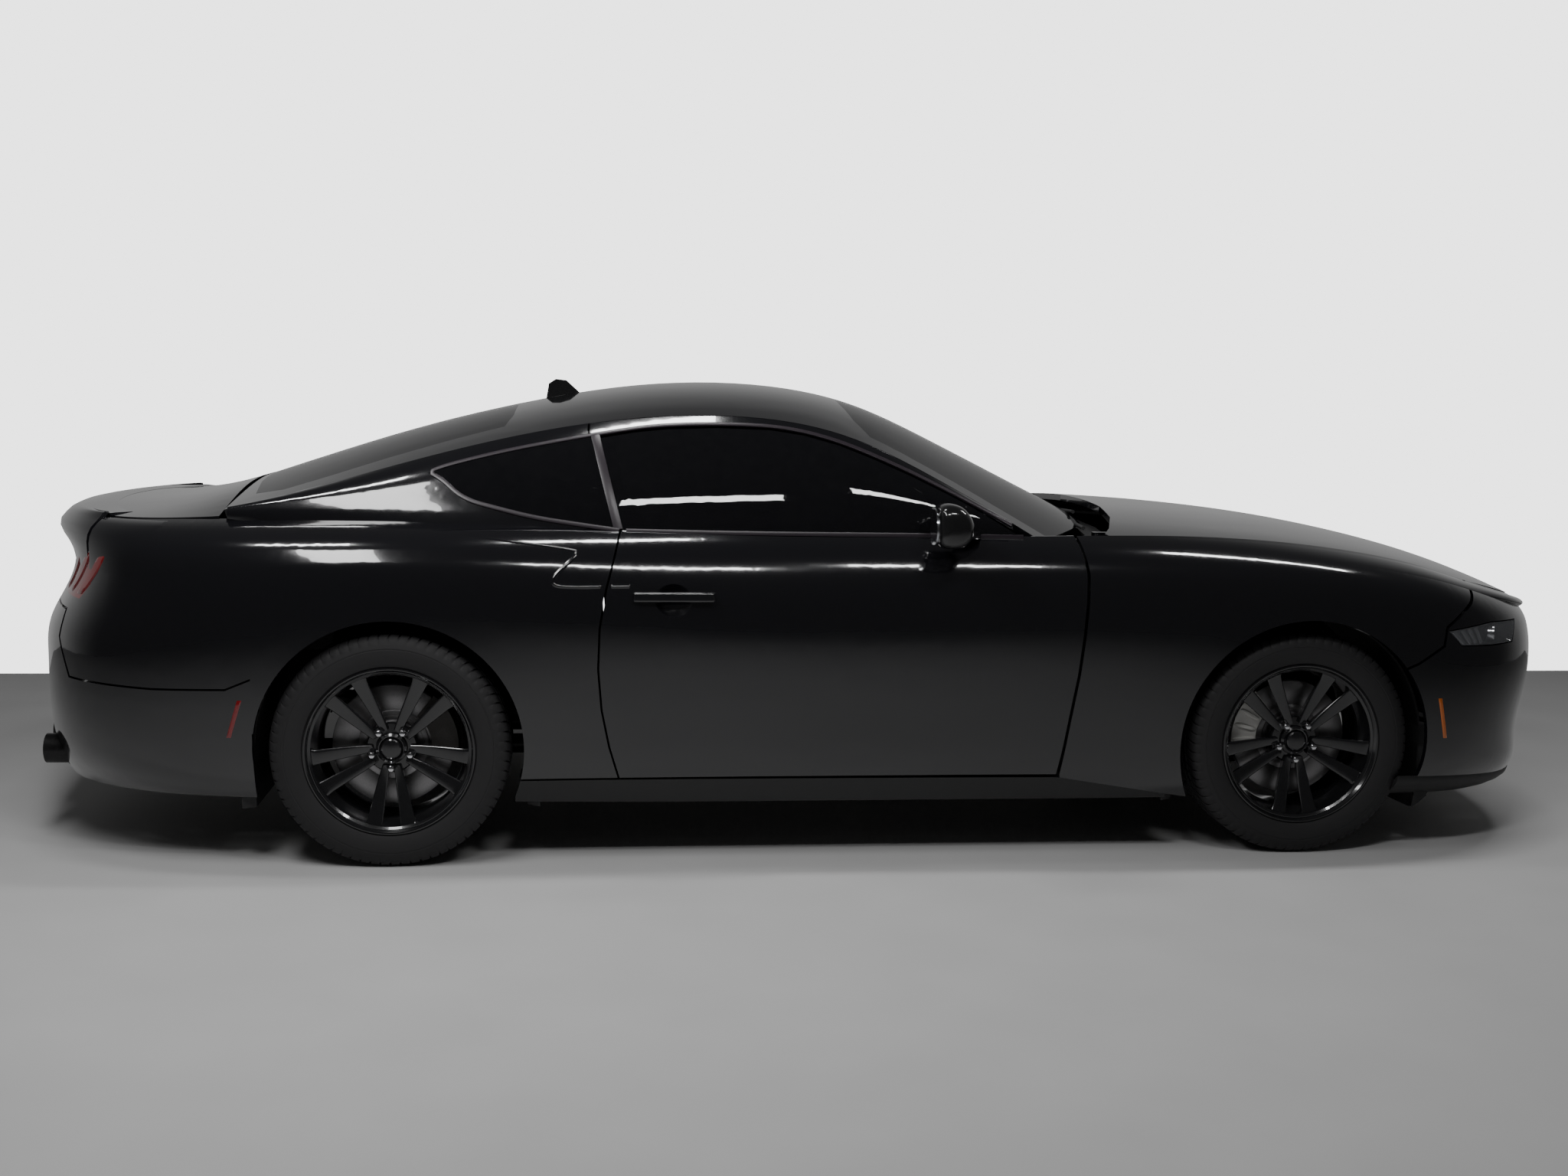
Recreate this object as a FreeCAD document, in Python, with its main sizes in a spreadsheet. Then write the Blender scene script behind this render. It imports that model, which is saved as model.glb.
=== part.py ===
import FreeCAD
import Part
import Sketcher
import math
import os
from FreeCAD import Placement, Rotation, Vector

document = FreeCAD.newDocument("coupe")
sheet = document.addObject("Spreadsheet::Sheet", "sizes")
sheet.Label = "sizes"

# Driving sizes in mm, degrees for angles. The car points along +X, +Y is its left, +Z is up.
# Origin: middle of the length, on the ground.
DRIVING_SIZES = (
    ("body_module", 1000.0),
    ("overall_length", 4811.0),
    ("wheelbase", 2720.0),
    ("front_overhang", 945.0),
    ("front_track", 1582.0),
    ("rear_track", 1648.0),
    ("hub_height", 343.0),
    ("tyre_radius", 343.0),
    ("bead_radius", 229.0),
    ("tread_shoulder_radius", 330.0),
    ("tread_half_width", 92.0),
    ("tread_shoulder_reach", 107.0),
    ("tyre_half_width", 117.5),
    ("tyre_sides", 60.0),
    ("sidewall_bulge_radius", 283.0),
    ("rim_flange_radius", 243.0),
    ("rim_half_width", 112.0),
    ("rim_barrel_radius", 214.0),
    ("rim_wall", 9.0),
    ("rim_bead_land", 26.0),
    ("spoke_face", 84.0),
    ("spoke_root", 46.0),
    ("hub_pad_radius", 78.0),
    ("hub_pad_back", 30.0),
    ("cap_radius", 31.0),
    ("cap_proud", 5.0),
    ("lug_circle_radius", 57.15),
    ("lug_across_corners", 24.0),
    ("lug_length", 30.0),
    ("disc_radius", 176.0),
    ("disc_depth", 30.0),
    ("disc_inboard", 24.0),
    ("hat_radius", 84.0),
    ("axle_stub_radius", 22.0),
    ("stub_clearance", 1.0),
    ("knuckle_radius", 58.0),
    ("knuckle_depth", 44.0),
    ("knuckle_gap", 6.0),
    ("caliper_span_angle", 58.0),
    ("front_arch_radius", 385.0),
    ("rear_arch_radius", 382.0),
    ("panel_gap", 6.0),
    ("door_front_gap", 9.0),
    ("glass_top_gap", 7.0),
    ("skin_depth", 14.0),
    ("bumper_depth", 16.0),
    ("door_depth", 105.0),
    ("door_flange_depth", 12.0),
    ("roof_depth", 26.0),
    ("glass_depth", 5.0),
    ("hood_depth", 22.0),
    ("lid_depth", 30.0),
    ("hinge_pin_radius", 7.0),
    ("hinge_pin_clearance", 0.4),
    ("hinge_barrel_wall", 6.0),
    ("hinge_barrel_height", 60.0),
    ("hinge_end_clearance", 1.0),
    ("hinge_ear_depth", 8.0),
    ("door_axis_station", 695.0),
    ("door_axis_offset", 885.0),
    ("door_hinge_low", 400.0),
    ("door_hinge_high", 690.0),
    ("hood_axis_station", 855.0),
    ("hood_axis_height", 925.0),
    ("hood_hinge_offset", 690.0),
    ("lid_axis_station", -1600.0),
    ("lid_axis_height", 1005.0),
    ("lid_hinge_offset", 640.0),
    ("lid_neck_radius", 188.0),
    ("lid_neck_depth", 20.0),
    ("lid_neck_span", 80.0),
    ("lid_neck_start", 184.0),
    ("spoke_slot_root", 12.0),
    ("spoke_slot_tip", 54.0),
    ("spoke_bar_root", 24.0),
    ("spoke_bar_tip", 44.0),
    ("spoke_start_radius", 50.0),
    ("spoke_end_radius", 216.0),
    ("hub_recess", 14.0),
    ("caliper_wall", 14.0),
    ("caliper_inner_radius", 112.0),
    ("kingpin_radius", 10.0),
    ("kingpin_half", 112.0),
    ("front_caliper_angle", 158.0),
    ("rear_caliper_angle", 22.0),
    ("ball_clearance", 1.0),
    ("ball_cup_wall", 5.5),
    ("arm_radius", 14.0),
    ("strut_radius", 24.0),
    ("steering_wheel_radius", 185.0),
    ("steering_rim_radius", 15.0),
    ("steering_tilt", 114.0),
    ("plate_bolt_spacing", 177.8),
    ("plate_bolt_radius", 3.0),
    ("jack_pad_half", 35.0),
    ("exhaust_pipe_radius", 32.0),
    ("exhaust_tip_radius", 45.0),
    ("tip_wall", 3.0),
    ("wiper_radius", 6.0),
    ("hat_lap", 1.0),
    ("rail_step", 1.0),
    ("pin_proud", 1.0),
    ("jack_pad_drop", 6.0),
    ("caliper_bracket_radius", 134.4),
    ("steering_bar_half", 9.0),
    ("column_radius", 24.0),
    ("column_length", 200.0),
    ("muffler_round", 35.0),
    ("handle_round", 6.0),
    ("recess_radius", 80.0),
    ("mirror_round", 40.0),
    ("lamp_depth", 50.0),
    ("grille_set_back", 12.0),
    ("beam_depth", 170.0),
    ("skirt_depth", 60.0),
    ("liner_radius", 388.0),
    ("liner_wall", 6.0),
    ("front_liner_angle", 92.0),
    ("front_liner_span", 170.0),
    ("rear_liner_angle", 90.0),
    ("rear_liner_span", 176.0),
)
for row_number, (alias, value) in enumerate(DRIVING_SIZES, start=1):
    sheet.set("A%d" % row_number, alias)
    sheet.set("B%d" % row_number, repr(value))
    sheet.setAlias("B%d" % row_number, alias)
document.recompute()


def size(alias):
    return float(sheet.get(alias))


MODULE = size("body_module")
FRONT_AXLE = size("overall_length") / 2.0 - size("front_overhang")
REAR_AXLE = FRONT_AXLE - size("wheelbase")
GAP = size("panel_gap")
HUB = size("hub_height")
FAR_SHARE = 3.0
WIDE = MODULE * FAR_SHARE
OFFSET_TOLERANCE_SHARE = 0.00001


def point(shares):
    return Vector(shares[0] * MODULE, shares[1] * MODULE, shares[2] * MODULE)


# Side surface, nose centre to tail centre: control poles as shares of the body module.
# Each row runs along the car; rows climb from the sill to the shoulder.
SIDE_X_SHARES = (
    (
        2.300, 2.300, 2.253, 2.127, 1.970, 1.842, 1.46, 1.05, 0.60, 0.10,
        -0.40, -0.85, -1.26, -1.70, -1.965, -2.185, -2.300, -2.362, -2.366,
    ),
    (
        2.425, 2.425, 2.373, 2.247, 2.050, 1.872, 1.46, 1.05, 0.60, 0.10,
        -0.40, -0.85, -1.26, -1.70, -2.015, -2.235, -2.342, -2.396, -2.400,
    ),
    (
        2.360, 2.360, 2.318, 2.212, 2.055, 1.872, 1.46, 1.05, 0.60, 0.10,
        -0.40, -0.85, -1.26, -1.70, -2.035, -2.247, -2.355, -2.413, -2.415,
    ),
    (
        2.412, 2.412, 2.368, 2.252, 2.080, 1.872, 1.46, 1.05, 0.60, 0.10,
        -0.40, -0.85, -1.26, -1.70, -2.045, -2.247, -2.350, -2.403, -2.405,
    ),
    (
        2.410, 2.410, 2.368, 2.262, 2.090, 1.872, 1.46, 1.05, 0.60, 0.10,
        -0.40, -0.85, -1.26, -1.70, -2.045, -2.252, -2.355, -2.408, -2.410,
    ),
    (
        2.412, 2.412, 2.368, 2.252, 2.080, 1.862, 1.46, 1.05, 0.60, 0.10,
        -0.40, -0.85, -1.26, -1.70, -1.995, -2.152, -2.235, -2.288, -2.290,
    ),
    (
        2.405, 2.405, 2.358, 2.232, 2.050, 1.852, 1.46, 1.05, 0.60, 0.10,
        -0.40, -0.85, -1.26, -1.70, -1.995, -2.172, -2.260, -2.318, -2.325,
    ),
    (
        2.380, 2.380, 2.328, 2.192, 2.000, 1.832, 1.46, 1.05, 0.60, 0.10,
        -0.40, -0.85, -1.26, -1.68, -1.965, -2.142, -2.225, -2.282, -2.290,
    ),
)
SIDE_Y_SHARES = (
    (
        0.0, 0.25, 0.50, 0.72, 0.820, 0.880, 0.890, 0.885, 0.880, 0.880,
        0.880, 0.885, 0.905, 0.900, 0.830, 0.66, 0.45, 0.22, 0.0,
    ),
    (
        0.0, 0.25, 0.52, 0.76, 0.870, 0.930, 0.935, 0.915, 0.905, 0.905,
        0.905, 0.915, 0.945, 0.940, 0.870, 0.70, 0.45, 0.22, 0.0,
    ),
    (
        0.0, 0.25, 0.52, 0.77, 0.885, 0.940, 0.955, 0.925, 0.905, 0.905,
        0.905, 0.925, 0.960, 0.955, 0.885, 0.72, 0.45, 0.22, 0.0,
    ),
    (
        0.0, 0.25, 0.52, 0.77, 0.885, 0.945, 0.960, 0.935, 0.915, 0.915,
        0.915, 0.935, 0.965, 0.960, 0.890, 0.72, 0.45, 0.22, 0.0,
    ),
    (
        0.0, 0.25, 0.52, 0.77, 0.880, 0.940, 0.960, 0.940, 0.925, 0.922,
        0.925, 0.940, 0.965, 0.960, 0.885, 0.72, 0.45, 0.22, 0.0,
    ),
    (
        0.0, 0.25, 0.52, 0.76, 0.865, 0.925, 0.945, 0.930, 0.915, 0.910,
        0.912, 0.935, 0.962, 0.950, 0.865, 0.70, 0.45, 0.22, 0.0,
    ),
    (
        0.0, 0.25, 0.52, 0.74, 0.835, 0.885, 0.900, 0.890, 0.875, 0.868,
        0.865, 0.885, 0.920, 0.900, 0.830, 0.68, 0.45, 0.22, 0.0,
    ),
    (
        0.0, 0.25, 0.50, 0.66, 0.720, 0.740, 0.760, 0.775, 0.800, 0.810,
        0.810, 0.790, 0.770, 0.735, 0.700, 0.60, 0.42, 0.22, 0.0,
    ),
)
SIDE_Z_SHARES = (
    (
        0.150, 0.150, 0.152, 0.160, 0.175, 0.185, 0.185, 0.175, 0.175, 0.175,
        0.175, 0.180, 0.195, 0.205, 0.205, 0.200, 0.190, 0.186, 0.186,
    ),
    (
        0.185, 0.185, 0.190, 0.200, 0.215, 0.230, 0.245, 0.245, 0.245, 0.245,
        0.245, 0.250, 0.265, 0.275, 0.275, 0.270, 0.262, 0.260, 0.260,
    ),
    (
        0.330, 0.330, 0.330, 0.335, 0.345, 0.360, 0.380, 0.385, 0.390, 0.390,
        0.390, 0.400, 0.410, 0.415, 0.420, 0.430, 0.430, 0.430, 0.430,
    ),
    (
        0.470, 0.470, 0.470, 0.475, 0.490, 0.510, 0.530, 0.530, 0.530, 0.530,
        0.530, 0.540, 0.550, 0.555, 0.560, 0.560, 0.555, 0.550, 0.550,
    ),
    (
        0.580, 0.580, 0.580, 0.590, 0.615, 0.650, 0.690, 0.690, 0.680, 0.680,
        0.690, 0.710, 0.710, 0.700, 0.680, 0.670, 0.665, 0.660, 0.660,
    ),
    (
        0.650, 0.650, 0.655, 0.675, 0.720, 0.775, 0.830, 0.830, 0.820, 0.815,
        0.820, 0.850, 0.860, 0.850, 0.830, 0.820, 0.815, 0.810, 0.810,
    ),
    (
        0.705, 0.705, 0.710, 0.735, 0.790, 0.855, 0.915, 0.930, 0.925, 0.915,
        0.920, 0.945, 0.960, 0.960, 0.955, 0.945, 0.940, 0.940, 0.940,
    ),
    (
        0.735, 0.735, 0.745, 0.780, 0.835, 0.890, 0.948, 0.968, 0.960, 0.955,
        0.960, 0.985, 0.998, 0.995, 0.985, 0.980, 0.978, 0.978, 0.978,
    ),
)
# Bonnet surface: stations from nose to cowl, rows from the centreline outwards.
HOOD_X_SHARES = (2.400, 2.30, 2.10, 1.80, 1.45, 1.10, 0.82)
HOOD_Y_SHARES = (0.0, 0.18, 0.36, 0.54, 0.68, 0.80)
HOOD_Z_SHARES = (
    (0.722, 0.784, 0.866, 0.935, 0.985, 1.010, 1.018),
    (0.722, 0.784, 0.866, 0.935, 0.985, 1.010, 1.018),
    (0.716, 0.774, 0.856, 0.928, 0.978, 1.003, 1.011),
    (0.704, 0.756, 0.840, 0.912, 0.962, 0.988, 0.996),
    (0.692, 0.738, 0.818, 0.892, 0.948, 0.973, 0.980),
    (0.672, 0.715, 0.788, 0.864, 0.925, 0.952, 0.960),
)
# Boot lid surface with its raised rear lip: stations from the rear window to the lip.
DECK_X_SHARES = (-1.70, -1.85, -2.02, -2.17, -2.27, -2.335, -2.345)
DECK_Y_SHARES = (0.0, 0.2, 0.4, 0.6, 0.80)
DECK_SWEEP_SHARE = 0.14
DECK_Z_SHARES = (
    (1.095, 1.042, 1.010, 1.003, 1.001, 0.988, 0.955),
    (1.095, 1.042, 1.010, 1.003, 1.001, 0.988, 0.955),
    (1.075, 1.030, 1.001, 0.996, 0.996, 0.984, 0.950),
    (1.030, 1.008, 0.992, 0.988, 0.988, 0.975, 0.942),
    (0.985, 0.980, 0.978, 0.975, 0.975, 0.962, 0.930),
)
# Roof surface: the rail over the side glass and the centreline, from cowl to deck.
RAIL_SHARES = (
    (0.665, 0.775, 0.945), (0.50, 0.735, 1.045), (0.25, 0.675, 1.185), (0.05, 0.635, 1.268),
    (-0.20, 0.605, 1.310), (-0.55, 0.60, 1.303), (-0.90, 0.61, 1.245), (-1.25, 0.645, 1.155),
    (-1.55, 0.69, 1.065), (-1.80, 0.72, 1.005),
)
CENTRE_SHARES = (
    (0.97, 0.0, 0.955), (0.72, 0.0, 1.078), (0.42, 0.0, 1.228), (0.15, 0.0, 1.355), (-0.18, 0.0, 1.403),
    (-0.55, 0.0, 1.393), (-0.93, 0.0, 1.323), (-1.32, 0.0, 1.225), (-1.68, 0.0, 1.100), (-1.90, 0.0, 1.025),
)
ROOF_ROW_SHARES = ((0.0, 0.0, 0.0), (0.30, 0.45, 0.62), (0.65, 1.0, 1.0), (1.0, 1.0, 1.0))
# Side window surface: its belt line; its upper edge is the rail above.
BELT_SHARES = (
    (0.70, 0.800, 0.925), (0.52, 0.806, 0.938), (0.25, 0.806, 0.945), (0.05, 0.806, 0.945),
    (-0.20, 0.806, 0.945), (-0.55, 0.806, 0.953), (-0.90, 0.802, 0.963), (-1.25, 0.788, 0.970),
    (-1.55, 0.765, 0.972), (-1.85, 0.730, 0.970),
)
GLASS_ROW_SHARES = ((0.0, 0.0), (0.33, 0.03), (0.70, 0.03), (1.0, 0.0))


# A cubic surface with even knots through a net of control poles.
def net_surface(rows):
    degree_across = min(3, len(rows) - 1)
    degree_along = min(3, len(rows[0]) - 1)
    knots = []
    for count, degree in ((len(rows), degree_across), (len(rows[0]), degree_along)):
        spans = count - degree
        mults = [degree + 1] + [1] * (spans - 1) + [degree + 1]
        knots.append((mults, [float(index) for index in range(spans + 1)]))
    surface = Part.BSplineSurface()
    surface.buildFromPolesMultsKnots(
        [[point(pole) for pole in row] for row in rows],
        knots[0][0], knots[1][0], knots[0][1], knots[1][1], False, False, degree_across, degree_along,
    )
    return surface


def side_rows():
    rows = zip(SIDE_X_SHARES, SIDE_Y_SHARES, SIDE_Z_SHARES)
    return [list(zip(x_row, y_row, z_row)) for x_row, y_row, z_row in rows]


def hood_rows():
    return [
        [(x, y, z) for x, z in zip(HOOD_X_SHARES, z_row)]
        for y, z_row in zip(HOOD_Y_SHARES, HOOD_Z_SHARES)
    ]


def deck_rows():
    last = len(DECK_X_SHARES) - 1
    rows = []
    for y, z_row in zip(DECK_Y_SHARES, DECK_Z_SHARES):
        sweep = DECK_SWEEP_SHARE * (max(y - DECK_Y_SHARES[1], 0.0) / DECK_Y_SHARES[3]) ** 2
        stations = enumerate(zip(DECK_X_SHARES, z_row))
        rows.append([(x + sweep * index / last, y, z) for index, (x, z) in stations])
    return rows


def roof_rows():
    rows = []
    for across, inward, rise in ROOF_ROW_SHARES:
        row = []
        for rail, mid in zip(RAIL_SHARES, CENTRE_SHARES):
            station = rail[0] + (mid[0] - rail[0]) * inward
            row.append((station, rail[1] * (1.0 - across), rail[2] + (mid[2] - rail[2]) * rise))
        rows.append(row)
    return rows


def glass_rows():
    rows = []
    for climb, bow in GLASS_ROW_SHARES:
        row = []
        for low, high in zip(BELT_SHARES, RAIL_SHARES):
            x, y, z = [start + (end - start) * climb for start, end in zip(low, high)]
            row.append((x, y + bow, z + bow))
        rows.append(row)
    return rows


SIDE = net_surface(side_rows())
SIDE_FACE = SIDE.toShape()
HOOD_FACE = net_surface(hood_rows()).toShape()
DECK_FACE = net_surface(deck_rows()).toShape()
ROOF_FACE = net_surface(roof_rows()).toShape()
GLASS_FACE = net_surface(glass_rows()).toShape()


# Cutting bodies: outlines in shares, drawn out across, up or along the car.
def side_prism(outline_shares, near_share=0.0, far_share=1.3):
    corners = [Vector(x * MODULE, near_share * MODULE, z * MODULE) for x, z in outline_shares]
    wire = Part.makePolygon(corners + [corners[0]])
    return Part.Face(wire).extrude(Vector(0, (far_share - near_share) * MODULE, 0))


def plan_prism(outline_shares, low_share=0.0, high_share=1.6):
    corners = [Vector(x * MODULE, y * MODULE, low_share * MODULE) for x, y in outline_shares]
    wire = Part.makePolygon(corners + [corners[0]])
    return Part.Face(wire).extrude(Vector(0, 0, (high_share - low_share) * MODULE))


def front_prism(outline_shares, near_share, far_share):
    corners = [Vector(near_share * MODULE, y * MODULE, z * MODULE) for y, z in outline_shares]
    wire = Part.makePolygon(corners + [corners[0]])
    return Part.Face(wire).extrude(Vector((far_share - near_share) * MODULE, 0, 0))


def block(x_shares, y_shares, z_shares):
    low = Vector(min(x_shares), min(y_shares), min(z_shares)) * MODULE
    high = Vector(max(x_shares), max(y_shares), max(z_shares)) * MODULE
    span = high - low
    return Part.makeBox(span.x, span.y, span.z, low)


def rod(start, end, radius):
    span = end - start
    return Part.makeCylinder(radius, span.Length, start, span)


# Part of a ring about a line across the car; angles are measured in its side view.
def sector(inner, outer, near, far, middle_angle, span, centre_x, centre_z):
    ring = Part.makeCylinder(outer, far - near, Vector(0, 0, near), Vector(0, 0, 1), span)
    ring = ring.cut(Part.makeCylinder(inner, far - near, Vector(0, 0, near)))
    ring.rotate(Vector(0, 0, 0), Vector(0, 0, 1), -middle_angle - span / 2.0)
    ring.rotate(Vector(0, 0, 0), Vector(1, 0, 0), -90.0)
    ring.translate(Vector(centre_x, 0, centre_z))
    return ring


def widest_face(shape):
    return max(shape.Faces, key=lambda face: face.Area)


# A panel as deep as stated, on the side of its face that looks to the inner point.
def thicken(face, depth, inner):
    low_u, high_u, low_v, high_v = face.ParameterRange
    middle_u = (low_u + high_u) / 2.0
    middle_v = (low_v + high_v) / 2.0
    outward = face.normalAt(middle_u, middle_v)
    towards = inner - face.valueAt(middle_u, middle_v)
    sign = 1.0 if outward.dot(towards) > 0 else -1.0
    solid = face.makeOffsetShape(sign * depth, MODULE * OFFSET_TOLERANCE_SHARE, fill=True)
    if solid.Volume < 0:
        solid.reverse()
    return solid


def mirrored(shape):
    return shape.mirror(Vector(0, 0, 0), Vector(0, 1, 0))


def both(shape):
    return shape.fuse(mirrored(shape))


def joined(shapes):
    first = shapes[0]
    if len(shapes) == 1:
        return first
    return first.fuse(shapes[1:]).removeSplitter()


def solids_of(shape):
    solids = [solid for solid in shape.Solids]
    if len(solids) == 1:
        return solids[0]
    return Part.makeCompound(solids)


RIGHT_HALF_SHARES = ((-3.0, 3.0), (-1.5, 0.0), (-0.5, 2.0))
RIGHT_HALF = block(*RIGHT_HALF_SHARES)
NODES = []


def node(label, shape):
    feature = document.addObject("Part::Feature", label)
    feature.Label = label
    solid = solids_of(shape)
    feature.Shape = solid
    feature.Placement = solid.Placement
    NODES.append(feature)
    return feature


def pair(stem, shape):
    node(stem + "_left", shape)
    node(stem + "_right", mirrored(shape))


INSIDE_SHARES = (0.0, 0.0, 0.5488)
INSIDE = point(INSIDE_SHARES)

# Panel outlines seen from the side, as shares of the body module.
DOOR_SHARES = (
    (0.702, 0.255), (0.718, 0.340), (0.735, 0.450), (0.752, 0.560), (0.764, 0.680), (0.772, 0.780),
    (0.775, 0.860), (0.766, 0.925), (0.745, 1.050), (-0.595, 1.050), (-0.600, 0.970), (-0.614, 0.911),
    (-0.640, 0.811), (-0.658, 0.700), (-0.662, 0.580), (-0.652, 0.460), (-0.630, 0.350),
    (-0.602, 0.255),
)
DOOR_INNER_SHARES = (
    (0.665, 0.262), (0.670, 0.560), (0.670, 1.050), (-0.580, 1.050), (-0.585, 0.970), (-0.600, 0.900),
    (-0.625, 0.780), (-0.638, 0.600), (-0.628, 0.450), (-0.585, 0.262),
)
FENDER_REAR_SHARES = (
    (0.702, 0.245), (0.718, 0.340), (0.735, 0.450), (0.752, 0.560), (0.764, 0.680), (0.772, 0.780),
    (0.775, 0.860), (0.766, 0.925), (0.745, 1.050),
)
FENDER_FRONT_SHARES = (
    (2.060, 1.050), (2.060, 0.850), (1.985, 0.775), (1.890, 0.706), (1.880, 0.650), (1.800, 0.600),
    (1.700, 0.560), (1.600, 0.500), (1.150, 0.172),
)
BUMPER_SEAM_SHARES = (
    (2.075, 1.050), (2.075, 0.850), (1.993, 0.768), (1.897, 0.700), (1.888, 0.645), (1.803, 0.593),
    (1.703, 0.553), (1.640, 0.500), (1.640, 0.0), (2.600, 0.0), (2.600, 1.050),
)
QUARTER_SHARES = (
    (-0.606, 1.050), (-0.606, 0.970), (-0.620, 0.911), (-0.646, 0.811), (-0.664, 0.700),
    (-0.668, 0.580), (-0.658, 0.460), (-0.636, 0.350), (-0.608, 0.255), (-1.000, 0.255),
    (-1.640, 0.400), (-1.640, 0.560), (-1.712, 0.530), (-1.924, 0.526), (-2.190, 0.534),
    (-2.230, 0.640), (-2.214, 0.722), (-2.600, 0.722), (-2.600, 1.050),
)
TAIL_SEAM_SHARES = (
    (-1.640, 0.100), (-1.640, 0.554), (-1.712, 0.524), (-1.924, 0.520), (-2.196, 0.528), (-2.237, 0.640),
    (-2.222, 0.716), (-2.600, 0.716), (-2.600, 0.100),
)
LID_FACE_SHARES = (
    (-0.010, 0.722), (0.400, 0.722), (0.412, 0.800), (0.422, 0.905), (0.590, 0.912), (0.620, 1.100),
    (-0.010, 1.100),
)
SKIRT_SHARES = (
    (1.075, 0.100), (1.043, 0.190), (0.953, 0.206), (0.888, 0.230), (0.700, 0.245), (-0.700, 0.249),
    (-0.905, 0.249), (-0.905, 0.100),
)
DLO_SHARES = (
    (0.625, 0.948), (0.450, 1.052), (0.376, 1.090), (0.269, 1.141), (0.163, 1.187), (0.057, 1.228),
    (-0.048, 1.256), (-0.152, 1.271), (-0.306, 1.275), (-0.460, 1.270), (-0.562, 1.259),
    (-0.765, 1.224), (-0.967, 1.184), (-1.168, 1.129), (-1.123, 1.120), (-1.060, 1.061),
    (-0.957, 1.035), (-0.860, 1.012), (-0.761, 0.997), (-0.662, 0.984), (-0.608, 0.975),
    (-0.560, 0.930), (0.620, 0.930),
)
DOOR_GLASS_CUT_SHARES = (
    (0.700, 0.900), (0.700, 1.400), (-0.7124, 1.400), (-0.608, 0.986), (-0.596, 0.976), (-0.578, 0.900),
)
QUARTER_GLASS_CUT_SHARES = ((-0.7184, 1.400), (-1.250, 1.400), (-1.250, 0.900), (-0.593, 0.900))
WINDSCREEN_SHARES = (
    (0.928, 0.0), (0.918, 0.30), (0.880, 0.52), (0.800, 0.68), (0.745, 0.715), (0.600, 0.688),
    (0.350, 0.628), (0.165, 0.575), (0.130, 0.450), (0.112, 0.250), (0.105, 0.0),
)
BACKLIGHT_SHARES = (
    (-0.930, 0.0), (-0.935, 0.35), (-0.955, 0.49), (-1.300, 0.545), (-1.600, 0.610), (-1.690, 0.560),
    (-1.722, 0.300), (-1.730, 0.0),
)
LAMP_SHARES = (
    (1.897, 0.694), (2.060, 0.714), (2.178, 0.712), (2.152, 0.645), (2.060, 0.641), (1.945, 0.645),
)
TAIL_LAMP_SHARES = (
    (-2.095, 0.895), (-2.330, 0.905), (-2.400, 0.760), (-2.165, 0.755), (-2.125, 0.800),
)


TANGENT_STEPS = 400.0


# A line along the shoulder, moved inwards, as points from nose to tail.
def shoulder_outline(inset, first_share, last_share, samples):
    low_u, high_u, low_v, high_v = SIDE.bounds()
    outline = []
    for index in range(samples + 1):
        along = low_v + (high_v - low_v) * (first_share + (last_share - first_share) * index / samples)
        edge = SIDE.value(high_u, along)
        ahead = SIDE.value(high_u, min(high_v, along + (high_v - low_v) / TANGENT_STEPS))
        behind = SIDE.value(high_u, max(low_v, along - (high_v - low_v) / TANGENT_STEPS))
        run = ahead - behind
        run.z = 0.0
        run.normalize()
        inward = Vector(run.y, -run.x, 0)
        if inward.dot(Vector(-edge.x, -edge.y, 0)) < 0:
            inward = inward * -1.0
        outline.append(edge + inward * inset)
    return outline


def wheel_cutter(station, radius):
    return Part.makeCylinder(radius, WIDE, Vector(station, 0, HUB), Vector(0, 1, 0))


FRONT_ARCH = wheel_cutter(FRONT_AXLE, size("front_arch_radius"))
REAR_ARCH = wheel_cutter(REAR_AXLE, size("rear_arch_radius"))


# Panels of the left side; the right side mirrors them.
# Door: skin, core, hinge sleeves and a pull handle over its finger recess.
door_face = widest_face(SIDE_FACE.common(side_prism(DOOR_SHARES)))
door_core_face = widest_face(SIDE_FACE.common(side_prism(DOOR_INNER_SHARES)))
door_shell = door_face.extrude(Vector(0, -size("door_flange_depth"), 0))
door_core = door_core_face.extrude(Vector(0, -size("door_depth"), 0))
pin_radius = size("hinge_pin_radius")
barrel_radius = pin_radius + size("hinge_pin_clearance") + size("hinge_barrel_wall")
axis_x = size("door_axis_station")
axis_y = size("door_axis_offset")
barrel_height = size("hinge_barrel_height")
barrels = []
pins = []
BARREL_PLATE_SHARES = ((0.650, 0.692), (0.878, 0.892))
EAR_SHARES = ((0.685, 0.705), (0.810, 0.885))
for hinge_middle in (size("door_hinge_low"), size("door_hinge_high")):
    foot = Vector(axis_x, axis_y, hinge_middle - barrel_height / 2.0)
    sleeve = Part.makeCylinder(barrel_radius, barrel_height, foot)
    plate_z = ((foot.z) / MODULE, (foot.z + barrel_height) / MODULE)
    sleeve = sleeve.fuse(block(BARREL_PLATE_SHARES[0], BARREL_PLATE_SHARES[1], plate_z))
    bore = Part.makeCylinder(pin_radius + size("hinge_pin_clearance"), barrel_height, foot)
    barrels.append(sleeve.cut(bore))
    ear = size("hinge_ear_depth")
    clear = size("hinge_end_clearance")
    pin_foot = foot - Vector(0, 0, ear + clear)
    proud = size("pin_proud")
    pin_length = barrel_height + 2.0 * (ear + clear + proud)
    pin = Part.makeCylinder(pin_radius, pin_length, pin_foot - Vector(0, 0, proud))
    low_ear = block(EAR_SHARES[0], EAR_SHARES[1], (pin_foot.z / MODULE, (pin_foot.z + ear) / MODULE))
    high_z = foot.z + barrel_height + clear
    high_ear = block(EAR_SHARES[0], EAR_SHARES[1], (high_z / MODULE, (high_z + ear) / MODULE))
    pins.append(joined([pin, low_ear, high_ear]))

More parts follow.
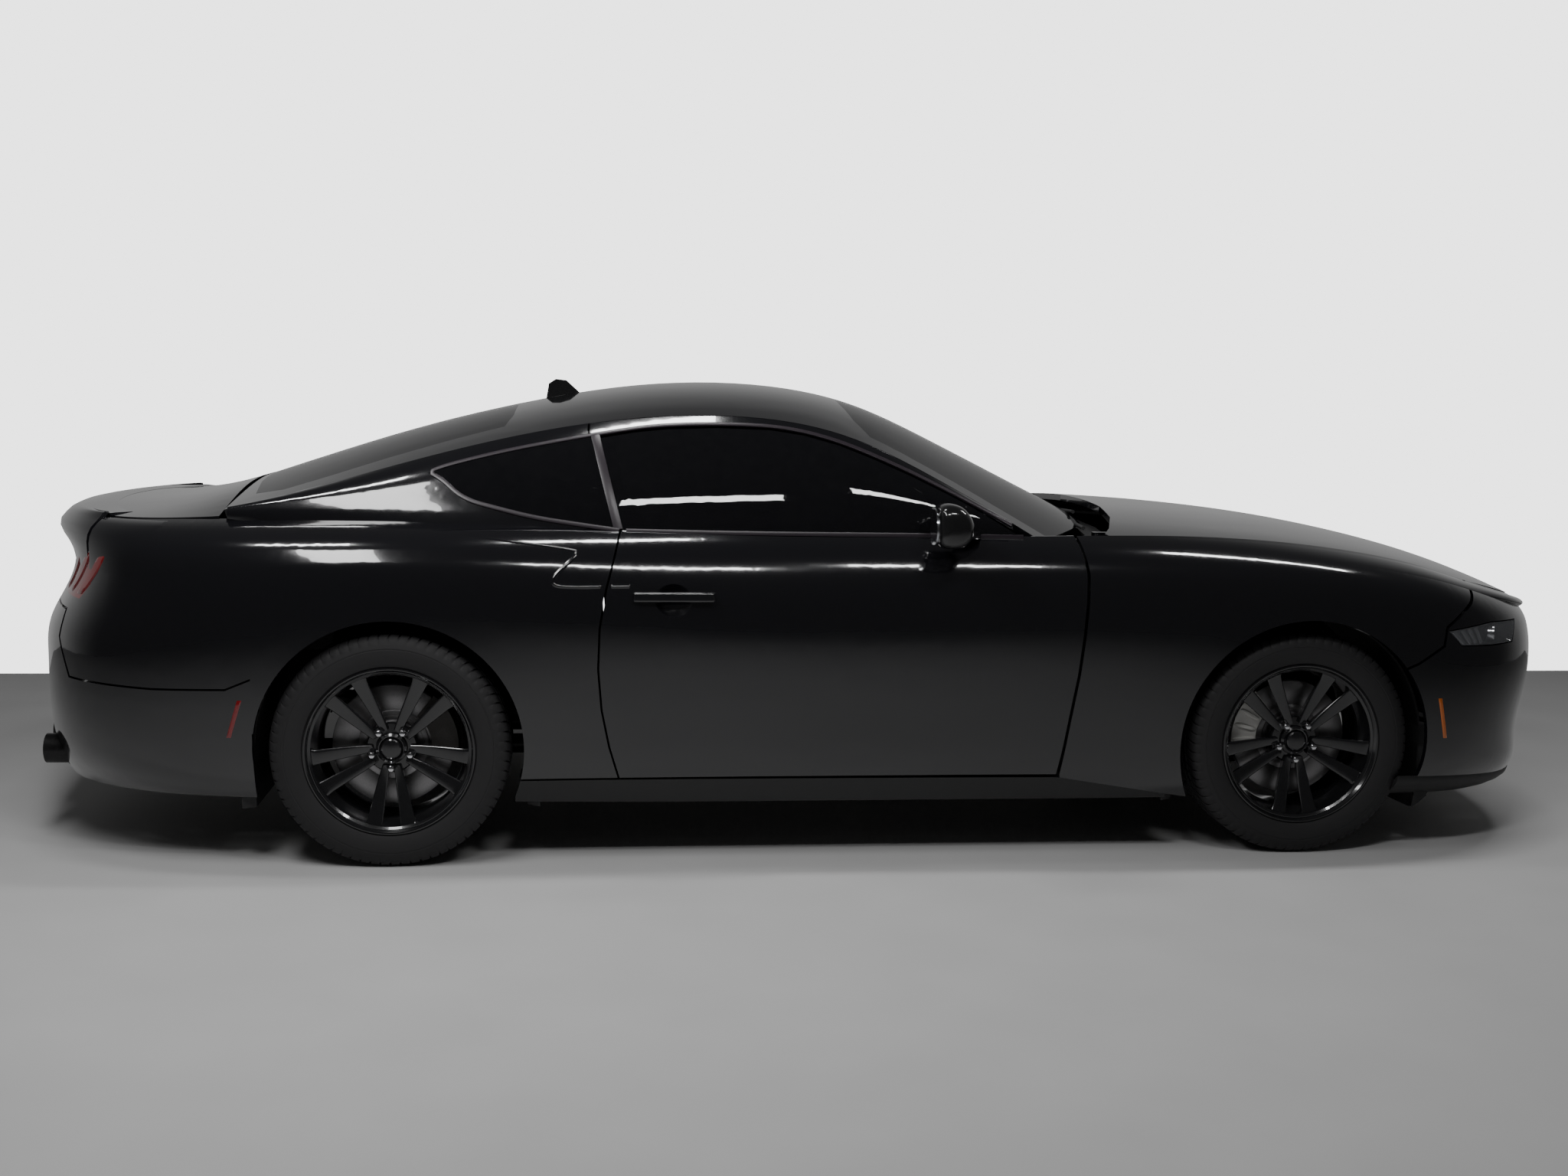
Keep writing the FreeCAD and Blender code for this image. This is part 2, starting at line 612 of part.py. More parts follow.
# Door glass, under the roof rail.
dlo = side_prism(DLO_SHARES)
door_dlo = side_prism([(x, z - size("glass_top_gap") / MODULE) for x, z in DLO_SHARES])
door_glass_face = widest_face(GLASS_FACE.common(door_dlo).common(side_prism(DOOR_GLASS_CUT_SHARES)))
door_glass = thicken(door_glass_face, size("glass_depth"), INSIDE)
HANDLE_SHARES = ((-0.565, -0.330), (0.924, 0.938), (0.778, 0.806))
HANDLE_POST_SHARES = (
    ((-0.563, -0.528), (0.900, 0.936), (0.780, 0.804)),
    ((-0.367, -0.332), (0.900, 0.936), (0.780, 0.804)),
)
RECESS_CENTRE_SHARES = (-0.447, 0.978, 0.790)
handle = block(*HANDLE_SHARES)
handle = handle.makeFillet(size("handle_round"), handle.Edges)
handle = joined([handle] + [block(*spans) for spans in HANDLE_POST_SHARES])
recess = Part.makeSphere(size("recess_radius"), point(RECESS_CENTRE_SHARES))
PILLAR_FOOT_SHARES = ((0.540, 0.740), (0.0, 0.785), (0.915, 1.100))
door_core = door_core.cut(block(*PILLAR_FOOT_SHARES))
door_shell = door_shell.cut(block(*PILLAR_FOOT_SHARES))
door = door_shell.fuse([door_core] + barrels).cut(recess).fuse(handle)
door = door.cut(door_glass)
pair("door", door)
pair("door_glass", door_glass)

# Door mirror on its foot.
MIRROR_SHARES = ((0.300, 0.480), (0.850, 1.040), (0.940, 1.066))
MIRROR_FOOT_SHARES = ((0.400, 0.470), (0.770, 0.900), (0.962, 0.992))
head = block(*MIRROR_SHARES)
head = head.makeFillet(size("mirror_round"), head.Edges)
mirror = joined([head, block(*MIRROR_FOOT_SHARES)]).cut(door_glass).cut(door)
pair("mirror", max(mirror.Solids, key=lambda solid: solid.Volume))

# Front fender, cut clear of the door's swing and of the bonnet seam.
door_front_gap = size("door_front_gap") / MODULE
fender_outline = [(x + door_front_gap, z) for x, z in FENDER_REAR_SHARES] + list(FENDER_FRONT_SHARES)
lamp = side_prism(LAMP_SHARES)
fender_face = widest_face(SIDE_FACE.common(side_prism(fender_outline)).cut(FRONT_ARCH))
DOOR_SWEEP_SHARES = (
    (0.025, 0.235), (0.025, 0.255), (0.041, 0.340), (0.057, 0.450), (0.075, 0.560), (0.088, 0.680),
    (0.091, 0.780), (0.089, 0.860), (0.081, 0.905),
)
sweep_corners = [Vector(axis_x + radius * MODULE, axis_y, z * MODULE) for radius, z in DOOR_SWEEP_SHARES]
sweep_foot = Vector(axis_x, axis_y, sweep_corners[0].z)
sweep_head = Vector(axis_x, axis_y, sweep_corners[-1].z)
sweep_face = Part.Face(Part.makePolygon([sweep_foot] + sweep_corners + [sweep_head, sweep_foot]))
door_sweep = sweep_face.revolve(sweep_foot, Vector(0, 0, 1), 360)
fender = thicken(fender_face, size("skin_depth"), INSIDE).cut(door_sweep)
HOOD_SEAM_SPAN_SHARES = (0.0, 0.42)
HOOD_SEAM_STEPS = 60
hood_edge = shoulder_outline(GAP, *HOOD_SEAM_SPAN_SHARES, HOOD_SEAM_STEPS)
hood_edge_shares = [(max(p.x, 0.0) / MODULE, p.y / MODULE) for p in hood_edge]
HOOD_REAR_SHARES = (
    (0.862, 0.790), (0.866, 0.755), (0.900, 0.680), (0.955, 0.500), (0.990, 0.250), (1.000, 0.0),
)
front_edge = [(x, y) for x, y in hood_edge_shares if x > HOOD_REAR_SHARES[0][0]]
front_edge[0] = (front_edge[0][0], 0.0)
hood_outline = front_edge + [(x, y) for x, y in HOOD_REAR_SHARES if y < front_edge[-1][1]]
SHOULDER_STEPS = 120
shoulder_edge = shoulder_outline(0.0, 0.0, 1.0, SHOULDER_STEPS)
shoulder_shares = [(p.x / MODULE, max(p.y, 0.0) / MODULE) for p in shoulder_edge]
shoulder_fill = plan_prism(shoulder_shares)
fender = fender.cut(shoulder_fill)
pair("front_fender", max(fender.Solids, key=lambda solid: solid.Volume))

# Bonnet with its hinge lugs.
hood_face = widest_face(HOOD_FACE.common(plan_prism(hood_outline)))
hood = both(thicken(hood_face, size("hood_depth"), INSIDE))
HOOD_LUG_SHARES = ((0.845, 0.905), (0.680, 0.700), (0.915, 0.965))
hood_lug = block(*HOOD_LUG_SHARES)
hood_axis = Vector(size("hood_axis_station"), 0, size("hood_axis_height"))
hood_bore_radius = pin_radius + size("hinge_pin_clearance")
hood_bore = Part.makeCylinder(hood_bore_radius, WIDE, hood_axis, Vector(0, 1, 0))
hood = hood.fuse(both(hood_lug)).cut(both(hood_bore))
node("hood", hood)

# Rear quarter with the sail panel behind the glass and the boot lid's hinge pin.
quarter_face_all = SIDE_FACE.common(side_prism(QUARTER_SHARES)).cut(REAR_ARCH)
TAIL_LAMP_INNER_SHARE = 0.43
tail_lamp = side_prism(TAIL_LAMP_SHARES, near_share=TAIL_LAMP_INNER_SHARE)
lid_gap = GAP / MODULE
lid_clear_shares = [(y + lid_gap if y > 0 else y, z - lid_gap) for y, z in LID_FACE_SHARES]
LID_REACH_SHARES = (-2.6, -2.05)
lid_clear = front_prism(lid_clear_shares, *LID_REACH_SHARES)
quarter_face = widest_face(quarter_face_all.cut(tail_lamp).cut(lid_clear))
quarter = thicken(quarter_face, size("skin_depth"), INSIDE)
SAIL_CUT_SHARES = ((-0.700, 0.880), (-0.700, 1.400), (-1.735, 1.400), (-1.735, 0.880))
sail_face = widest_face(GLASS_FACE.common(side_prism(SAIL_CUT_SHARES)).cut(dlo))
sail = thicken(sail_face, size("skin_depth"), INSIDE)
LID_EAR_SHARES = ((-1.618, -1.582), (0.654, 0.662), (0.990, 1.055))
lid_axis_x = size("lid_axis_station")
lid_axis_z = size("lid_axis_height")
neck_depth = size("lid_neck_depth")
lid_pin = rod(
    Vector(lid_axis_x, size("lid_hinge_offset") - neck_depth, lid_axis_z),
    Vector(lid_axis_x, LID_EAR_SHARES[1][1] * MODULE, lid_axis_z),
    pin_radius,
)
lid_ear = block(*LID_EAR_SHARES)
quarter = quarter.cut(lid_clear).fuse([sail, lid_pin, lid_ear])
quarter_glass_face = widest_face(GLASS_FACE.common(dlo).common(side_prism(QUARTER_GLASS_CUT_SHARES)))
quarter_glass = thicken(quarter_glass_face, size("glass_depth"), INSIDE).cut(quarter)
pair("quarter_panel", max(quarter.Solids, key=lambda solid: solid.Volume))

# Roof with its side rails, and the glass set into it front and rear.
windscreen_prism = plan_prism(WINDSCREEN_SHARES)
backlight_prism = plan_prism(BACKLIGHT_SHARES)
COWL_CUT_SHARES = (
    (0.745, 0.715), (0.720, 0.800), (0.720, 0.900), (1.200, 0.900), (1.200, -0.100), (0.928, -0.100),
    (0.928, 0.0), (0.918, 0.30), (0.880, 0.52), (0.800, 0.68),
)
DECK_CUT_SHARES = ((-1.750, -0.1), (-1.750, 0.9), (-2.2, 0.9), (-2.2, -0.1))
roof_face = ROOF_FACE.cut(windscreen_prism).cut(backlight_prism).cut(plan_prism(COWL_CUT_SHARES))
roof_face = widest_face(roof_face.cut(plan_prism(DECK_CUT_SHARES)))
roof_half = thicken(roof_face, size("roof_depth"), INSIDE)
RAIL_CUT_SHARES = ((0.570, 0.880), (0.570, 1.400), (-0.6935, 1.400), (-0.6935, 0.880))
rail_face = widest_face(GLASS_FACE.common(side_prism(RAIL_CUT_SHARES)).cut(side_prism(DLO_SHARES)))
rail = thicken(rail_face, size("skin_depth"), INSIDE)
rail.translate(Vector(0, -size("rail_step"), -size("rail_step")))
roof_half = roof_half.fuse(rail).cut(quarter).cut(RIGHT_HALF)
roof = both(max(roof_half.Solids, key=lambda solid: solid.Volume))
node("roof", max(roof.Solids, key=lambda solid: solid.Volume))
quarter_glass = max(quarter_glass.cut(roof).Solids, key=lambda solid: solid.Volume)
node("quarter_windows", Part.makeCompound([quarter_glass, mirrored(quarter_glass)]))
windscreen_face = widest_face(ROOF_FACE.common(windscreen_prism))
windscreen = both(thicken(windscreen_face, size("glass_depth"), INSIDE)).cut(roof)
node("windscreen", windscreen)
backlight_face = widest_face(ROOF_FACE.common(backlight_prism))
node("rear_window", both(thicken(backlight_face, size("glass_depth"), INSIDE)).cut(roof))

# Boot lid: raised lip, rear face and a swan neck to its hinge on each side.
LID_SEAM_SPAN_SHARES = (0.55, 1.0)
LID_SEAM_STEPS = 70
lid_edge = shoulder_outline(GAP, *LID_SEAM_SPAN_SHARES, LID_SEAM_STEPS)
LID_FRONT_SHARE = -1.765
lid_outline = [(p.x / MODULE, max(p.y, 0.0) / MODULE) for p in lid_edge if p.x / MODULE < LID_FRONT_SHARE]
lid_outline = [(LID_FRONT_SHARE, 0.0), (LID_FRONT_SHARE, lid_outline[0][1])] + lid_outline
lid_outline[-1] = (lid_outline[-1][0], 0.0)
lid_top_face = widest_face(DECK_FACE.common(plan_prism(lid_outline)))
lid_top = lid_top_face.extrude(Vector(0, 0, -size("lid_depth")))
lid_back_face = widest_face(SIDE_FACE.common(front_prism(LID_FACE_SHARES, *LID_REACH_SHARES)))
lid_back = thicken(lid_back_face, size("hood_depth"), INSIDE)
neck_near = size("lid_hinge_offset") - neck_depth / 2.0
neck_far = neck_near + neck_depth
neck_inner = size("lid_neck_radius") - neck_depth / 2.0
neck_outer = neck_inner + neck_depth
neck_span = size("lid_neck_span")
neck_middle = size("lid_neck_start") + neck_span / 2.0
neck = sector(neck_inner, neck_outer, neck_near, neck_far, neck_middle, neck_span, lid_axis_x, lid_axis_z)
leg = Part.makeBox(neck_outer, neck_depth, neck_depth, Vector(0, 0, -neck_depth))
leg.rotate(Vector(0, 0, 0), Vector(0, 1, 0), -(size("lid_neck_start") + neck_span))
leg.translate(Vector(lid_axis_x, neck_near, lid_axis_z))
lid_axis_line = (Vector(lid_axis_x, neck_near, lid_axis_z), Vector(lid_axis_x, neck_far, lid_axis_z))
eye = rod(lid_axis_line[0], lid_axis_line[1], barrel_radius)
neck = joined([neck, leg, eye])
neck = neck.cut(rod(lid_axis_line[0], lid_axis_line[1], pin_radius + size("hinge_pin_clearance")))
lid_half = joined([lid_top, lid_back, neck]).cut(RIGHT_HALF)
lid = both(lid_half)
node("trunk_lid", lid)

# Nose: bumper skin round the lamps and both openings, with the grilles and the beam set behind.
UPPER_GRILLE_SHARES = (
    (0.0, 0.696), (0.560, 0.698), (0.628, 0.690), (0.612, 0.652), (0.500, 0.600), (0.455, 0.485),
    (0.0, 0.480),
)
LOWER_GRILLE_SHARES = ((0.0, 0.345), (0.560, 0.345), (0.640, 0.290), (0.600, 0.225), (0.0, 0.225))
NOSE_REACH_SHARES = (1.9, 2.6)
upper_grille = front_prism(UPPER_GRILLE_SHARES, *NOSE_REACH_SHARES)
lower_grille = front_prism(LOWER_GRILLE_SHARES, *NOSE_REACH_SHARES)
nose_face = SIDE_FACE.common(side_prism(BUMPER_SEAM_SHARES)).cut(FRONT_ARCH)
nose_face = widest_face(nose_face.cut(lamp).cut(upper_grille).cut(lower_grille))
bumper = thicken(nose_face, size("bumper_depth"), INSIDE)
HOOD_CLEAR_CORNER_SHARES = (0.8, 0.0)
hood_clear_shares = [(x, y) for x, y in hood_edge_shares if x > HOOD_REAR_SHARES[0][0]]
hood_clear = plan_prism(hood_clear_shares + [HOOD_CLEAR_CORNER_SHARES])
node("front_bumper", both(bumper.cut(hood_clear)))
lamp_face = widest_face(SIDE_FACE.common(lamp))
headlamp = thicken(lamp_face, size("lamp_depth"), INSIDE).cut(bumper).cut(fender)
headlamp = max(headlamp.Solids, key=lambda solid: solid.Volume)
node("headlamps", Part.makeCompound([headlamp, mirrored(headlamp)]))
GRILLE_MARGIN_SHARES = (1.03, 0.012)
grille_set_back = Vector(-size("grille_set_back"), 0, 0)
grille_halves = []
for outline in (UPPER_GRILLE_SHARES, LOWER_GRILLE_SHARES):
    middle = (max(z for y, z in outline) + min(z for y, z in outline)) / 2.0
    lap = GRILLE_MARGIN_SHARES[1]
    wider = [(y * GRILLE_MARGIN_SHARES[0], z + (lap if z > middle else -lap)) for y, z in outline]
    wider_prism = front_prism(wider, *NOSE_REACH_SHARES)
    plate = thicken(widest_face(SIDE_FACE.common(wider_prism)), size("skin_depth"), INSIDE)
    plate.translate(grille_set_back)
    plate = plate.cut(bumper).cut(RIGHT_HALF)
    grille_halves.append(both(max(plate.Solids, key=lambda solid: solid.Volume)))
BEAM_SHARES = ((0.0, 0.365), (0.500, 0.365), (0.500, 0.455), (0.0, 0.455))
beam_face = widest_face(SIDE_FACE.common(front_prism(BEAM_SHARES, *NOSE_REACH_SHARES)))
beam = beam_face.extrude(Vector(-size("beam_depth"), 0, 0)).cut(bumper).cut(RIGHT_HALF)
beam = max(beam.Solids, key=lambda solid: solid.Volume)
node("upper_grille", grille_halves[0])
node("lower_grille", grille_halves[1])

# Tail: bumper skin with the plate holes, the exhaust openings and the lamps above.
PLATE_HEIGHT_SHARE = 0.600
PLATE_REACH_SHARES = (-2.500, -2.300)
plate_y = size("plate_bolt_spacing") / 2.0
plate_hole = rod(
    Vector(PLATE_REACH_SHARES[0] * MODULE, plate_y, PLATE_HEIGHT_SHARE * MODULE),
    Vector(PLATE_REACH_SHARES[1] * MODULE, plate_y, PLATE_HEIGHT_SHARE * MODULE),
    size("plate_bolt_radius"),
)
TIP_ROUTE_SHARES = ((-2.150, 0.520, 0.268), (-2.335, 0.520, 0.268))
tip_ends = [point(shares) for shares in TIP_ROUTE_SHARES]
tip_hole = rod(tip_ends[0], tip_ends[1] + tip_ends[1] - tip_ends[0], size("exhaust_tip_radius") + GAP)
tail_face = widest_face(SIDE_FACE.common(side_prism(TAIL_SEAM_SHARES)).cut(REAR_ARCH))
rear_skin = thicken(tail_face, size("bumper_depth"), INSIDE).cut(plate_hole).cut(tip_hole).cut(RIGHT_HALF)
node("rear_bumper", both(rear_skin))
tail_lamp_face = widest_face(SIDE_FACE.common(tail_lamp))
tail_lamp_solid = thicken(tail_lamp_face, size("lamp_depth"), INSIDE).cut(quarter).cut(lid_clear)
tail_lamp_solid = max(tail_lamp_solid.Solids, key=lambda solid: solid.Volume)
node("tail_lamps", Part.makeCompound([tail_lamp_solid, mirrored(tail_lamp_solid)]))
# Rocker panels between the wheel openings.
skirt_face = widest_face(SIDE_FACE.common(side_prism(SKIRT_SHARES)).cut(FRONT_ARCH).cut(REAR_ARCH))
skirt = skirt_face.extrude(Vector(0, -size("skirt_depth"), 0)).cut(fender).cut(quarter)
skirt = max(skirt.Solids, key=lambda solid: solid.Volume)
node("side_skirts", Part.makeCompound([skirt, mirrored(skirt)]))


# Wheels and tyres, drawn about their own axle line, outboard along +Y.
def origin_plane(body, role):
    for item in body.Origin.OriginFeatures:
        if item.Role == role:
            return item
    raise RuntimeError("no plane " + role)


def attached_sketch(body, role, label, lift_expression=None):
    sketch = body.newObject("Sketcher::SketchObject", label)
    sketch.AttachmentSupport = [(origin_plane(body, role), "")]
    sketch.MapMode = "FlatFace"
    if lift_expression is not None:
        sketch.setExpression("AttachmentOffset.Base.z", lift_expression)
    document.recompute()
    return sketch


# Corners are pairs of expressions, so every constraint reads the sheet.
def polygon_sketch(sketch, corners):
    points = [
        Vector(float(sketch.evalExpression(across)), float(sketch.evalExpression(up)), 0)
        for across, up in corners
    ]
    first = sketch.GeometryCount
    for index in range(len(points)):
        sketch.addGeometry(Part.LineSegment(points[index], points[(index + 1) % len(points)]))
    for index in range(len(points)):
        following = first + (index + 1) % len(points)
        sketch.addConstraint(Sketcher.Constraint("Coincident", first + index, 2, following, 1))
    for index, (across, up) in enumerate(corners):
        spot = points[index]
        for kind, expression, value in (("DistanceX", across, spot.x), ("DistanceY", up, spot.y)):
            number = sketch.addConstraint(Sketcher.Constraint(kind, -1, 1, first + index, 1, value))
            sketch.setExpression("Constraints[%d]" % number, expression)
    return sketch


def circle_sketch(sketch, across, up, radius):
    centre = Vector(float(sketch.evalExpression(across)), float(sketch.evalExpression(up)), 0)
    value = float(sketch.evalExpression(radius))
    number = sketch.addGeometry(Part.Circle(centre, Vector(0, 0, 1), value))
    for kind, expression, amount in (("DistanceX", across, centre.x), ("DistanceY", up, centre.y)):
        constraint = sketch.addConstraint(Sketcher.Constraint(kind, -1, 1, number, 3, amount))
        sketch.setExpression("Constraints[%d]" % constraint, expression)
    constraint = sketch.addConstraint(Sketcher.Constraint("Radius", number, value))
    sketch.setExpression("Constraints[%d]" % constraint, radius)
    return sketch


def revolved(body, label, corners):
    sketch = polygon_sketch(attached_sketch(body, "XY_Plane", label + "_profile"), corners)
    turn = body.newObject("PartDesign::Revolution", label)
    turn.Profile = sketch
    turn.ReferenceAxis = (sketch, ["V_Axis"])
    turn.Angle = 360.0
    document.recompute()
    return turn


def padded_sketch(body, label, sketch, length_expression):
    pad = body.newObject("PartDesign::Pad", label)
    pad.Profile = sketch
    pad.setExpression("Length", length_expression)
    document.recompute()
    return pad


def ring_of(body, label, feature, count):
    pattern = body.newObject("PartDesign::PolarPattern", label)
    pattern.Originals = [feature]
    pattern.Axis = (origin_plane(body, "Y_Axis"), [""])
    pattern.Angle = 360.0
    pattern.Occurrences = count
    body.Tip = pattern
    document.recompute()
    return pattern


# Five pairs of bars that spread from the hub to the barrel, on a rim with a dropped centre.
SPOKE_COUNT = 5
LUG_SIDES = 6
SPOKE_BAR_CORNERS = (
    ("sizes.spoke_slot_root / 2", "-sizes.spoke_start_radius"),
    ("sizes.spoke_slot_root / 2 + sizes.spoke_bar_root", "-sizes.spoke_start_radius"),
    ("sizes.spoke_slot_tip / 2 + sizes.spoke_bar_tip", "-sizes.spoke_end_radius"),
    ("sizes.spoke_slot_tip / 2", "-sizes.spoke_end_radius"),
)
RIM_CORNERS = (
    ("sizes.rim_flange_radius", "sizes.rim_half_width"),
    ("sizes.rim_flange_radius", "sizes.rim_half_width - sizes.rim_wall"),
    ("sizes.bead_radius", "sizes.rim_half_width - sizes.rim_wall"),
    ("sizes.bead_radius", "-sizes.rim_half_width + sizes.rim_wall"),
    ("sizes.rim_flange_radius", "-sizes.rim_half_width + sizes.rim_wall"),
    ("sizes.rim_flange_radius", "-sizes.rim_half_width"),
    ("sizes.bead_radius - sizes.rim_wall", "-sizes.rim_half_width"),
    ("sizes.rim_barrel_radius", "-sizes.rim_half_width + sizes.rim_bead_land"),
    ("sizes.rim_barrel_radius", "sizes.rim_half_width - sizes.rim_bead_land"),
    ("sizes.bead_radius - sizes.rim_wall / 3", "sizes.rim_half_width"),
)
TYRE_SIDE_SIZES = (
    ("sidewall_bulge_radius", "tyre_half_width"),
    ("tread_shoulder_radius", "tread_shoulder_reach"),
    ("tyre_radius", "tread_half_width"),
)


def lug_corners():
    corners = []
    for index in range(LUG_SIDES):
        turn = "%d deg" % (360 // LUG_SIDES * index)
        across = "sizes.lug_across_corners / 2 * cos(%s)" % turn
        up = "-sizes.lug_circle_radius + sizes.lug_across_corners / 2 * sin(%s)" % turn
        corners.append((across, up))
    return corners


# A wheel with its hub pad, cap, wheel nuts, brake disc, disc hat and axle stub.
def wheel_body(label, place):
    body = document.addObject("PartDesign::Body", label)
    body.Label = label
    revolved(body, label + "_rim", RIM_CORNERS)
    hub = attached_sketch(body, "XZ_Plane", label + "_hub_plan", "-(sizes.spoke_face - sizes.hub_recess)")
    circle_sketch(hub, "0", "0", "sizes.hub_pad_radius")
    padded_sketch(body, label + "_hub", hub, "sizes.spoke_face - sizes.hub_recess - sizes.hub_pad_back")
    bars = attached_sketch(body, "XZ_Plane", label + "_spoke_plan", "-sizes.spoke_face")
    polygon_sketch(bars, SPOKE_BAR_CORNERS)
    polygon_sketch(bars, [("-(" + across + ")", up) for across, up in SPOKE_BAR_CORNERS])
    spoke = padded_sketch(body, label + "_spoke", bars, "sizes.spoke_face - sizes.spoke_root")
    ring_of(body, label + "_spokes", spoke, SPOKE_COUNT)
    cap_lift = "-(sizes.spoke_face - sizes.hub_recess + sizes.cap_proud)"
    cap = attached_sketch(body, "XZ_Plane", label + "_cap_plan", cap_lift)
    circle_sketch(cap, "0", "0", "sizes.cap_radius")
    padded_sketch(body, label + "_cap", cap, "sizes.cap_proud * 2")
    nut_lift = "-(sizes.spoke_face - sizes.hub_recess + sizes.lug_length / 2)"
    nut = attached_sketch(body, "XZ_Plane", label + "_lug_plan", nut_lift)
    polygon_sketch(nut, lug_corners())
    lug = padded_sketch(body, label + "_lug", nut, "sizes.lug_length")
    ring_of(body, label + "_lugs", lug, SPOKE_COUNT)
    disc = attached_sketch(body, "XZ_Plane", label + "_disc_plan", "-(sizes.disc_depth - sizes.disc_inboard)")
    circle_sketch(disc, "0", "0", "sizes.disc_radius")
    padded_sketch(body, label + "_disc", disc, "sizes.disc_depth")
    hat = attached_sketch(body, "XZ_Plane", label + "_hat_plan", "-(sizes.hub_pad_back + sizes.hat_lap)")
    circle_sketch(hat, "0", "0", "sizes.hat_radius")
    hat_length = "sizes.hub_pad_back + sizes.disc_inboard - sizes.disc_depth / 2"
    padded_sketch(body, label + "_hat", hat, hat_length)
    stub_lift = "sizes.disc_inboard - sizes.disc_depth / 2"
    stub = attached_sketch(body, "XZ_Plane", label + "_stub_plan", stub_lift)
    circle_sketch(stub, "0", "0", "sizes.axle_stub_radius")
    stub_length = "sizes.disc_depth / 2 + sizes.knuckle_gap + sizes.knuckle_depth / 2"
    padded_sketch(body, label + "_stub", stub, stub_length)
    body.Placement = place
    document.recompute()
    NODES.append(body)
    return body


# Flats stand on the radius, so a band never cuts into the rim inside it.
def tyre_ring(radius, reach):
    sides = int(size("tyre_sides"))
    corner_radius = radius / math.cos(math.pi / sides)
    corners = []
    for index in range(sides):
        turn = math.pi * (2.0 * index + 1.0) / sides
        corners.append(Vector(corner_radius * math.sin(turn), reach, -corner_radius * math.cos(turn)))
    return corners + [corners[0]]


# Tyres: a closed ring of flat-sided bands around the rim.
def tyre(label, place):
    seat_reach = size("rim_half_width") - size("rim_wall")
    wall_start = size("rim_flange_radius") + size("rim_wall") / 3.0
    half = [(size("bead_radius"), seat_reach), (wall_start, seat_reach)]
    half += [(size(radius), size(reach)) for radius, reach in TYRE_SIDE_SIZES]
    section = [(radius, -reach) for radius, reach in half]
    section += [(radius, reach) for radius, reach in reversed(half)]
    rings = [tyre_ring(radius, reach) for radius, reach in section]
    bands = []
    for ring, following in zip(rings, rings[1:] + rings[:1]):
        for index in range(len(ring) - 1):
            corners = [ring[index], ring[index + 1], following[index + 1], following[index], ring[index]]
            bands.append(Part.Face(Part.makePolygon(corners)))
    shell = Part.Shell(bands)
    shell.sewShape()
    drum = Part.Solid(Part.Shell(shell.Faces))
    if drum.Volume < 0:
        drum.reverse()
    drum.Placement = place
    node(label, drum)


OUTWARD_LEFT = Rotation(0, 0, 0)
OUTWARD_RIGHT = Rotation(180, 0, 0)
AXLES = (("front", FRONT_AXLE, size("front_track") / 2.0), ("rear", REAR_AXLE, size("rear_track") / 2.0))
for end, station, reach in AXLES:
    for hand, sign, turned in (("left", 1.0, OUTWARD_LEFT), ("right", -1.0, OUTWARD_RIGHT)):
        place = Placement(Vector(station, sign * reach, HUB), turned)
        wheel_body("wheel_%s_%s" % (end, hand), place)
        tyre("tyre_%s_%s" % (end, hand), place)


def wheel_rod(station, near, far, radius):
    return rod(Vector(station, near, HUB), Vector(station, far, HUB), radius)


# A saddle over the disc's edge on a bracket from the carrier.
def caliper(station, reach, middle_angle, carrier_radius):
    near = reach - size("disc_inboard") - size("knuckle_gap") - size("caliper_wall")
    far = reach + size("disc_depth") - size("disc_inboard") + size("knuckle_gap") + size("caliper_wall")
    span = size("caliper_span_angle")
    outer = size("disc_radius") + size("knuckle_gap") + size("caliper_wall") / 2.0
    shell = sector(size("caliper_inner_radius"), outer, near, far, middle_angle, span, station, HUB)
    slot_near = near + size("caliper_wall")
    slot_radius = size("disc_radius") + size("knuckle_gap")
    slot = wheel_rod(station, slot_near, far - size("caliper_wall"), slot_radius)
    bracket_inner = carrier_radius / 2.0
    bracket_outer = size("caliper_bracket_radius")
    bracket_span = span / 2.0
    bracket = sector(bracket_inner, bracket_outer, near, slot_near, middle_angle, bracket_span, station, HUB)
    return shell.cut(slot).fuse(bracket)


FRONT_REACH = size("front_track") / 2.0
REAR_REACH = size("rear_track") / 2.0
stub_bore = size("axle_stub_radius") + size("stub_clearance")
carrier_near = FRONT_REACH - size("disc_inboard") - size("knuckle_gap") - size("knuckle_depth")
carrier_far = carrier_near + size("knuckle_depth")
steer_y = (carrier_near + carrier_far) / 2.0
post_radius = size("kingpin_radius")
post_half = size("kingpin_half")
carrier = wheel_rod(FRONT_AXLE, carrier_near, carrier_far, size("knuckle_radius"))
post_ends = [Vector(FRONT_AXLE, steer_y, HUB + end) for end in (-post_half, post_half)]
post = rod(post_ends[0], post_ends[1], post_radius)
FRONT_CALIPER_ANGLE = size("front_caliper_angle")
front_caliper = caliper(FRONT_AXLE, FRONT_REACH, FRONT_CALIPER_ANGLE, size("knuckle_radius"))
carrier_bore = wheel_rod(FRONT_AXLE, carrier_near - GAP, carrier_far + GAP, stub_bore)
knuckle = joined([carrier, post, front_caliper]).cut(carrier_bore)
pair("knuckle", max(knuckle.Solids, key=lambda solid: solid.Volume))

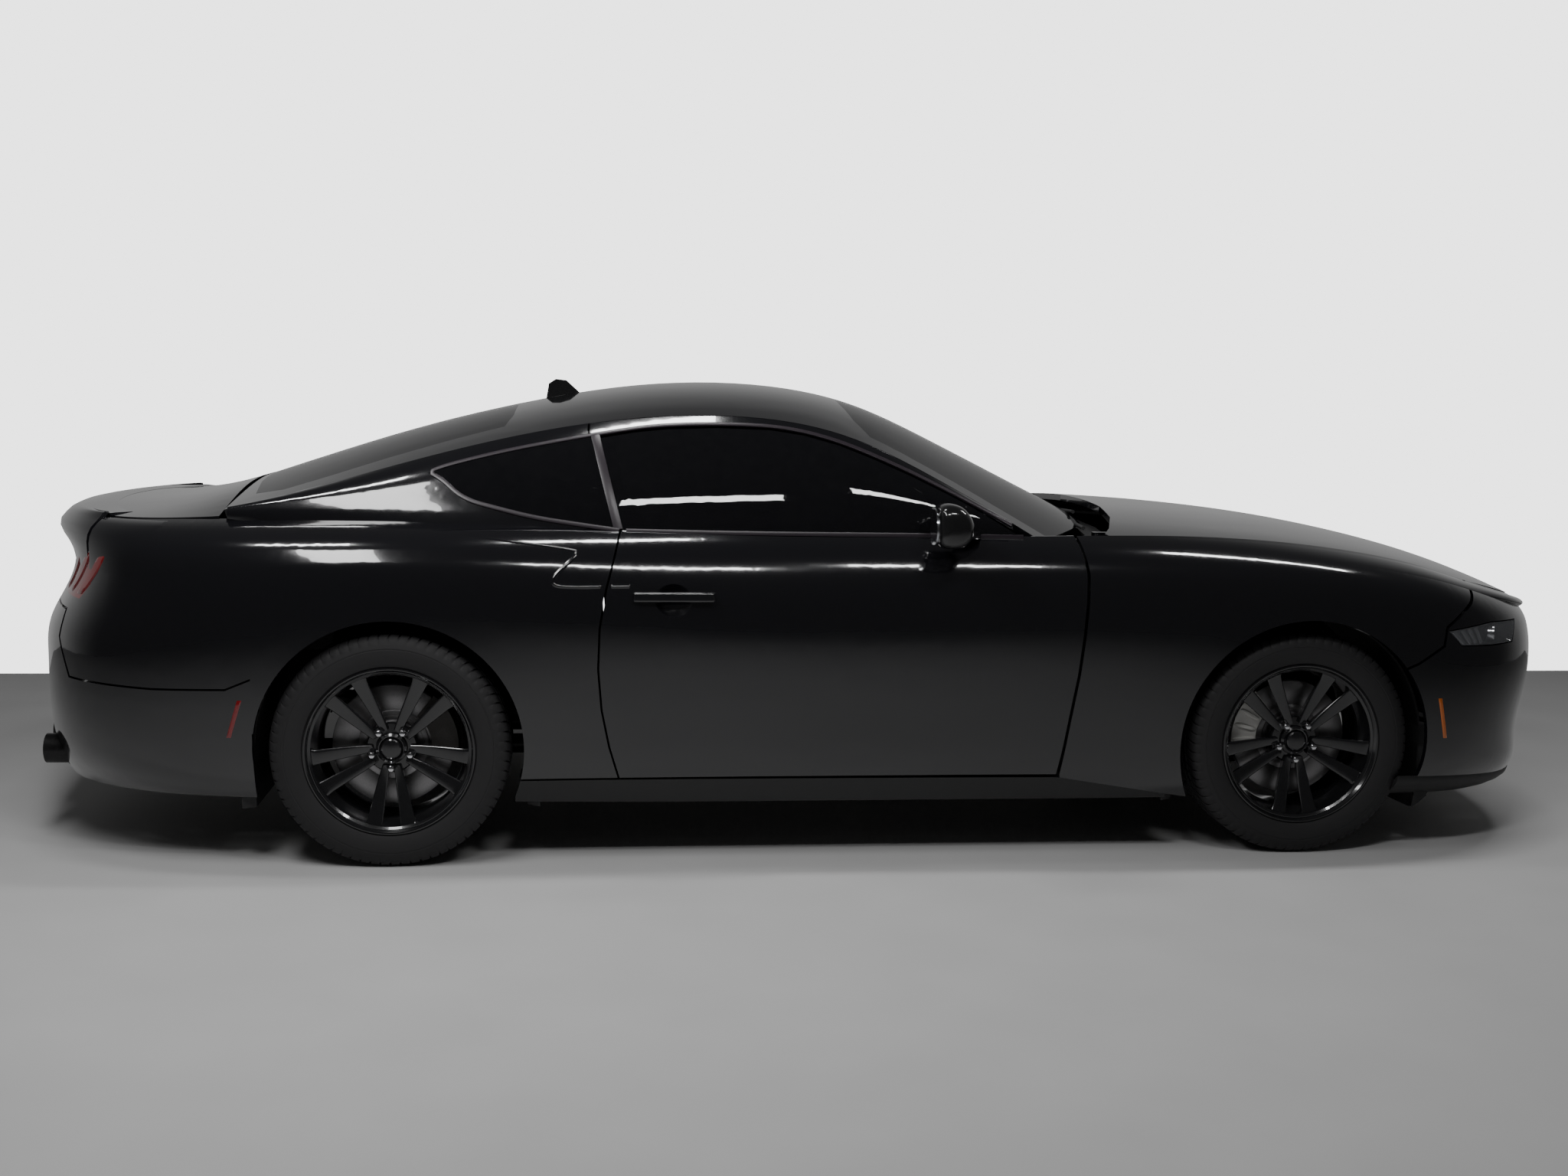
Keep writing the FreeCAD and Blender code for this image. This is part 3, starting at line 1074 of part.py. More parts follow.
# Front suspension, crossmember and strut towers on each side of the engine bay.
ball_clear = size("ball_clearance")
cup_radius = post_radius + size("ball_cup_wall")
low_cup = rod(
    Vector(FRONT_AXLE, steer_y, HUB - post_half - cup_radius),
    Vector(FRONT_AXLE, steer_y, HUB - post_half + cup_radius),
    cup_radius,
)
high_cup = rod(
    Vector(FRONT_AXLE, steer_y, HUB + post_half - cup_radius),
    Vector(FRONT_AXLE, steer_y, HUB + post_half + cup_radius),
    cup_radius,
)
post_space = rod(
    Vector(FRONT_AXLE, steer_y, HUB - post_half - ball_clear),
    Vector(FRONT_AXLE, steer_y, HUB + post_half + ball_clear),
    post_radius + ball_clear,
)
ARM_INNER_SHARES = ((1.360, 0.400, 0.215), (1.500, 0.400, 0.215))
arm_end = Vector(FRONT_AXLE, steer_y, HUB - post_half - cup_radius / 2.0)
arms = [rod(point(start), arm_end, size("arm_radius")) for start in ARM_INNER_SHARES]
front_axle_foot = Vector(FRONT_AXLE, 0, 0)
STRUT_FOOT_SHARES = (0.0, 0.585, 0.440)
STRUT_TOP_SHARES = (-0.0305, 0.560, 0.870)
strut_foot = front_axle_foot + point(STRUT_FOOT_SHARES)
strut = rod(strut_foot, front_axle_foot + point(STRUT_TOP_SHARES), size("strut_radius"))
link_foot = strut_foot + Vector(0, 0, size("arm_radius"))
link = rod(link_foot, Vector(FRONT_AXLE, steer_y, HUB + post_half + cup_radius / 2.0), size("arm_radius"))
CROSSMEMBER_SHARES = ((1.330, 1.530), (-0.400, 0.400), (0.185, 0.245))
FRAME_RAIL_SHARES = (
    ((0.845, 2.225), (0.400, 0.480), (0.360, 0.440)),
    ((1.330, 1.530), (0.400, 0.460), (0.185, 0.360)),
    ((1.370, 1.490), (0.500, 0.620), (0.870, 0.886)),
    ((1.370, 1.490), (0.460, 0.500), (0.440, 0.886)),
)
frame_rails = [block(*spans) for spans in FRAME_RAIL_SHARES]
frame_side = joined([low_cup, high_cup] + arms + [strut, link] + frame_rails)
frame_side = frame_side.cut(post_space).cut(knuckle)
frame_side = max(frame_side.Solids, key=lambda solid: solid.Volume)
front_frame = both(frame_side).fuse([block(*CROSSMEMBER_SHARES), both(beam)])
node("front_subframe", front_frame)

# Engine as one block, and the radiator.
ENGINE_SHARES = ((0.980, 1.680), (-0.320, 0.320), (0.245, 0.830))
node("engine_block", block(*ENGINE_SHARES))
RADIATOR_SHARES = ((2.120, 2.180), (-0.400, 0.400), (0.330, 0.740))
node("radiator", block(*RADIATOR_SHARES))

# Rear axle: hub carriers, calipers, half shafts, arms, dampers, differential and its cradle.
rear_near = REAR_REACH - size("disc_inboard") - size("knuckle_gap") - size("knuckle_depth")
rear_far = rear_near + size("knuckle_depth")
rear_carrier = wheel_rod(REAR_AXLE, rear_near, rear_far, size("knuckle_radius"))
rear_caliper = caliper(REAR_AXLE, REAR_REACH, size("rear_caliper_angle"), size("knuckle_radius"))
REAR_ARM_SHARES = (
    ((-1.160, 0.300, 0.215), 0.290),
    ((-1.420, 0.300, 0.215), 0.290),
    ((-1.330, 0.320, 0.420), 0.400),
)
DAMPER_SHARES = ((-1.300, 0.602, 0.255), (-1.340, 0.578, 0.700))
HALF_SHAFT_START_SHARE = 0.060
arm_reach = rear_near + size("arm_radius") / 2.0
rear_arms = [
    rod(point(start), Vector(REAR_AXLE, arm_reach, level_share * MODULE), size("arm_radius"))
    for start, level_share in REAR_ARM_SHARES
]
half_shaft = wheel_rod(REAR_AXLE, HALF_SHAFT_START_SHARE * MODULE, arm_reach, size("arm_radius"))
damper = rod(point(DAMPER_SHARES[0]), point(DAMPER_SHARES[1]), size("arm_radius"))
rear_arms += [half_shaft, damper]
DIFFERENTIAL_SHARES = ((-1.380, -1.140), (-0.110, 0.110), (0.250, 0.430))
CRADLE_SHARES = (
    ((-1.470, -1.100), (0.260, 0.330), (0.200, 0.380)),
    ((-1.470, -1.400), (-0.330, 0.330), (0.320, 0.380)),
    ((-1.150, -1.100), (-0.330, 0.330), (0.320, 0.380)),
)
rear_side = joined([rear_carrier, rear_caliper] + rear_arms + [block(*spans) for spans in CRADLE_SHARES])
bore_near = rear_near + size("knuckle_depth") / 4.0
rear_side = rear_side.cut(wheel_rod(REAR_AXLE, bore_near, rear_far + GAP, stub_bore))
rear_side = max(rear_side.Solids, key=lambda solid: solid.Volume)
rear_axle = both(rear_side).fuse(block(*DIFFERENTIAL_SHARES))
node("rear_axle", rear_axle)

# Floor, sills, firewall, cowl, hinge pillars and shelves.
FLOOR_BLOCK_SHARES = (
    ((-0.780, 0.845), (-0.780, 0.780), (0.235, 0.255)),
    ((-0.895, 1.020), (0.740, 0.850), (0.190, 0.245)),
    ((-0.895, 1.020), (-0.850, -0.740), (0.190, 0.245)),
    ((-0.780, 0.845), (0.620, 0.770), (0.255, 0.330)),
    ((-0.780, 0.845), (-0.770, -0.620), (0.255, 0.330)),
    ((-0.900, 0.845), (-0.130, 0.130), (0.255, 0.400)),
    ((-0.800, -0.780), (-0.780, 0.780), (0.235, 0.400)),
    ((-1.020, -0.780), (-0.600, 0.600), (0.385, 0.400)),
    ((-1.035, -1.020), (-0.600, 0.600), (0.385, 0.900)),
    ((-2.280, -1.500), (-0.560, 0.560), (0.385, 0.400)),
    ((-1.500, -1.485), (-0.560, 0.560), (0.385, 0.560)),
    ((-1.500, -1.020), (-0.560, 0.560), (0.560, 0.575)),
    ((-2.280, -1.485), (0.545, 0.560), (0.400, 0.575)),
    ((-2.280, -1.485), (-0.560, -0.545), (0.400, 0.575)),
)
JACK_SHARES = ((0.840, 0.7775, 0.190), (-0.700, 0.7775, 0.190))
pad_half = size("jack_pad_half")
jack_pads = []
for shares in JACK_SHARES:
    corner = point(shares) - Vector(pad_half, pad_half, size("jack_pad_drop"))
    pad = Part.makeBox(pad_half * 2.0, pad_half * 2.0, size("jack_pad_drop"), corner)
    jack_pads += [pad, mirrored(pad)]
floor = joined([block(*spans) for spans in FLOOR_BLOCK_SHARES] + jack_pads)
floor = floor.cut(both(skirt)).cut(both(fender)).cut(both(quarter))
floor = max(floor.Solids, key=lambda solid: solid.Volume)
node("floor_pan", floor)
FIREWALL_BLOCK_SHARES = (
    ((0.825, 0.845), (-0.725, 0.725), (0.330, 0.905)),
    ((0.682, 0.825), (0.700, 0.818), (0.250, 0.800)),
    ((0.682, 0.825), (-0.818, -0.700), (0.250, 0.800)),
    ((0.800, 0.845), (-0.818, 0.818), (0.700, 0.905)),
    ((0.780, 0.830), (-0.735, 0.735), (0.905, 0.930)),
)
HOOD_EAR_SHARES = ((0.825, 0.865), (0.706, 0.714), (0.880, 0.935))
HOOD_PIN_SHARES = (0.666, 0.716)
hood_pin = rod(
    Vector(size("hood_axis_station"), HOOD_PIN_SHARES[0] * MODULE, size("hood_axis_height")),
    Vector(size("hood_axis_station"), HOOD_PIN_SHARES[1] * MODULE, size("hood_axis_height")),
    pin_radius,
)
side_parts = pins + [hood_pin, block(*HOOD_EAR_SHARES)]
side_parts += [mirrored(part) for part in side_parts]
firewall = joined([block(*spans) for spans in FIREWALL_BLOCK_SHARES] + side_parts)
firewall = firewall.cut(floor)
firewall = max(firewall.Solids, key=lambda solid: solid.Volume)
node("firewall", firewall)

COWL_BASE_SHARES = (
    (0.990, 0.0), (0.980, 0.250), (0.945, 0.480), (0.890, 0.650), (0.870, 0.670), (0.795, 0.670),
    (0.800, 0.640), (0.870, 0.520), (0.905, 0.300), (0.915, 0.0),
)
COWL_LEVEL_SHARES = (0.930, 0.938)
cowl = plan_prism(COWL_BASE_SHARES, *COWL_LEVEL_SHARES)
node("cowl_panel", both(cowl).cut(firewall))

# Wheel arch liners.
LINER_REACH_SHARES = (0.470, 0.930)
LINER_TRIM_SHARES = ((-FAR_SHARE, FAR_SHARE), (0.0, 0.865), (0.0, 0.900))
LINERS = (
    (FRONT_AXLE, size("front_liner_angle"), size("front_liner_span")),
    (REAR_AXLE, size("rear_liner_angle"), size("rear_liner_span")),
)
liner_radius = size("liner_radius")
liner_near, liner_far = [share * MODULE for share in LINER_REACH_SHARES]
liners = [
    sector(liner_radius, liner_radius + size("liner_wall"), liner_near, liner_far, middle, span, station, HUB)
    for station, middle, span in LINERS
]
liner_solids = []
for liner in liners:
    trimmed = liner.common(block(*LINER_TRIM_SHARES)).cut(joined([rear_side, frame_side, floor]))
    liner_solids.append(max(trimmed.Solids, key=lambda solid: solid.Volume))
node("wheel_liners", Part.makeCompound(liner_solids + [mirrored(liner) for liner in liner_solids]))

# Cabin: dashboard, console, seats, steering wheel, shelf.
DASH_OUTLINE_SHARES = (
    (0.420, 0.560), (0.360, 0.700), (0.330, 0.820), (0.400, 0.905), (0.620, 0.925), (0.780, 0.920),
    (0.800, 0.880), (0.800, 0.560),
)
DASH_HALF_SHARE = 0.690
dash = side_prism(DASH_OUTLINE_SHARES, -DASH_HALF_SHARE, DASH_HALF_SHARE).cut(firewall).cut(both(door_core))
node("dashboard", max(dash.Solids, key=lambda solid: solid.Volume))
CONSOLE_OUTLINE_SHARES = (
    (-0.450, 0.400), (-0.450, 0.580), (-0.100, 0.600), (0.150, 0.560), (0.345, 0.700), (0.420, 0.558),
    (0.420, 0.400),
)
CONSOLE_HALF_SHARE = 0.110
node("console", side_prism(CONSOLE_OUTLINE_SHARES, -CONSOLE_HALF_SHARE, CONSOLE_HALF_SHARE))
SEAT_OUTLINE_SHARES = (
    (0.080, 0.300), (0.100, 0.440), (0.060, 0.490), (-0.300, 0.440), (-0.390, 0.520), (-0.560, 0.960),
    (-0.575, 1.000), (-0.600, 1.170), (-0.680, 1.160), (-0.680, 1.000), (-0.640, 0.860),
    (-0.520, 0.440), (-0.470, 0.300),
)
SEAT_SPAN_SHARES = (0.150, 0.600)
SEAT_RAIL_SHARES = ((-0.380, 0.000), (0.220, 0.540), (0.255, 0.300))
seat = side_prism(SEAT_OUTLINE_SHARES, *SEAT_SPAN_SHARES).fuse(block(*SEAT_RAIL_SHARES))
node("front_seats", Part.makeCompound([seat, mirrored(seat)]))
REAR_SEAT_SHARES = (
    (-0.690, 0.420), (-0.700, 0.520), (-0.880, 0.500), (-1.000, 0.900), (-1.020, 0.900),
    (-1.020, 0.400), (-0.700, 0.400),
)
REAR_SEAT_HALF_SHARE = 0.460
node("rear_seat", side_prism(REAR_SEAT_SHARES, -REAR_SEAT_HALF_SHARE, REAR_SEAT_HALF_SHARE).cut(floor))
SHELF_SHARES = ((-1.560, -1.022), (-0.580, 0.580), (0.900, 0.920))
node("parcel_shelf", block(*SHELF_SHARES))
# Steering wheel: a hoop of eight flats round its section, a boss, three bars and the column.
HOOP_SIDES = 8
WHEEL_CENTRE_SHARES = (0.235, 0.370, 0.860)
steer_centre = point(WHEEL_CENTRE_SHARES)
hoop_radius = size("steering_wheel_radius")
grip_radius = size("steering_rim_radius")
hoop_corners = []
for index in range(HOOP_SIDES):
    turn = 2.0 * math.pi * index / HOOP_SIDES
    hoop_corners.append(Vector(hoop_radius + grip_radius * math.cos(turn), 0, grip_radius * math.sin(turn)))
hoop_section = Part.Face(Part.makePolygon(hoop_corners + [hoop_corners[0]]))
hoop = hoop_section.revolve(Vector(0, 0, 0), Vector(0, 0, 1), 360)
boss = Part.makeCylinder(hoop_radius / 3.0, grip_radius * 2.0, Vector(0, 0, -grip_radius))
bar_half = size("steering_bar_half")
bar_depth = bar_half * 2.0
bar_width = bar_half * 3.0
spokes = [
    Part.makeBox(hoop_radius * 2.0, bar_width, bar_depth, Vector(-hoop_radius, -bar_width / 2.0, -bar_half)),
    Part.makeBox(bar_width, hoop_radius, bar_depth, Vector(-bar_width / 2.0, -hoop_radius, -bar_half)),
]
column = Part.makeCylinder(size("column_radius"), size("column_length"), Vector(0, 0, 0))
steering = joined([hoop, boss, column] + spokes)
steering.rotate(Vector(0, 0, 0), Vector(0, 0, 1), -90.0)
steering.rotate(Vector(0, 0, 0), Vector(0, 1, 0), size("steering_tilt"))
steering.translate(steer_centre)
steering = steering.cut(dash)
node("steering_wheel", max(steering.Solids, key=lambda solid: solid.Volume))

# Exhaust, wipers, aerial.
PIPE_ROUTE_SHARES = (
    (0.700, 0.180, 0.198), (-1.000, 0.180, 0.198), (-1.650, 0.440, 0.240), (-1.900, 0.480, 0.270),
)
MUFFLER_SHARES = ((-2.160, -1.880), (0.330, 0.600), (0.190, 0.350))
pipe_points = [point(shares) for shares in PIPE_ROUTE_SHARES]
pipes = [rod(start, end, size("exhaust_pipe_radius")) for start, end in zip(pipe_points, pipe_points[1:])]
pipes += [Part.makeSphere(size("exhaust_pipe_radius"), middle) for middle in pipe_points[1:-1]]
tip = rod(tip_ends[0], tip_ends[1], size("exhaust_tip_radius"))
TIP_BORE_START_SHARE = -2.250
bore_start = Vector(TIP_BORE_START_SHARE * MODULE, tip_ends[0].y, tip_ends[0].z)
tip = tip.cut(rod(bore_start, tip_ends[1], size("exhaust_tip_radius") - size("tip_wall")))
muffler = block(*MUFFLER_SHARES)
muffler = muffler.makeFillet(size("muffler_round"), muffler.Edges)
HANGER_SHARES = (
    ((-2.060, -2.000), (0.440, 0.480), (0.340, 0.385)),
    ((0.500, 0.540), (0.160, 0.200), (0.222, 0.235)),
)
exhaust = joined(pipes + [tip, muffler] + [block(*spans) for spans in HANGER_SHARES])
exhaust = exhaust.cut(rear_side).cut(floor).cut(rear_skin)
exhaust = max(exhaust.Solids, key=lambda solid: solid.Volume)
node("exhaust", Part.makeCompound([exhaust, mirrored(exhaust)]))
FIN_SHARES = ((-0.848, 1.325), (-0.838, 1.385), (-0.815, 1.400), (-0.780, 1.396), (-0.713, 1.335))
FIN_HALF_SHARE = 0.014
fin = side_prism(FIN_SHARES, -FIN_HALF_SHARE, FIN_HALF_SHARE).cut(roof)
node("roof_antenna", max(fin.Solids, key=lambda solid: solid.Volume))
WIPER_LINE_SHARES = (
    ((0.945, 0.330, 0.955), (0.915, -0.200, 0.985)),
    ((0.905, -0.250, 0.952), (0.830, -0.640, 0.972)),
)
WIPER_FOOT_SHARES = (
    ((0.945, 0.330, 0.938), (0.945, 0.330, 0.966)),
    ((0.905, -0.250, 0.938), (0.905, -0.250, 0.963)),
)
wipers = []
for blade, pivot in zip(WIPER_LINE_SHARES, WIPER_FOOT_SHARES):
    arm = rod(point(blade[0]), point(blade[1]), size("wiper_radius"))
    foot = rod(point(pivot[0]), point(pivot[1]), size("wiper_radius") * 2.0)
    wiper = joined([arm, foot]).cut(windscreen)
    wipers.append(max(wiper.Solids, key=lambda solid: solid.Volume))
node("wipers", Part.makeCompound(wipers))

os.makedirs("parts", exist_ok=True)
document.recompute()
for feature in NODES:
    shape = feature.Shape
    if "Invalid" in feature.State or "Error" in feature.State or shape.isNull() or not shape.isValid():
        raise RuntimeError("bad shape: " + feature.Label)
    shape.exportStep("parts/" + feature.Label + ".step")
    print(feature.Label, len(shape.Solids), round(shape.Volume / 1e6, 2), shape.BoundBox)
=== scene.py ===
import logging
import math
from dataclasses import dataclass
from enum import Enum

import bmesh
import bpy
import numpy as np
from mathutils import Matrix


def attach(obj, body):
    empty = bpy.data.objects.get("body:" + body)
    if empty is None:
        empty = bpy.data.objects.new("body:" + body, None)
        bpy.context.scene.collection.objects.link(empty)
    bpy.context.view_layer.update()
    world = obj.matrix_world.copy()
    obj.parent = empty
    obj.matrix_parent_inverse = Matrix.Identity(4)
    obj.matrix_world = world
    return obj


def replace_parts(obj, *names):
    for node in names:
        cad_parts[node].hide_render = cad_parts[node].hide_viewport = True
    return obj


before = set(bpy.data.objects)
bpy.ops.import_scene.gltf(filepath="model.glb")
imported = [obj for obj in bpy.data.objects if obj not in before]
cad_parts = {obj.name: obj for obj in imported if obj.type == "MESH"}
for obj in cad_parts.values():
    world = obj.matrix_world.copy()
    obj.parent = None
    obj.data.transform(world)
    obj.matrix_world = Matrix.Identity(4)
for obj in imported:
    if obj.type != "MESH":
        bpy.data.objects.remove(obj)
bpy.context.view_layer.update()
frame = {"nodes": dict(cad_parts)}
LOG = logging.getLogger("coupe")


class Side(Enum):
    """The two sides of the car; the value is the sign of its Y."""

    LEFT = 1.0
    RIGHT = -1.0


class Axle(Enum):
    """The two axles; the value is the station along X and the hub's distance from the middle."""

    FRONT = (1.4605, 0.791)
    REAR = (-1.2595, 0.824)


# The height of the wheels' middles, and points well outside, behind and ahead of the left half.
HUB_HEIGHT = 0.343
OUTSIDE = (0.0, 4.0, 0.6)
BEHIND = (-4.0, 1.0, 0.8)
AHEAD = (4.0, 4.0, 0.6)

# The two axes in which a line drawn on the skin is given.
SIDE_VIEW = (0, 2)
END_VIEW = (1, 2)
TOP_VIEW = (0, 1)

# Control points of the side skin: eight rows from the sill up, each from the nose to the tail.
SIDE_X = (
    (2.3, 2.3, 2.253, 2.127, 1.97, 1.842, 1.46, 1.05, 0.6, 0.1, -0.4, -0.85, -1.26, -1.7, -1.965, -2.185,
     -2.3, -2.362, -2.366),
    (2.425, 2.425, 2.373, 2.247, 2.05, 1.872, 1.46, 1.05, 0.6, 0.1, -0.4, -0.85, -1.26, -1.7, -2.015,
     -2.235, -2.342, -2.396, -2.4),
    (2.36, 2.36, 2.318, 2.212, 2.055, 1.872, 1.46, 1.05, 0.6, 0.1, -0.4, -0.85, -1.26, -1.7, -2.035,
     -2.247, -2.355, -2.413, -2.415),
    (2.412, 2.412, 2.368, 2.252, 2.08, 1.872, 1.46, 1.05, 0.6, 0.1, -0.4, -0.85, -1.26, -1.7, -2.045,
     -2.247, -2.35, -2.403, -2.405),
    (2.41, 2.41, 2.368, 2.262, 2.09, 1.872, 1.46, 1.05, 0.6, 0.1, -0.4, -0.85, -1.26, -1.7, -2.045,
     -2.252, -2.355, -2.408, -2.41),
    (2.412, 2.412, 2.368, 2.252, 2.08, 1.862, 1.46, 1.05, 0.6, 0.1, -0.4, -0.85, -1.26, -1.7, -1.995,
     -2.152, -2.235, -2.288, -2.29),
    (2.405, 2.405, 2.358, 2.232, 2.05, 1.852, 1.46, 1.05, 0.6, 0.1, -0.4, -0.85, -1.26, -1.7, -1.995,
     -2.172, -2.26, -2.318, -2.325),
    (2.38, 2.38, 2.328, 2.192, 2.0, 1.832, 1.46, 1.05, 0.6, 0.1, -0.4, -0.85, -1.26, -1.68, -1.965,
     -2.142, -2.225, -2.282, -2.29),
)
SIDE_Y = (
    (0.0, 0.25, 0.5, 0.72, 0.82, 0.88, 0.89, 0.885, 0.88, 0.88, 0.88, 0.885, 0.905, 0.9, 0.83, 0.66, 0.45,
     0.22, 0.0),
    (0.0, 0.25, 0.52, 0.76, 0.87, 0.93, 0.935, 0.915, 0.905, 0.905, 0.905, 0.915, 0.945, 0.94, 0.87, 0.7,
     0.45, 0.22, 0.0),
    (0.0, 0.25, 0.52, 0.77, 0.885, 0.94, 0.955, 0.925, 0.905, 0.905, 0.905, 0.925, 0.96, 0.955, 0.885,
     0.72, 0.45, 0.22, 0.0),
    (0.0, 0.25, 0.52, 0.77, 0.885, 0.945, 0.96, 0.935, 0.915, 0.915, 0.915, 0.935, 0.965, 0.96, 0.89,
     0.72, 0.45, 0.22, 0.0),
    (0.0, 0.25, 0.52, 0.77, 0.88, 0.94, 0.96, 0.94, 0.925, 0.922, 0.925, 0.94, 0.965, 0.96, 0.885, 0.72,
     0.45, 0.22, 0.0),
    (0.0, 0.25, 0.52, 0.76, 0.865, 0.925, 0.945, 0.93, 0.915, 0.91, 0.912, 0.935, 0.962, 0.95, 0.865, 0.7,
     0.45, 0.22, 0.0),
    (0.0, 0.25, 0.52, 0.74, 0.835, 0.885, 0.9, 0.89, 0.875, 0.868, 0.865, 0.885, 0.92, 0.9, 0.83, 0.68,
     0.45, 0.22, 0.0),
    (0.0, 0.25, 0.5, 0.66, 0.72, 0.74, 0.76, 0.775, 0.8, 0.81, 0.81, 0.79, 0.77, 0.735, 0.7, 0.6, 0.42,
     0.22, 0.0),
)
SIDE_Z = (
    (0.15, 0.15, 0.152, 0.16, 0.175, 0.185, 0.185, 0.175, 0.175, 0.175, 0.175, 0.18, 0.195, 0.205, 0.205,
     0.2, 0.19, 0.186, 0.186),
    (0.185, 0.185, 0.19, 0.2, 0.215, 0.23, 0.245, 0.245, 0.245, 0.245, 0.245, 0.25, 0.265, 0.275, 0.275,
     0.27, 0.262, 0.26, 0.26),
    (0.33, 0.33, 0.33, 0.335, 0.345, 0.36, 0.38, 0.385, 0.39, 0.39, 0.39, 0.4, 0.41, 0.415, 0.42, 0.43,
     0.43, 0.43, 0.43),
    (0.47, 0.47, 0.47, 0.475, 0.49, 0.51, 0.53, 0.53, 0.53, 0.53, 0.53, 0.54, 0.55, 0.555, 0.56, 0.56,
     0.555, 0.55, 0.55),
    (0.58, 0.58, 0.58, 0.59, 0.615, 0.65, 0.69, 0.69, 0.68, 0.68, 0.69, 0.71, 0.71, 0.7, 0.68, 0.67,
     0.665, 0.66, 0.66),
    (0.65, 0.65, 0.655, 0.675, 0.72, 0.775, 0.83, 0.83, 0.82, 0.815, 0.82, 0.85, 0.86, 0.85, 0.83, 0.82,
     0.815, 0.81, 0.81),
    (0.705, 0.705, 0.71, 0.735, 0.79, 0.855, 0.915, 0.93, 0.925, 0.915, 0.92, 0.945, 0.96, 0.96, 0.955,
     0.945, 0.94, 0.94, 0.94),
    (0.735, 0.735, 0.745, 0.78, 0.835, 0.89, 0.948, 0.968, 0.96, 0.955, 0.96, 0.985, 0.998, 0.995, 0.985,
     0.98, 0.978, 0.978, 0.978),
)

# The boot lid's top: stations, distances from the middle, sweep of the outer stations, and heights.
DECK_X = (-1.7, -1.85, -2.02, -2.17, -2.27, -2.335, -2.345)
DECK_Y = (0.0, 0.2, 0.4, 0.6, 0.8)
DECK_SWEEP = 0.14
DECK_Z = (
    (1.095, 1.042, 1.01, 1.003, 1.001, 0.988, 0.955),
    (1.095, 1.042, 1.01, 1.003, 1.001, 0.988, 0.955),
    (1.075, 1.03, 1.001, 0.996, 0.996, 0.984, 0.95),
    (1.03, 1.008, 0.992, 0.988, 0.988, 0.975, 0.942),
    (0.985, 0.98, 0.978, 0.975, 0.975, 0.962, 0.93),
)

# The roof's edge and the belt line, between which the side windows lie.
RAIL = (
    (0.665, 0.775, 0.945), (0.5, 0.735, 1.045), (0.25, 0.675, 1.185), (0.05, 0.635, 1.268),
    (-0.2, 0.605, 1.31), (-0.55, 0.6, 1.303), (-0.9, 0.61, 1.245), (-1.25, 0.645, 1.155),
    (-1.55, 0.69, 1.065), (-1.8, 0.72, 1.005),
)
BELT = (
    (0.7, 0.8, 0.925), (0.52, 0.806, 0.938), (0.25, 0.806, 0.945), (0.05, 0.806, 0.945),
    (-0.2, 0.806, 0.945), (-0.55, 0.806, 0.953), (-0.9, 0.802, 0.963), (-1.25, 0.788, 0.97),
    (-1.55, 0.765, 0.972), (-1.85, 0.73, 0.97),
)

# For each row of the side windows: its share of the way up, and how far it bows out.
GLASS_ROW = ((0.0, 0.0), (0.33, 0.03), (0.7, 0.03), (1.0, 0.0))


@dataclass(frozen=True)
class Finish:
    """A procedural surface: two close tones mixed by noise in object space.

    Args:
        name: the material's name.
        dark: the darker tone, linear RGB.
        light: the lighter tone, linear RGB.
        rough: lowest and highest roughness over the surface.
        grain: noise scale, in cells a metre.
        metallic: share of metal.
        coat: weight of the clear coat.
        relief: height of the fine relief in metres, zero for none.
        alpha: opacity.
    """

    name: str
    dark: tuple
    light: tuple
    rough: tuple
    grain: float
    metallic: float = 0.0
    coat: float = 0.0
    relief: float = 0.0
    alpha: float = 1.0

    def material(self) -> bpy.types.Material:
        """Builds the material once and gives it back after that.

        Returns:
            The material with this finish's name.
        """
        known = bpy.data.materials.get(self.name)
        if known is not None:
            return known
        made = bpy.data.materials.new(self.name)
        made.use_nodes = True
        tree = made.node_tree
        shader = tree.nodes["Principled BSDF"]
        place = tree.nodes.new("ShaderNodeTexCoord")
        noise = tree.nodes.new("ShaderNodeTexNoise")
        noise.inputs["Scale"].default_value = self.grain
        noise.inputs["Detail"].default_value = 4.0
        tree.links.new(place.outputs["Object"], noise.inputs["Vector"])
        tones = tree.nodes.new("ShaderNodeMix")
        tones.data_type = "RGBA"
        tones.inputs["A"].default_value = (*self.dark, 1.0)
        tones.inputs["B"].default_value = (*self.light, 1.0)
        tree.links.new(noise.outputs["Fac"], tones.inputs["Factor"])
        tree.links.new(tones.outputs["Result"], shader.inputs["Base Color"])
        spread = tree.nodes.new("ShaderNodeMapRange")
        spread.inputs["To Min"].default_value = self.rough[0]
        spread.inputs["To Max"].default_value = self.rough[1]
        tree.links.new(noise.outputs["Fac"], spread.inputs["Value"])
        tree.links.new(spread.outputs["Result"], shader.inputs["Roughness"])
        for socket, value in (
            ("Metallic", self.metallic), ("Coat Weight", self.coat), ("Coat Roughness", 0.02),
            ("Alpha", self.alpha),
        ):
            shader.inputs[socket].default_value = value
        if self.relief > 0:
            bump = tree.nodes.new("ShaderNodeBump")
            bump.inputs["Distance"].default_value = self.relief
            tree.links.new(noise.outputs["Fac"], bump.inputs["Height"])
            tree.links.new(bump.outputs["Normal"], shader.inputs["Normal"])
        return made


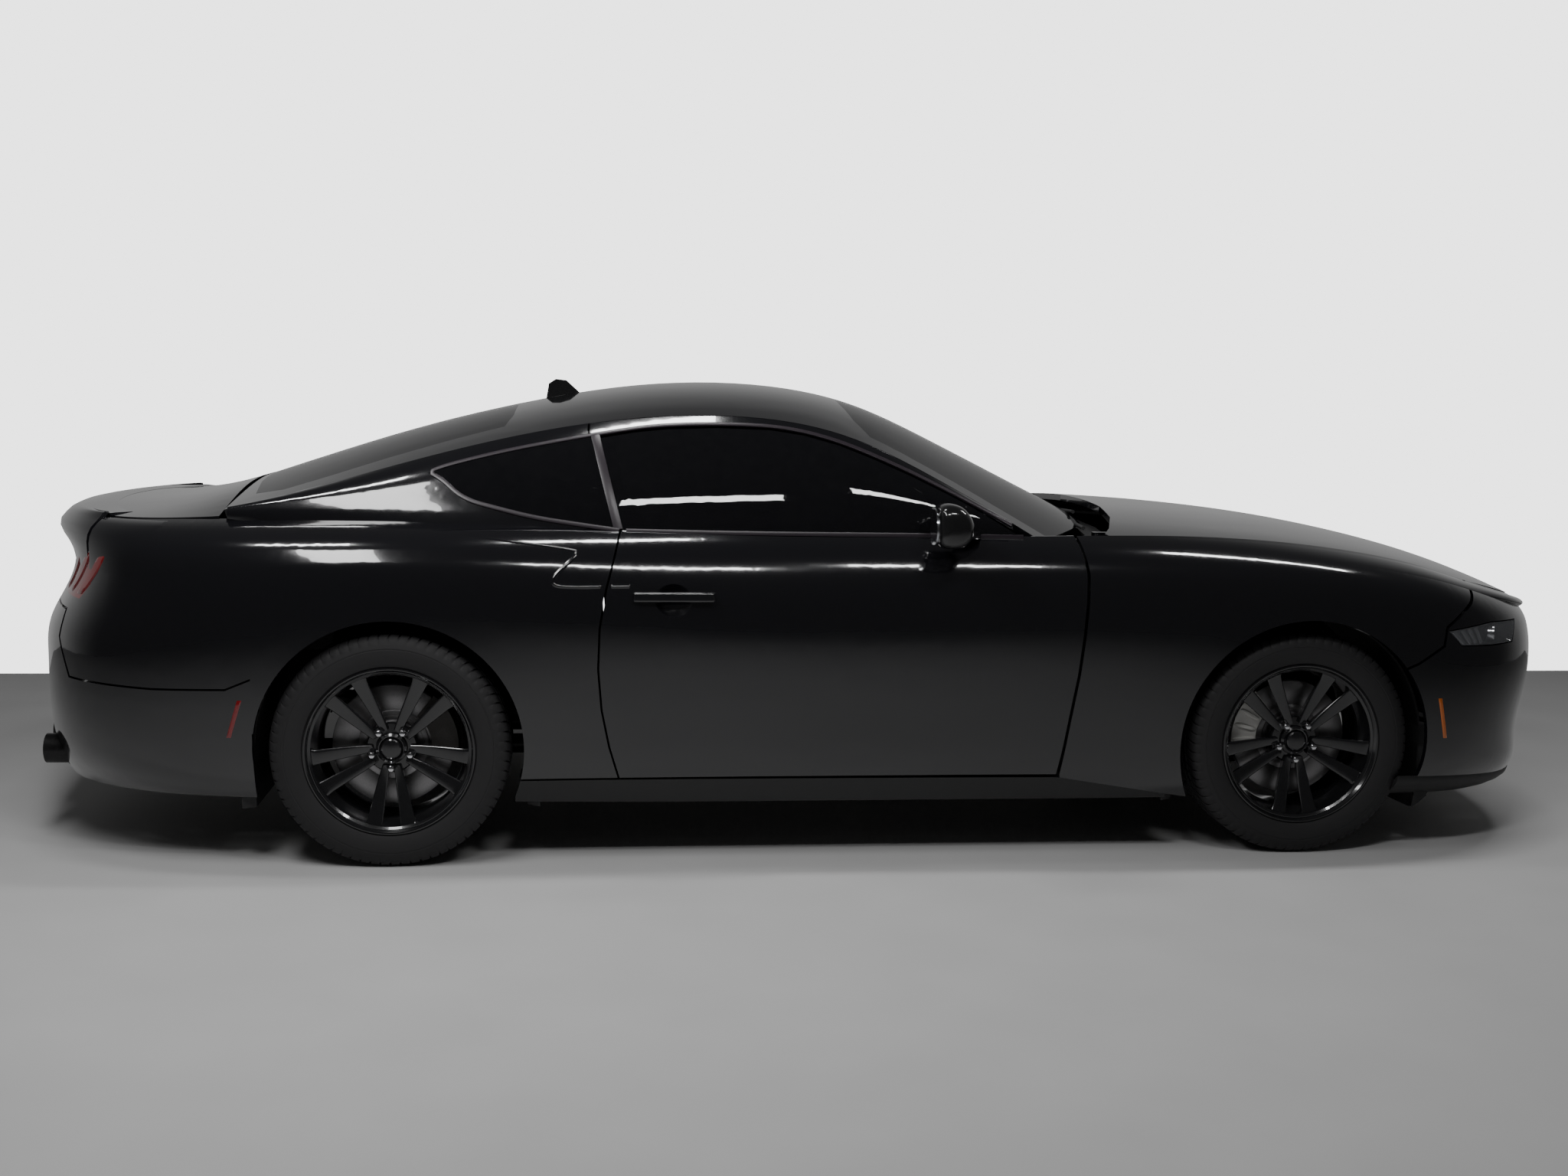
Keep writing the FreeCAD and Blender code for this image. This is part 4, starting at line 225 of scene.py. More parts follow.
PAINT = Finish(
    "gloss_black_paint", (0.004, 0.004, 0.005), (0.007, 0.007, 0.009), (0.10, 0.14), 900.0, coat=1.0,
)
TINTED = Finish(
    "dark_tinted_glass", (0.004, 0.004, 0.005), (0.007, 0.007, 0.008), (0.01, 0.02), 30.0, alpha=0.90,
)
LAMP_GLASS = Finish(
    "projector_lens", (0.16, 0.18, 0.21), (0.24, 0.26, 0.29), (0.02, 0.04), 60.0, metallic=0.4, coat=1.0,
)
CLEAR = Finish("clear_lens", (0.30, 0.31, 0.33), (0.36, 0.37, 0.39), (0.02, 0.04), 30.0, alpha=0.16)
PLASTIC = Finish(
    "grained_black_plastic", (0.010, 0.010, 0.010), (0.018, 0.018, 0.019), (0.45, 0.60),
    700.0, relief=0.0002,
)
PIANO = Finish(
    "gloss_black_plastic", (0.006, 0.006, 0.006), (0.010, 0.010, 0.011), (0.12, 0.20), 200.0, coat=0.6,
)
PLUM = Finish("window_trim_film", (0.020, 0.015, 0.020), (0.030, 0.024, 0.030), (0.28, 0.36), 300.0)
RED_LENS = Finish("red_lens", (0.16, 0.004, 0.006), (0.24, 0.010, 0.012), (0.06, 0.10), 120.0, coat=0.8)
AMBER_LENS = Finish("amber_lens", (0.42, 0.09, 0.010), (0.55, 0.14, 0.018), (0.10, 0.16), 120.0, coat=0.6)
LAMP_STEEL = Finish(
    "lamp_reflector", (0.35, 0.36, 0.38), (0.55, 0.56, 0.58), (0.12, 0.22), 90.0, metallic=1.0,
)
WHEEL_BLACK = Finish(
    "gloss_black_wheel", (0.006, 0.006, 0.007), (0.012, 0.012, 0.013), (0.14, 0.22), 260.0, coat=0.8,
)
BRIGHT = Finish("bright_nut", (0.60, 0.60, 0.62), (0.80, 0.80, 0.82), (0.10, 0.20), 260.0, metallic=1.0)
DISC_STEEL = Finish(
    "brake_disc_steel", (0.20, 0.20, 0.21), (0.34, 0.33, 0.33), (0.28, 0.46), 420.0, metallic=1.0,
)
CALIPER = Finish(
    "cast_caliper", (0.50, 0.50, 0.48), (0.66, 0.65, 0.62), (0.38, 0.55),
    340.0, metallic=0.3, relief=0.0003,
)
RUBBER = Finish(
    "tyre_rubber", (0.010, 0.010, 0.011), (0.022, 0.021, 0.022), (0.60, 0.78), 380.0, relief=0.0002,
)
LEATHER = Finish(
    "black_leather", (0.014, 0.013, 0.013), (0.026, 0.024, 0.024), (0.42, 0.58), 520.0, relief=0.0004,
)
STEEL = Finish(
    "chassis_steel", (0.030, 0.030, 0.032), (0.060, 0.060, 0.062), (0.45, 0.65),
    160.0, metallic=0.6, relief=0.0003,
)
UNDERSEAL = Finish(
    "underseal", (0.016, 0.016, 0.017), (0.030, 0.030, 0.030), (0.65, 0.85), 240.0, relief=0.0006,
)
CAST_IRON = Finish(
    "cast_iron", (0.05, 0.048, 0.046), (0.10, 0.095, 0.09), (0.55, 0.75),
    220.0, metallic=0.6, relief=0.0006,
)
EXHAUST = Finish(
    "dark_exhaust_steel", (0.015, 0.015, 0.016), (0.035, 0.034, 0.034), (0.26, 0.40), 130.0, metallic=0.6,
)
FLOOR = Finish("studio_floor", (0.50, 0.50, 0.50), (0.56, 0.56, 0.56), (0.55, 0.65), 3.0)


class Clay:
    """A mesh gathered as whole arrays of points and faces."""

    def __init__(self) -> None:
        """Starts empty."""
        self.points: list[np.ndarray] = []
        self.faces: list[np.ndarray] = []
        self.count = 0

    def add(self, points: np.ndarray, faces: list) -> None:
        """Adds points and the faces between them.

        Args:
            points: (n, 3) positions.
            faces: arrays of shape (m, corners) that index the points.
        """
        self.points.append(points.reshape(-1, 3))
        self.faces.extend(np.asarray(part) + self.count for part in faces)
        self.count += len(points.reshape(-1, 3))

    def grid(
        self, points: np.ndarray, loop_rows: bool = False, loop_columns: bool = False, caps: bool = False,
    ) -> None:
        """Adds a grid of points as quads, closed over rows or columns if asked.

        Args:
            points: (rows, columns, 3) positions.
            loop_rows: the last row joins the first.
            loop_columns: the last column joins the first.
            caps: the first and last row are filled, for a tube.
        """
        rows, columns = points.shape[:2]
        index = np.arange(rows * columns).reshape(rows, columns)
        if loop_rows:
            index = np.vstack([index, index[:1]])
        if loop_columns:
            index = np.hstack([index, index[:, :1]])
        quads = np.stack([index[:-1, :-1], index[:-1, 1:], index[1:, 1:], index[1:, :-1]], axis=-1)
        faces = [quads.reshape(-1, 4)]
        if caps:
            ring = np.arange(columns)
            faces.append(ring[None, ::-1])
            faces.append((ring + (rows - 1) * columns)[None, :])
        self.add(points, faces)

    def tube(self, rings: np.ndarray) -> None:
        """Adds rings of points as a tube with filled ends.

        Args:
            rings: (rings, corners, 3) positions.
        """
        self.grid(rings, loop_columns=True, caps=True)

    def absorb(self, other: "Clay") -> None:
        """Takes in all that another clay holds.

        Args:
            other: the clay to take in.
        """
        self.faces.extend(faces + self.count for faces in other.faces)
        self.points.extend(other.points)
        self.count += other.count

    def mirrored(self) -> "Clay":
        """Gives a copy mirrored in the plane Y = 0.

        Returns:
            The mirrored clay.
        """
        other = Clay()
        other.points = [points * np.array([1.0, -1.0, 1.0]) for points in self.points]
        other.faces = [faces[:, ::-1] for faces in self.faces]
        other.count = self.count
        return other

    def both(self) -> "Clay":
        """Gives this clay with its mirrored copy beside it.

        Returns:
            One clay that holds both sides.
        """
        whole = Clay()
        whole.absorb(self)
        whole.absorb(self.mirrored())
        return whole

    def build(
        self, name: str, finish: Finish, body: str, slot: str, sharp: float = 35.0,
    ) -> bpy.types.Object:
        """Makes the mesh object, welds it and sets smooth shading with sharp edges by angle.

        Args:
            name: the object's name.
            finish: its surface.
            body: the CAD body it rides on.
            slot: the record's material slot; not used.
            sharp: edges over this angle in degrees stay sharp.

        Returns:
            The object, riding on its body.
        """
        mesh = bpy.data.meshes.new(name)
        points = np.concatenate(self.points).astype(np.float32)
        corners = np.concatenate([faces.ravel() for faces in self.faces]).astype(np.int32)
        sizes = np.concatenate([np.full(len(faces), faces.shape[1]) for faces in self.faces])
        starts = np.concatenate([[0], np.cumsum(sizes)[:-1]]).astype(np.int32)
        mesh.vertices.add(len(points))
        mesh.vertices.foreach_set("co", points.ravel())
        mesh.loops.add(len(corners))
        mesh.loops.foreach_set("vertex_index", corners)
        mesh.polygons.add(len(sizes))
        mesh.polygons.foreach_set("loop_start", starts)
        mesh.update(calc_edges=True)
        mesh.validate()
        work = bmesh.new()
        work.from_mesh(mesh)
        bmesh.ops.remove_doubles(work, verts=work.verts, dist=1e-5)
        bmesh.ops.recalc_face_normals(work, faces=work.faces)
        work.to_mesh(mesh)
        work.free()
        mesh.shade_smooth()
        mesh.set_sharp_from_angle(angle=math.radians(sharp))
        made = bpy.data.objects.new(name, mesh)
        bpy.context.scene.collection.objects.link(made)
        mesh.materials.append(finish.material())
        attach(made, body)
        LOG.info("%s: %d faces", name, len(mesh.polygons))
        return made


@dataclass(frozen=True)
class Hub:
    """A wheel's own frame: along X, up Z, and out from the car along Y.

    Args:
        axle: which axle.
        side: which side.
    """

    axle: Axle
    side: Side

    @property
    def tag(self) -> str:
        """The ending of this wheel's node names."""
        return f"{self.axle.name.lower()}_{self.side.name.lower()}"

    @property
    def body(self) -> str:
        """The CAD body that this wheel rides on."""
        return f"{self.axle.name.lower()}_wheel_{self.side.name.lower()}"

    def world(self, local: np.ndarray) -> np.ndarray:
        """Places points given as (along, up, outward) from the hub's middle.

        Args:
            local: (..., 3) points.

        Returns:
            The points in the row frame.
        """
        station, reach = self.axle.value
        along, rise, outward = np.moveaxis(local, -1, 0)
        placed = (station + along, self.side.value * (reach + outward), HUB_HEIGHT + rise)
        return np.stack(placed, axis=-1)


def turned(profile: np.ndarray, steps: int) -> np.ndarray:
    """Spins a profile about the hub's line.

    Args:
        profile: (n, 2) radius and outward distance.
        steps: points round the circle.

    Returns:
        (steps, n, 3) points as (along, up, outward).
    """
    angle = np.linspace(0.0, 2.0 * np.pi, steps, endpoint=False)[:, None]
    radius = profile[None, :, 0]
    outward = np.broadcast_to(profile[None, :, 1], (steps, len(profile)))
    return np.stack([radius * np.cos(angle), radius * np.sin(angle), outward], axis=-1)


def rounded(corners: np.ndarray, radius: float, steps: int = 4) -> np.ndarray:
    """Rounds the corners of a closed line with quadratic curves.

    Args:
        corners: (n, 2) points in order.
        radius: distance along each leg that the curve takes, at most 0.45 of the leg.
        steps: points for each corner.

    Returns:
        (n * steps, 2) points.
    """
    before = np.roll(corners, 1, axis=0)
    after = np.roll(corners, -1, axis=0)
    legs_in = before - corners
    legs_out = after - corners
    long_in = np.linalg.norm(legs_in, axis=1, keepdims=True)
    long_out = np.linalg.norm(legs_out, axis=1, keepdims=True)
    start = corners + legs_in / long_in * np.minimum(radius, long_in * 0.45)
    end = corners + legs_out / long_out * np.minimum(radius, long_out * 0.45)
    share = np.linspace(0.0, 1.0, steps)[None, :, None]
    pull = corners[:, None] * 2 * share * (1 - share)
    bend = start[:, None] * (1 - share) ** 2 + pull + end[:, None] * share ** 2
    return bend.reshape(-1, 2)


@dataclass(frozen=True)
class Tyre:
    """A road tyre with rounded shoulders, side bands and a tread of grooved blocks.

    Args:
        radius: over the tread.
        groove: depth of the tread's grooves.
        draft: how far a groove's walls lean.
        crown: drop of the tread 50 mm off its middle.
        block_cut: depth of the cross grooves in the middle blocks, as a share of the shoulder's.
        cross_cut: depth of the shoulder's cross grooves, as a share of the long grooves.
        lean: turn of the cross grooves, in radians for each metre off the middle.
        pitches: tread blocks round the tyre.
    """

    radius: float = 0.343
    groove: float = 0.007
    draft: float = 0.0006
    crown: float = 0.0012
    block_cut: float = 0.55
    cross_cut: float = 0.8
    lean: float = 0.9
    pitches: int = 72

    def profile(self) -> tuple[np.ndarray, np.ndarray]:
        """The section from the outer bead over the tread to the inner bead.

        Returns:
            (n, 2) radius and outward distance, and for each point how deep a cross groove cuts it.
        """
        wall = np.array([
            (0.2310, 0.1000), (0.2340, 0.1030), (0.2395, 0.1045), (0.2440, 0.1055), (0.2470, 0.1062),
            (0.2480, 0.1092), (0.2520, 0.1108), (0.2600, 0.1135), (0.2720, 0.1162), (0.2850, 0.1175),
            (0.2960, 0.1170), (0.2968, 0.1160), (0.3005, 0.1157), (0.3012, 0.1160), (0.3100, 0.1138),
            (0.3180, 0.1110), (0.3260, 0.1070), (0.3325, 0.1020), (0.3370, 0.0965), (0.3398, 0.0900),
            (0.3410, 0.0840),
        ])
        shoulder = (0.15, 0.3, 0.5, 0.8, 1.0, 1.0)
        cross = np.zeros(len(wall))
        cross[-len(shoulder):] = shoulder
        half = np.array([0.0780, 0.0550, 0.0470, 0.0200, 0.0120])
        edges = np.concatenate([half, -half[::-1]])
        ribs: list = []
        depth: list = []
        for index, (first, second) in enumerate(zip(edges[:-1], edges[1:])):
            sunk = index % 2 == 1
            draft = self.draft if sunk else 0.0
            level = self.radius - self.crown * abs(first + second) / 0.1 - (self.groove if sunk else 0.0)
            ribs += [(level, first - draft), (level, second + draft)]
            depth += [0.0 if sunk or abs(first + second) < 0.01 else self.block_cut] * 2
        whole = np.vstack([wall, np.array(ribs), wall[::-1] * np.array([1.0, -1.0])])
        return whole, np.concatenate([cross, np.array(depth), cross[::-1]])

    def build(self, hub: Hub) -> bpy.types.Object:
        """Makes the tyre: the profile turned, with cross grooves that lean along the tread.

        Args:
            hub: the wheel it sits on.

        Returns:
            The tyre's object.
        """
        profile, cross = self.profile()
        share = np.array([0.0, 0.40, 0.80, 0.84, 0.96])
        base = ((np.arange(self.pitches)[:, None] + share[None, :]) / self.pitches).ravel() * 2.0 * np.pi
        sunk = np.tile(np.array([0.0, 0.0, 0.0, 1.0, 1.0]), self.pitches)
        angle = base[:, None] + (np.abs(profile[:, 1]) * self.lean)[None, :]
        radius = profile[None, :, 0] - sunk[:, None] * cross[None, :] * self.groove * self.cross_cut
        outward = np.broadcast_to(profile[None, :, 1], radius.shape)
        points = np.stack([radius * np.cos(angle), radius * np.sin(angle), outward], axis=-1)
        clay = Clay()
        clay.grid(hub.world(points), loop_rows=True)
        made = clay.build(f"tyre_{hub.tag}_tread", RUBBER, hub.body, "tyre", 28.0)
        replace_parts(made, f"tyre_{hub.tag}")
        return made


@dataclass(frozen=True)
class RoadWheel:
    """A cast wheel: turned rim, five pairs of bars that part towards it, hub with nuts and a blank cap.

    Args:
        spokes: pairs of bars.
        hub_face: outward distance of the hub's face.
        rim_face: outward distance of the bars at the rim.
        bar_depth: depth of a bar behind its face.
        lug_circle: radius of the circle of wheel nuts.
        bar_start: radius where the bars begin.
        bar_end: radius at which their middle lines end.
        seat: radius inside the rim where the bars end.
        nut_radius: radius over a nut's corners.
        bevel: how far the inner edge of a bar's face lies behind the outer one.
    """

    spokes: int = 5
    hub_face: float = 0.068
    rim_face: float = 0.094
    bar_depth: float = 0.034
    lug_circle: float = 0.05715
    bar_start: float = 0.050
    bar_end: float = 0.2235
    seat: float = 0.2262
    nut_radius: float = 0.0115
    bevel: float = 0.003

    def rim(self) -> np.ndarray:
        """The rim's section, from the outer lip through the barrel to the inner lip and back.

        Returns:
            (n, 2) radius and outward distance.
        """
        return np.array([
            (0.2300, 0.1030), (0.2415, 0.1040), (0.2440, 0.1060), (0.2446, 0.1085), (0.2436, 0.1112),
            (0.2405, 0.1120), (0.2375, 0.1108), (0.2335, 0.1060), (0.2285, 0.0990), (0.2255, 0.0900),
            (0.2215, 0.0760), (0.2160, 0.0560), (0.2140, 0.0300), (0.2130, -0.0400), (0.2180, -0.0800),
            (0.2260, -0.1000), (0.2380, -0.1060), (0.2440, -0.1085), (0.2440, -0.1115), (0.2400, -0.1120),
            (0.2320, -0.1060), (0.2230, -0.0980), (0.2110, -0.0780), (0.2070, -0.0400), (0.2070, 0.0300),
            (0.2100, 0.0560), (0.2220, 0.0900), (0.2240, 0.0980),
        ])

    def bar(self, turn: float, hand: float) -> np.ndarray:
        """One bar of a pair, as sections from the hub to the rim.

        The bar's middle leaves the spoke's line in a gentle curve, and its face rises towards the rim.

        Args:
            turn: the spoke's angle in radians.
            hand: +1 or -1, the side of the spoke's line.

        Returns:
            (sections, corners, 3) points as (along, up, outward).
        """
        share = np.linspace(0.0, 1.0, 17)
        radius = self.bar_start + (self.bar_end - self.bar_start) * share
        outer = 0.027 + 0.046 * share ** 0.9 + 0.008 * np.clip((share - 0.80) / 0.2, 0.0, 1.0) ** 2
        inner = 0.005 + 0.0215 * share ** 1.15
        offset = hand * (outer + inner) / 2.0
        half = (outer - inner) / 2.0
        rise = self.rim_face + 0.004 - self.hub_face
        face = self.hub_face - 0.004 + rise * (0.35 * share + 0.65 * share ** 2)
        depth = self.bar_depth * (1.0 - 0.25 * share)
        corners = ((-1.0, -0.10), (-0.72, 0.0), (0.72, 0.0), (1.0, -0.10), (0.72, -1.0), (-0.72, -1.0))
        section = rounded(np.array(corners), 0.12, 3)
        across = offset[:, None] + half[:, None] * section[None, :, 0]
        set_back = self.bevel * (section[None, :, 0] * hand < 0)
        outward = face[:, None] + depth[:, None] * section[None, :, 1] - set_back
        along = np.minimum(radius[:, None], np.sqrt(self.seat ** 2 - across ** 2))
        cosine, sine = math.cos(turn), math.sin(turn)
        return np.stack([along * cosine - across * sine, along * sine + across * cosine, outward], axis=-1)

    def nut(self, turn: float) -> np.ndarray:
        """A hexagon nut with a domed end on its stud.

        Args:
            turn: angle of the nut round the wheel.

        Returns:
            (levels, 6 * n, 3) points as (along, up, outward).
        """
        corners = np.stack([np.cos(np.arange(6) * np.pi / 3), np.sin(np.arange(6) * np.pi / 3)], axis=-1)
        ring = rounded(corners, 0.06, 3) * self.nut_radius
        scale = np.array([1.08, 1.08, 1.0, 1.0, 0.93, 0.70, 0.30, 0.02])
        level = self.hub_face + np.array([-0.030, -0.022, -0.020, 0.0060, 0.0095, 0.0125, 0.0140, 0.0142])
        centre = self.lug_circle * np.array([math.cos(turn), math.sin(turn)])
        flat = centre + ring[None, :, :] * scale[:, None, None]
        outward = np.broadcast_to(level[:, None, None], flat.shape[:2] + (1,))
        return np.concatenate([flat, outward], axis=-1)

    def build(self, hub: Hub) -> bpy.types.Object:
        """Makes the wheel, its nuts and its brake disc.

        Args:
            hub: the wheel's frame.

        Returns:
            The wheel's object.
        """
        clay = Clay()
        clay.grid(hub.world(turned(self.rim(), 120)), loop_rows=True, loop_columns=True)
        face = self.hub_face
        centre = np.array([
            (0.0005, face + 0.0070), (0.0150, face + 0.0066), (0.0255, face + 0.0050),
            (0.0290, face + 0.0025), (0.0298, face - 0.006), (0.0330, face - 0.008), (0.0345, face - 0.002),
            (0.0370, face - 0.001), (0.0440, face - 0.006), (0.0460, face - 0.016), (0.0700, face - 0.017),
            (0.0740, face - 0.022), (0.0780, face - 0.040), (0.0780, 0.012), (0.0005, 0.012),
        ])
        clay.grid(hub.world(turned(centre, 60)), loop_rows=True)
        nuts = Clay()
        for index in range(self.spokes):
            turn = -np.pi / 2 + index * 2.0 * np.pi / self.spokes
            for hand in (-1.0, 1.0):
                clay.tube(hub.world(self.bar(turn, hand)))
            nuts.tube(hub.world(self.nut(turn)))
        wheel = clay.build(f"wheel_{hub.tag}_cast", WHEEL_BLACK, hub.body, "wheel_metal", 24.0)
        nuts.build(f"wheel_{hub.tag}_nuts", BRIGHT, hub.body, "wheel_metal", 30.0)
        disc = Clay()
        plate = np.array([
            (0.086, 0.012), (0.086, 0.0065), (0.100, 0.0060), (0.1015, 0.0052), (0.1030, 0.0060),
            (0.1740, 0.0060), (0.1760, 0.0050), (0.1760, -0.0020), (0.1600, -0.0030), (0.1600, -0.0150),
            (0.1760, -0.0160), (0.1760, -0.0230), (0.1740, -0.0240), (0.0800, -0.0240), (0.0400, -0.0240),
            (0.0400, 0.012),
        ])
        disc.grid(hub.world(turned(plate, 96)), loop_rows=True, loop_columns=True)
        disc.build(f"brake_disc_{hub.tag}", DISC_STEEL, hub.body, "iron", 30.0)
        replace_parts(wheel, f"wheel_{hub.tag}")
        return wheel


class Net:
    """A smooth surface over a net of control points, cubic both ways with even knots.

    Args:
        poles: (rows, columns, 3) control points.
    """

    def __init__(self, poles: np.ndarray) -> None:
        """Keeps the poles, and counts the spans each way."""
        self.poles = poles
        self.spans = np.array([poles.shape[axis] - min(3, poles.shape[axis] - 1) for axis in (0, 1)], float)

    @staticmethod
    def weights(place: np.ndarray, count: int) -> np.ndarray:
        """The share of each control point at each place, by the Cox-de Boor rule.

        Args:
            place: parameters from 0 to the number of spans.
            count: control points along this way.

        Returns:
            (..., count) weights that sum to one.
        """
        degree = min(3, count - 1)
        spans = count - degree
        knots = np.concatenate([np.zeros(degree), np.arange(spans + 1.0), np.full(degree, float(spans))])
        at = np.clip(place, 0.0, spans - 1e-9)[..., None]
        value = ((at >= knots[:-1]) & (at < knots[1:])).astype(float)
        for order in range(1, degree + 1):
            before = knots[order:-1] - knots[:-order - 1]
            after = knots[order + 1:] - knots[1:-order]
            rise = np.where(before > 0, (at - knots[:-order - 1]) / np.where(before > 0, before, 1.0), 0.0)
            fall = np.where(after > 0, (knots[order + 1:] - at) / np.where(after > 0, after, 1.0), 0.0)
            value = rise * value[..., :-1] + fall * value[..., 1:]
        return value

    def at(self, across: np.ndarray, along: np.ndarray) -> np.ndarray:
        """Points of the surface.

        Args:
            across: parameters over the rows, as shares from 0 to 1.
            along: parameters over the columns, as shares from 0 to 1.

        Returns:
            (..., 3) points.
        """
        rows = self.weights(np.asarray(across) * self.spans[0], self.poles.shape[0])
        columns = self.weights(np.asarray(along) * self.spans[1], self.poles.shape[1])
        return np.einsum("...i,...j,ijk->...k", rows, columns, self.poles)

    def normal(self, across: np.ndarray, along: np.ndarray, towards: np.ndarray) -> np.ndarray:
        """Unit normals of the surface on the side of a given point.

        Args:
            across: shares over the rows.
            along: shares over the columns.
            towards: a point on the side that the normals face.

        Returns:
            (..., 3) normals.
        """
        step = 1e-4
        low, high = np.clip(across - step, 0, 1), np.clip(across + step, 0, 1)
        near, far = np.clip(along - step, 0, 1), np.clip(along + step, 0, 1)
        by_row = self.at(high, along) - self.at(low, along)
        by_column = self.at(across, far) - self.at(across, near)
        normal = np.cross(by_row, by_column)
        normal = normal / np.maximum(np.linalg.norm(normal, axis=-1, keepdims=True), 1e-12)
        sight = np.asarray(towards) - self.at(across, along)
        sign = np.sign(np.sum(normal * sight, axis=-1, keepdims=True))
        return normal * np.where(sign == 0, 1.0, sign)

    def locate(
        self, target: np.ndarray, axes: tuple, bounds: tuple = (0.0, 1.0),
    ) -> tuple[np.ndarray, np.ndarray]:
        """Finds where the surface has two given coordinates, by Newton steps from the nearest sample.

        Args:
            target: (..., 2) coordinates.
            axes: which two axes they are, such as (0, 2) for X and Z.
            bounds: the shares of the columns to look in.

        Returns:
            The shares over the rows and over the columns.
        """
        picked = list(axes)
        flat = np.asarray(target, float).reshape(-1, 2)
        rows, columns = np.meshgrid(np.linspace(0, 1, 41), np.linspace(*bounds, 161), indexing="ij")
        samples = self.at(rows, columns)[..., picked].reshape(-1, 2)
        nearest = np.argmin(np.sum((flat[:, None, :] - samples[None, :, :]) ** 2, axis=-1), axis=1)
        across, along = rows.ravel()[nearest], columns.ravel()[nearest]
        step = 1e-5
        for _ in range(8):
            high, low = np.minimum(across + step, 1), np.maximum(across - step, 0)
            far, near = np.minimum(along + step, 1), np.maximum(along - step, 0)
            by_row = (self.at(high, along) - self.at(low, along))[:, picked] / (high - low)[:, None]
            by_column = (self.at(across, far) - self.at(across, near))[:, picked] / (far - near)[:, None]
            miss = flat - self.at(across, along)[:, picked]
            area = by_row[:, 0] * by_column[:, 1] - by_row[:, 1] * by_column[:, 0]
            area = np.where(np.abs(area) < 1e-9, 1e-9, area)
            up = (miss[:, 0] * by_column[:, 1] - miss[:, 1] * by_column[:, 0]) / area
            on = (by_row[:, 0] * miss[:, 1] - by_row[:, 1] * miss[:, 0]) / area
            across = np.clip(across + np.clip(up, -0.05, 0.05), 0, 1)
            along = np.clip(along + np.clip(on, -0.02, 0.02), *bounds)
        shape = np.asarray(target).shape[:-1]
        return across.reshape(shape), along.reshape(shape)

    def drawn(
        self, target: np.ndarray, axes: tuple, lift: np.ndarray | float, towards: tuple,
        bounds: tuple = (0.0, 1.0),
    ) -> np.ndarray:
        """Points above the surface at given coordinates.

        Args:
            target: (..., 2) coordinates.
            axes: which two axes they are.
            lift: distance off the surface, (...) or one number.
            towards: a point on the side that counts as outside.
            bounds: the shares of the columns to look in.

        Returns:
            (..., 3) points.
        """
        across, along = self.locate(target, axes, bounds)
        outward = self.normal(across, along, np.array(towards))
        return self.at(across, along) + outward * np.asarray(lift)[..., None]

    def trace(self, line: tuple, steps: int, rounds: int) -> tuple[np.ndarray, np.ndarray]:
        """A line drawn on the surface as seen from the car's side, with its corners softened.

        Args:
            line: corners as X and Z.
            steps: points along the line.
            rounds: how often the corners are cut.

        Returns:
            (steps, 3) points and the outward normals at them.
        """
        across, along = self.locate(spaced(softened(np.array(line), rounds), steps), SIDE_VIEW)
        return self.at(across, along), self.normal(across, along, np.array(OUTSIDE))

    def rings(
        self, along: np.ndarray, hand: np.ndarray, heights: np.ndarray, offsets: np.ndarray, row: float,
        samples: int = 240,
    ) -> np.ndarray:
        """Lines of points at given heights, moved off the surface along its level normal.

        X and Y are read at each height between samples of a column. The level normal is square to the
        run of one row and points away from the cabin.

        Args:
            along: (n,) shares over the columns.
            hand: (n,) numbers that have the sign of Y on the side wanted.
            heights: (n, k) Z values; the surface's ends are used beyond them.
            offsets: (n, k) distances outwards.
            row: the row whose run gives the normal, as a share.
            samples: samples on each column.

        Returns:
            (n, k, 3) points.
        """
        skin = self.at(np.linspace(0.0, 1.0, samples)[None, :], along[:, None])
        flat = np.stack([np.stack([
            np.interp(level, line[:, 2], line[:, 0]), np.interp(level, line[:, 2], line[:, 1]),
        ], axis=-1) for level, line in zip(heights, skin)])
        step = 1e-3
        rows = np.full(len(along), row)
        ahead, behind = np.clip(along + step, 0, 1), np.clip(along - step, 0, 1)
        run = (self.at(rows, ahead) - self.at(rows, behind))[:, :2]
        run = run / np.linalg.norm(run, axis=1, keepdims=True)
        out = np.stack([-run[:, 1], run[:, 0]], axis=-1)
        cabin = np.array([np.sign(skin[0, -1, 0]), 0.0])
        out = out * np.sign(np.sum(out * (self.at(rows, along)[:, :2] - cabin), axis=1, keepdims=True))
        flat = flat + out[:, None, :] * offsets[..., None]
        flat[..., 1] *= np.where(hand < 0, -1.0, 1.0)[:, None]
        return np.concatenate([flat, heights[..., None]], axis=-1)


def body_nets() -> dict:
    """The car's left half as smooth surfaces, the same nets as in the part's source.

    Returns:
        Nets by name: side, deck and glass.
    """
    side = np.stack([np.array(SIDE_X), np.array(SIDE_Y), np.array(SIDE_Z)], axis=-1)
    deck_y, deck_x = np.meshgrid(np.array(DECK_Y), np.array(DECK_X), indexing="ij")
    sweep = DECK_SWEEP * (np.maximum(deck_y - DECK_Y[1], 0.0) / DECK_Y[3]) ** 2
    deck_x = deck_x + sweep * np.arange(len(DECK_X)) / (len(DECK_X) - 1.0)
    deck = np.stack([deck_x, deck_y, np.array(DECK_Z)], axis=-1)
    rail, belt = np.array(RAIL), np.array(BELT)
    climb = np.array(GLASS_ROW)[:, None, :]
    bow = climb[..., 1:] * np.array([0.0, 1.0, 1.0])
    glass = belt + (rail - belt) * climb[..., :1] + bow
    return {"side": Net(side), "deck": Net(deck), "glass": Net(glass)}


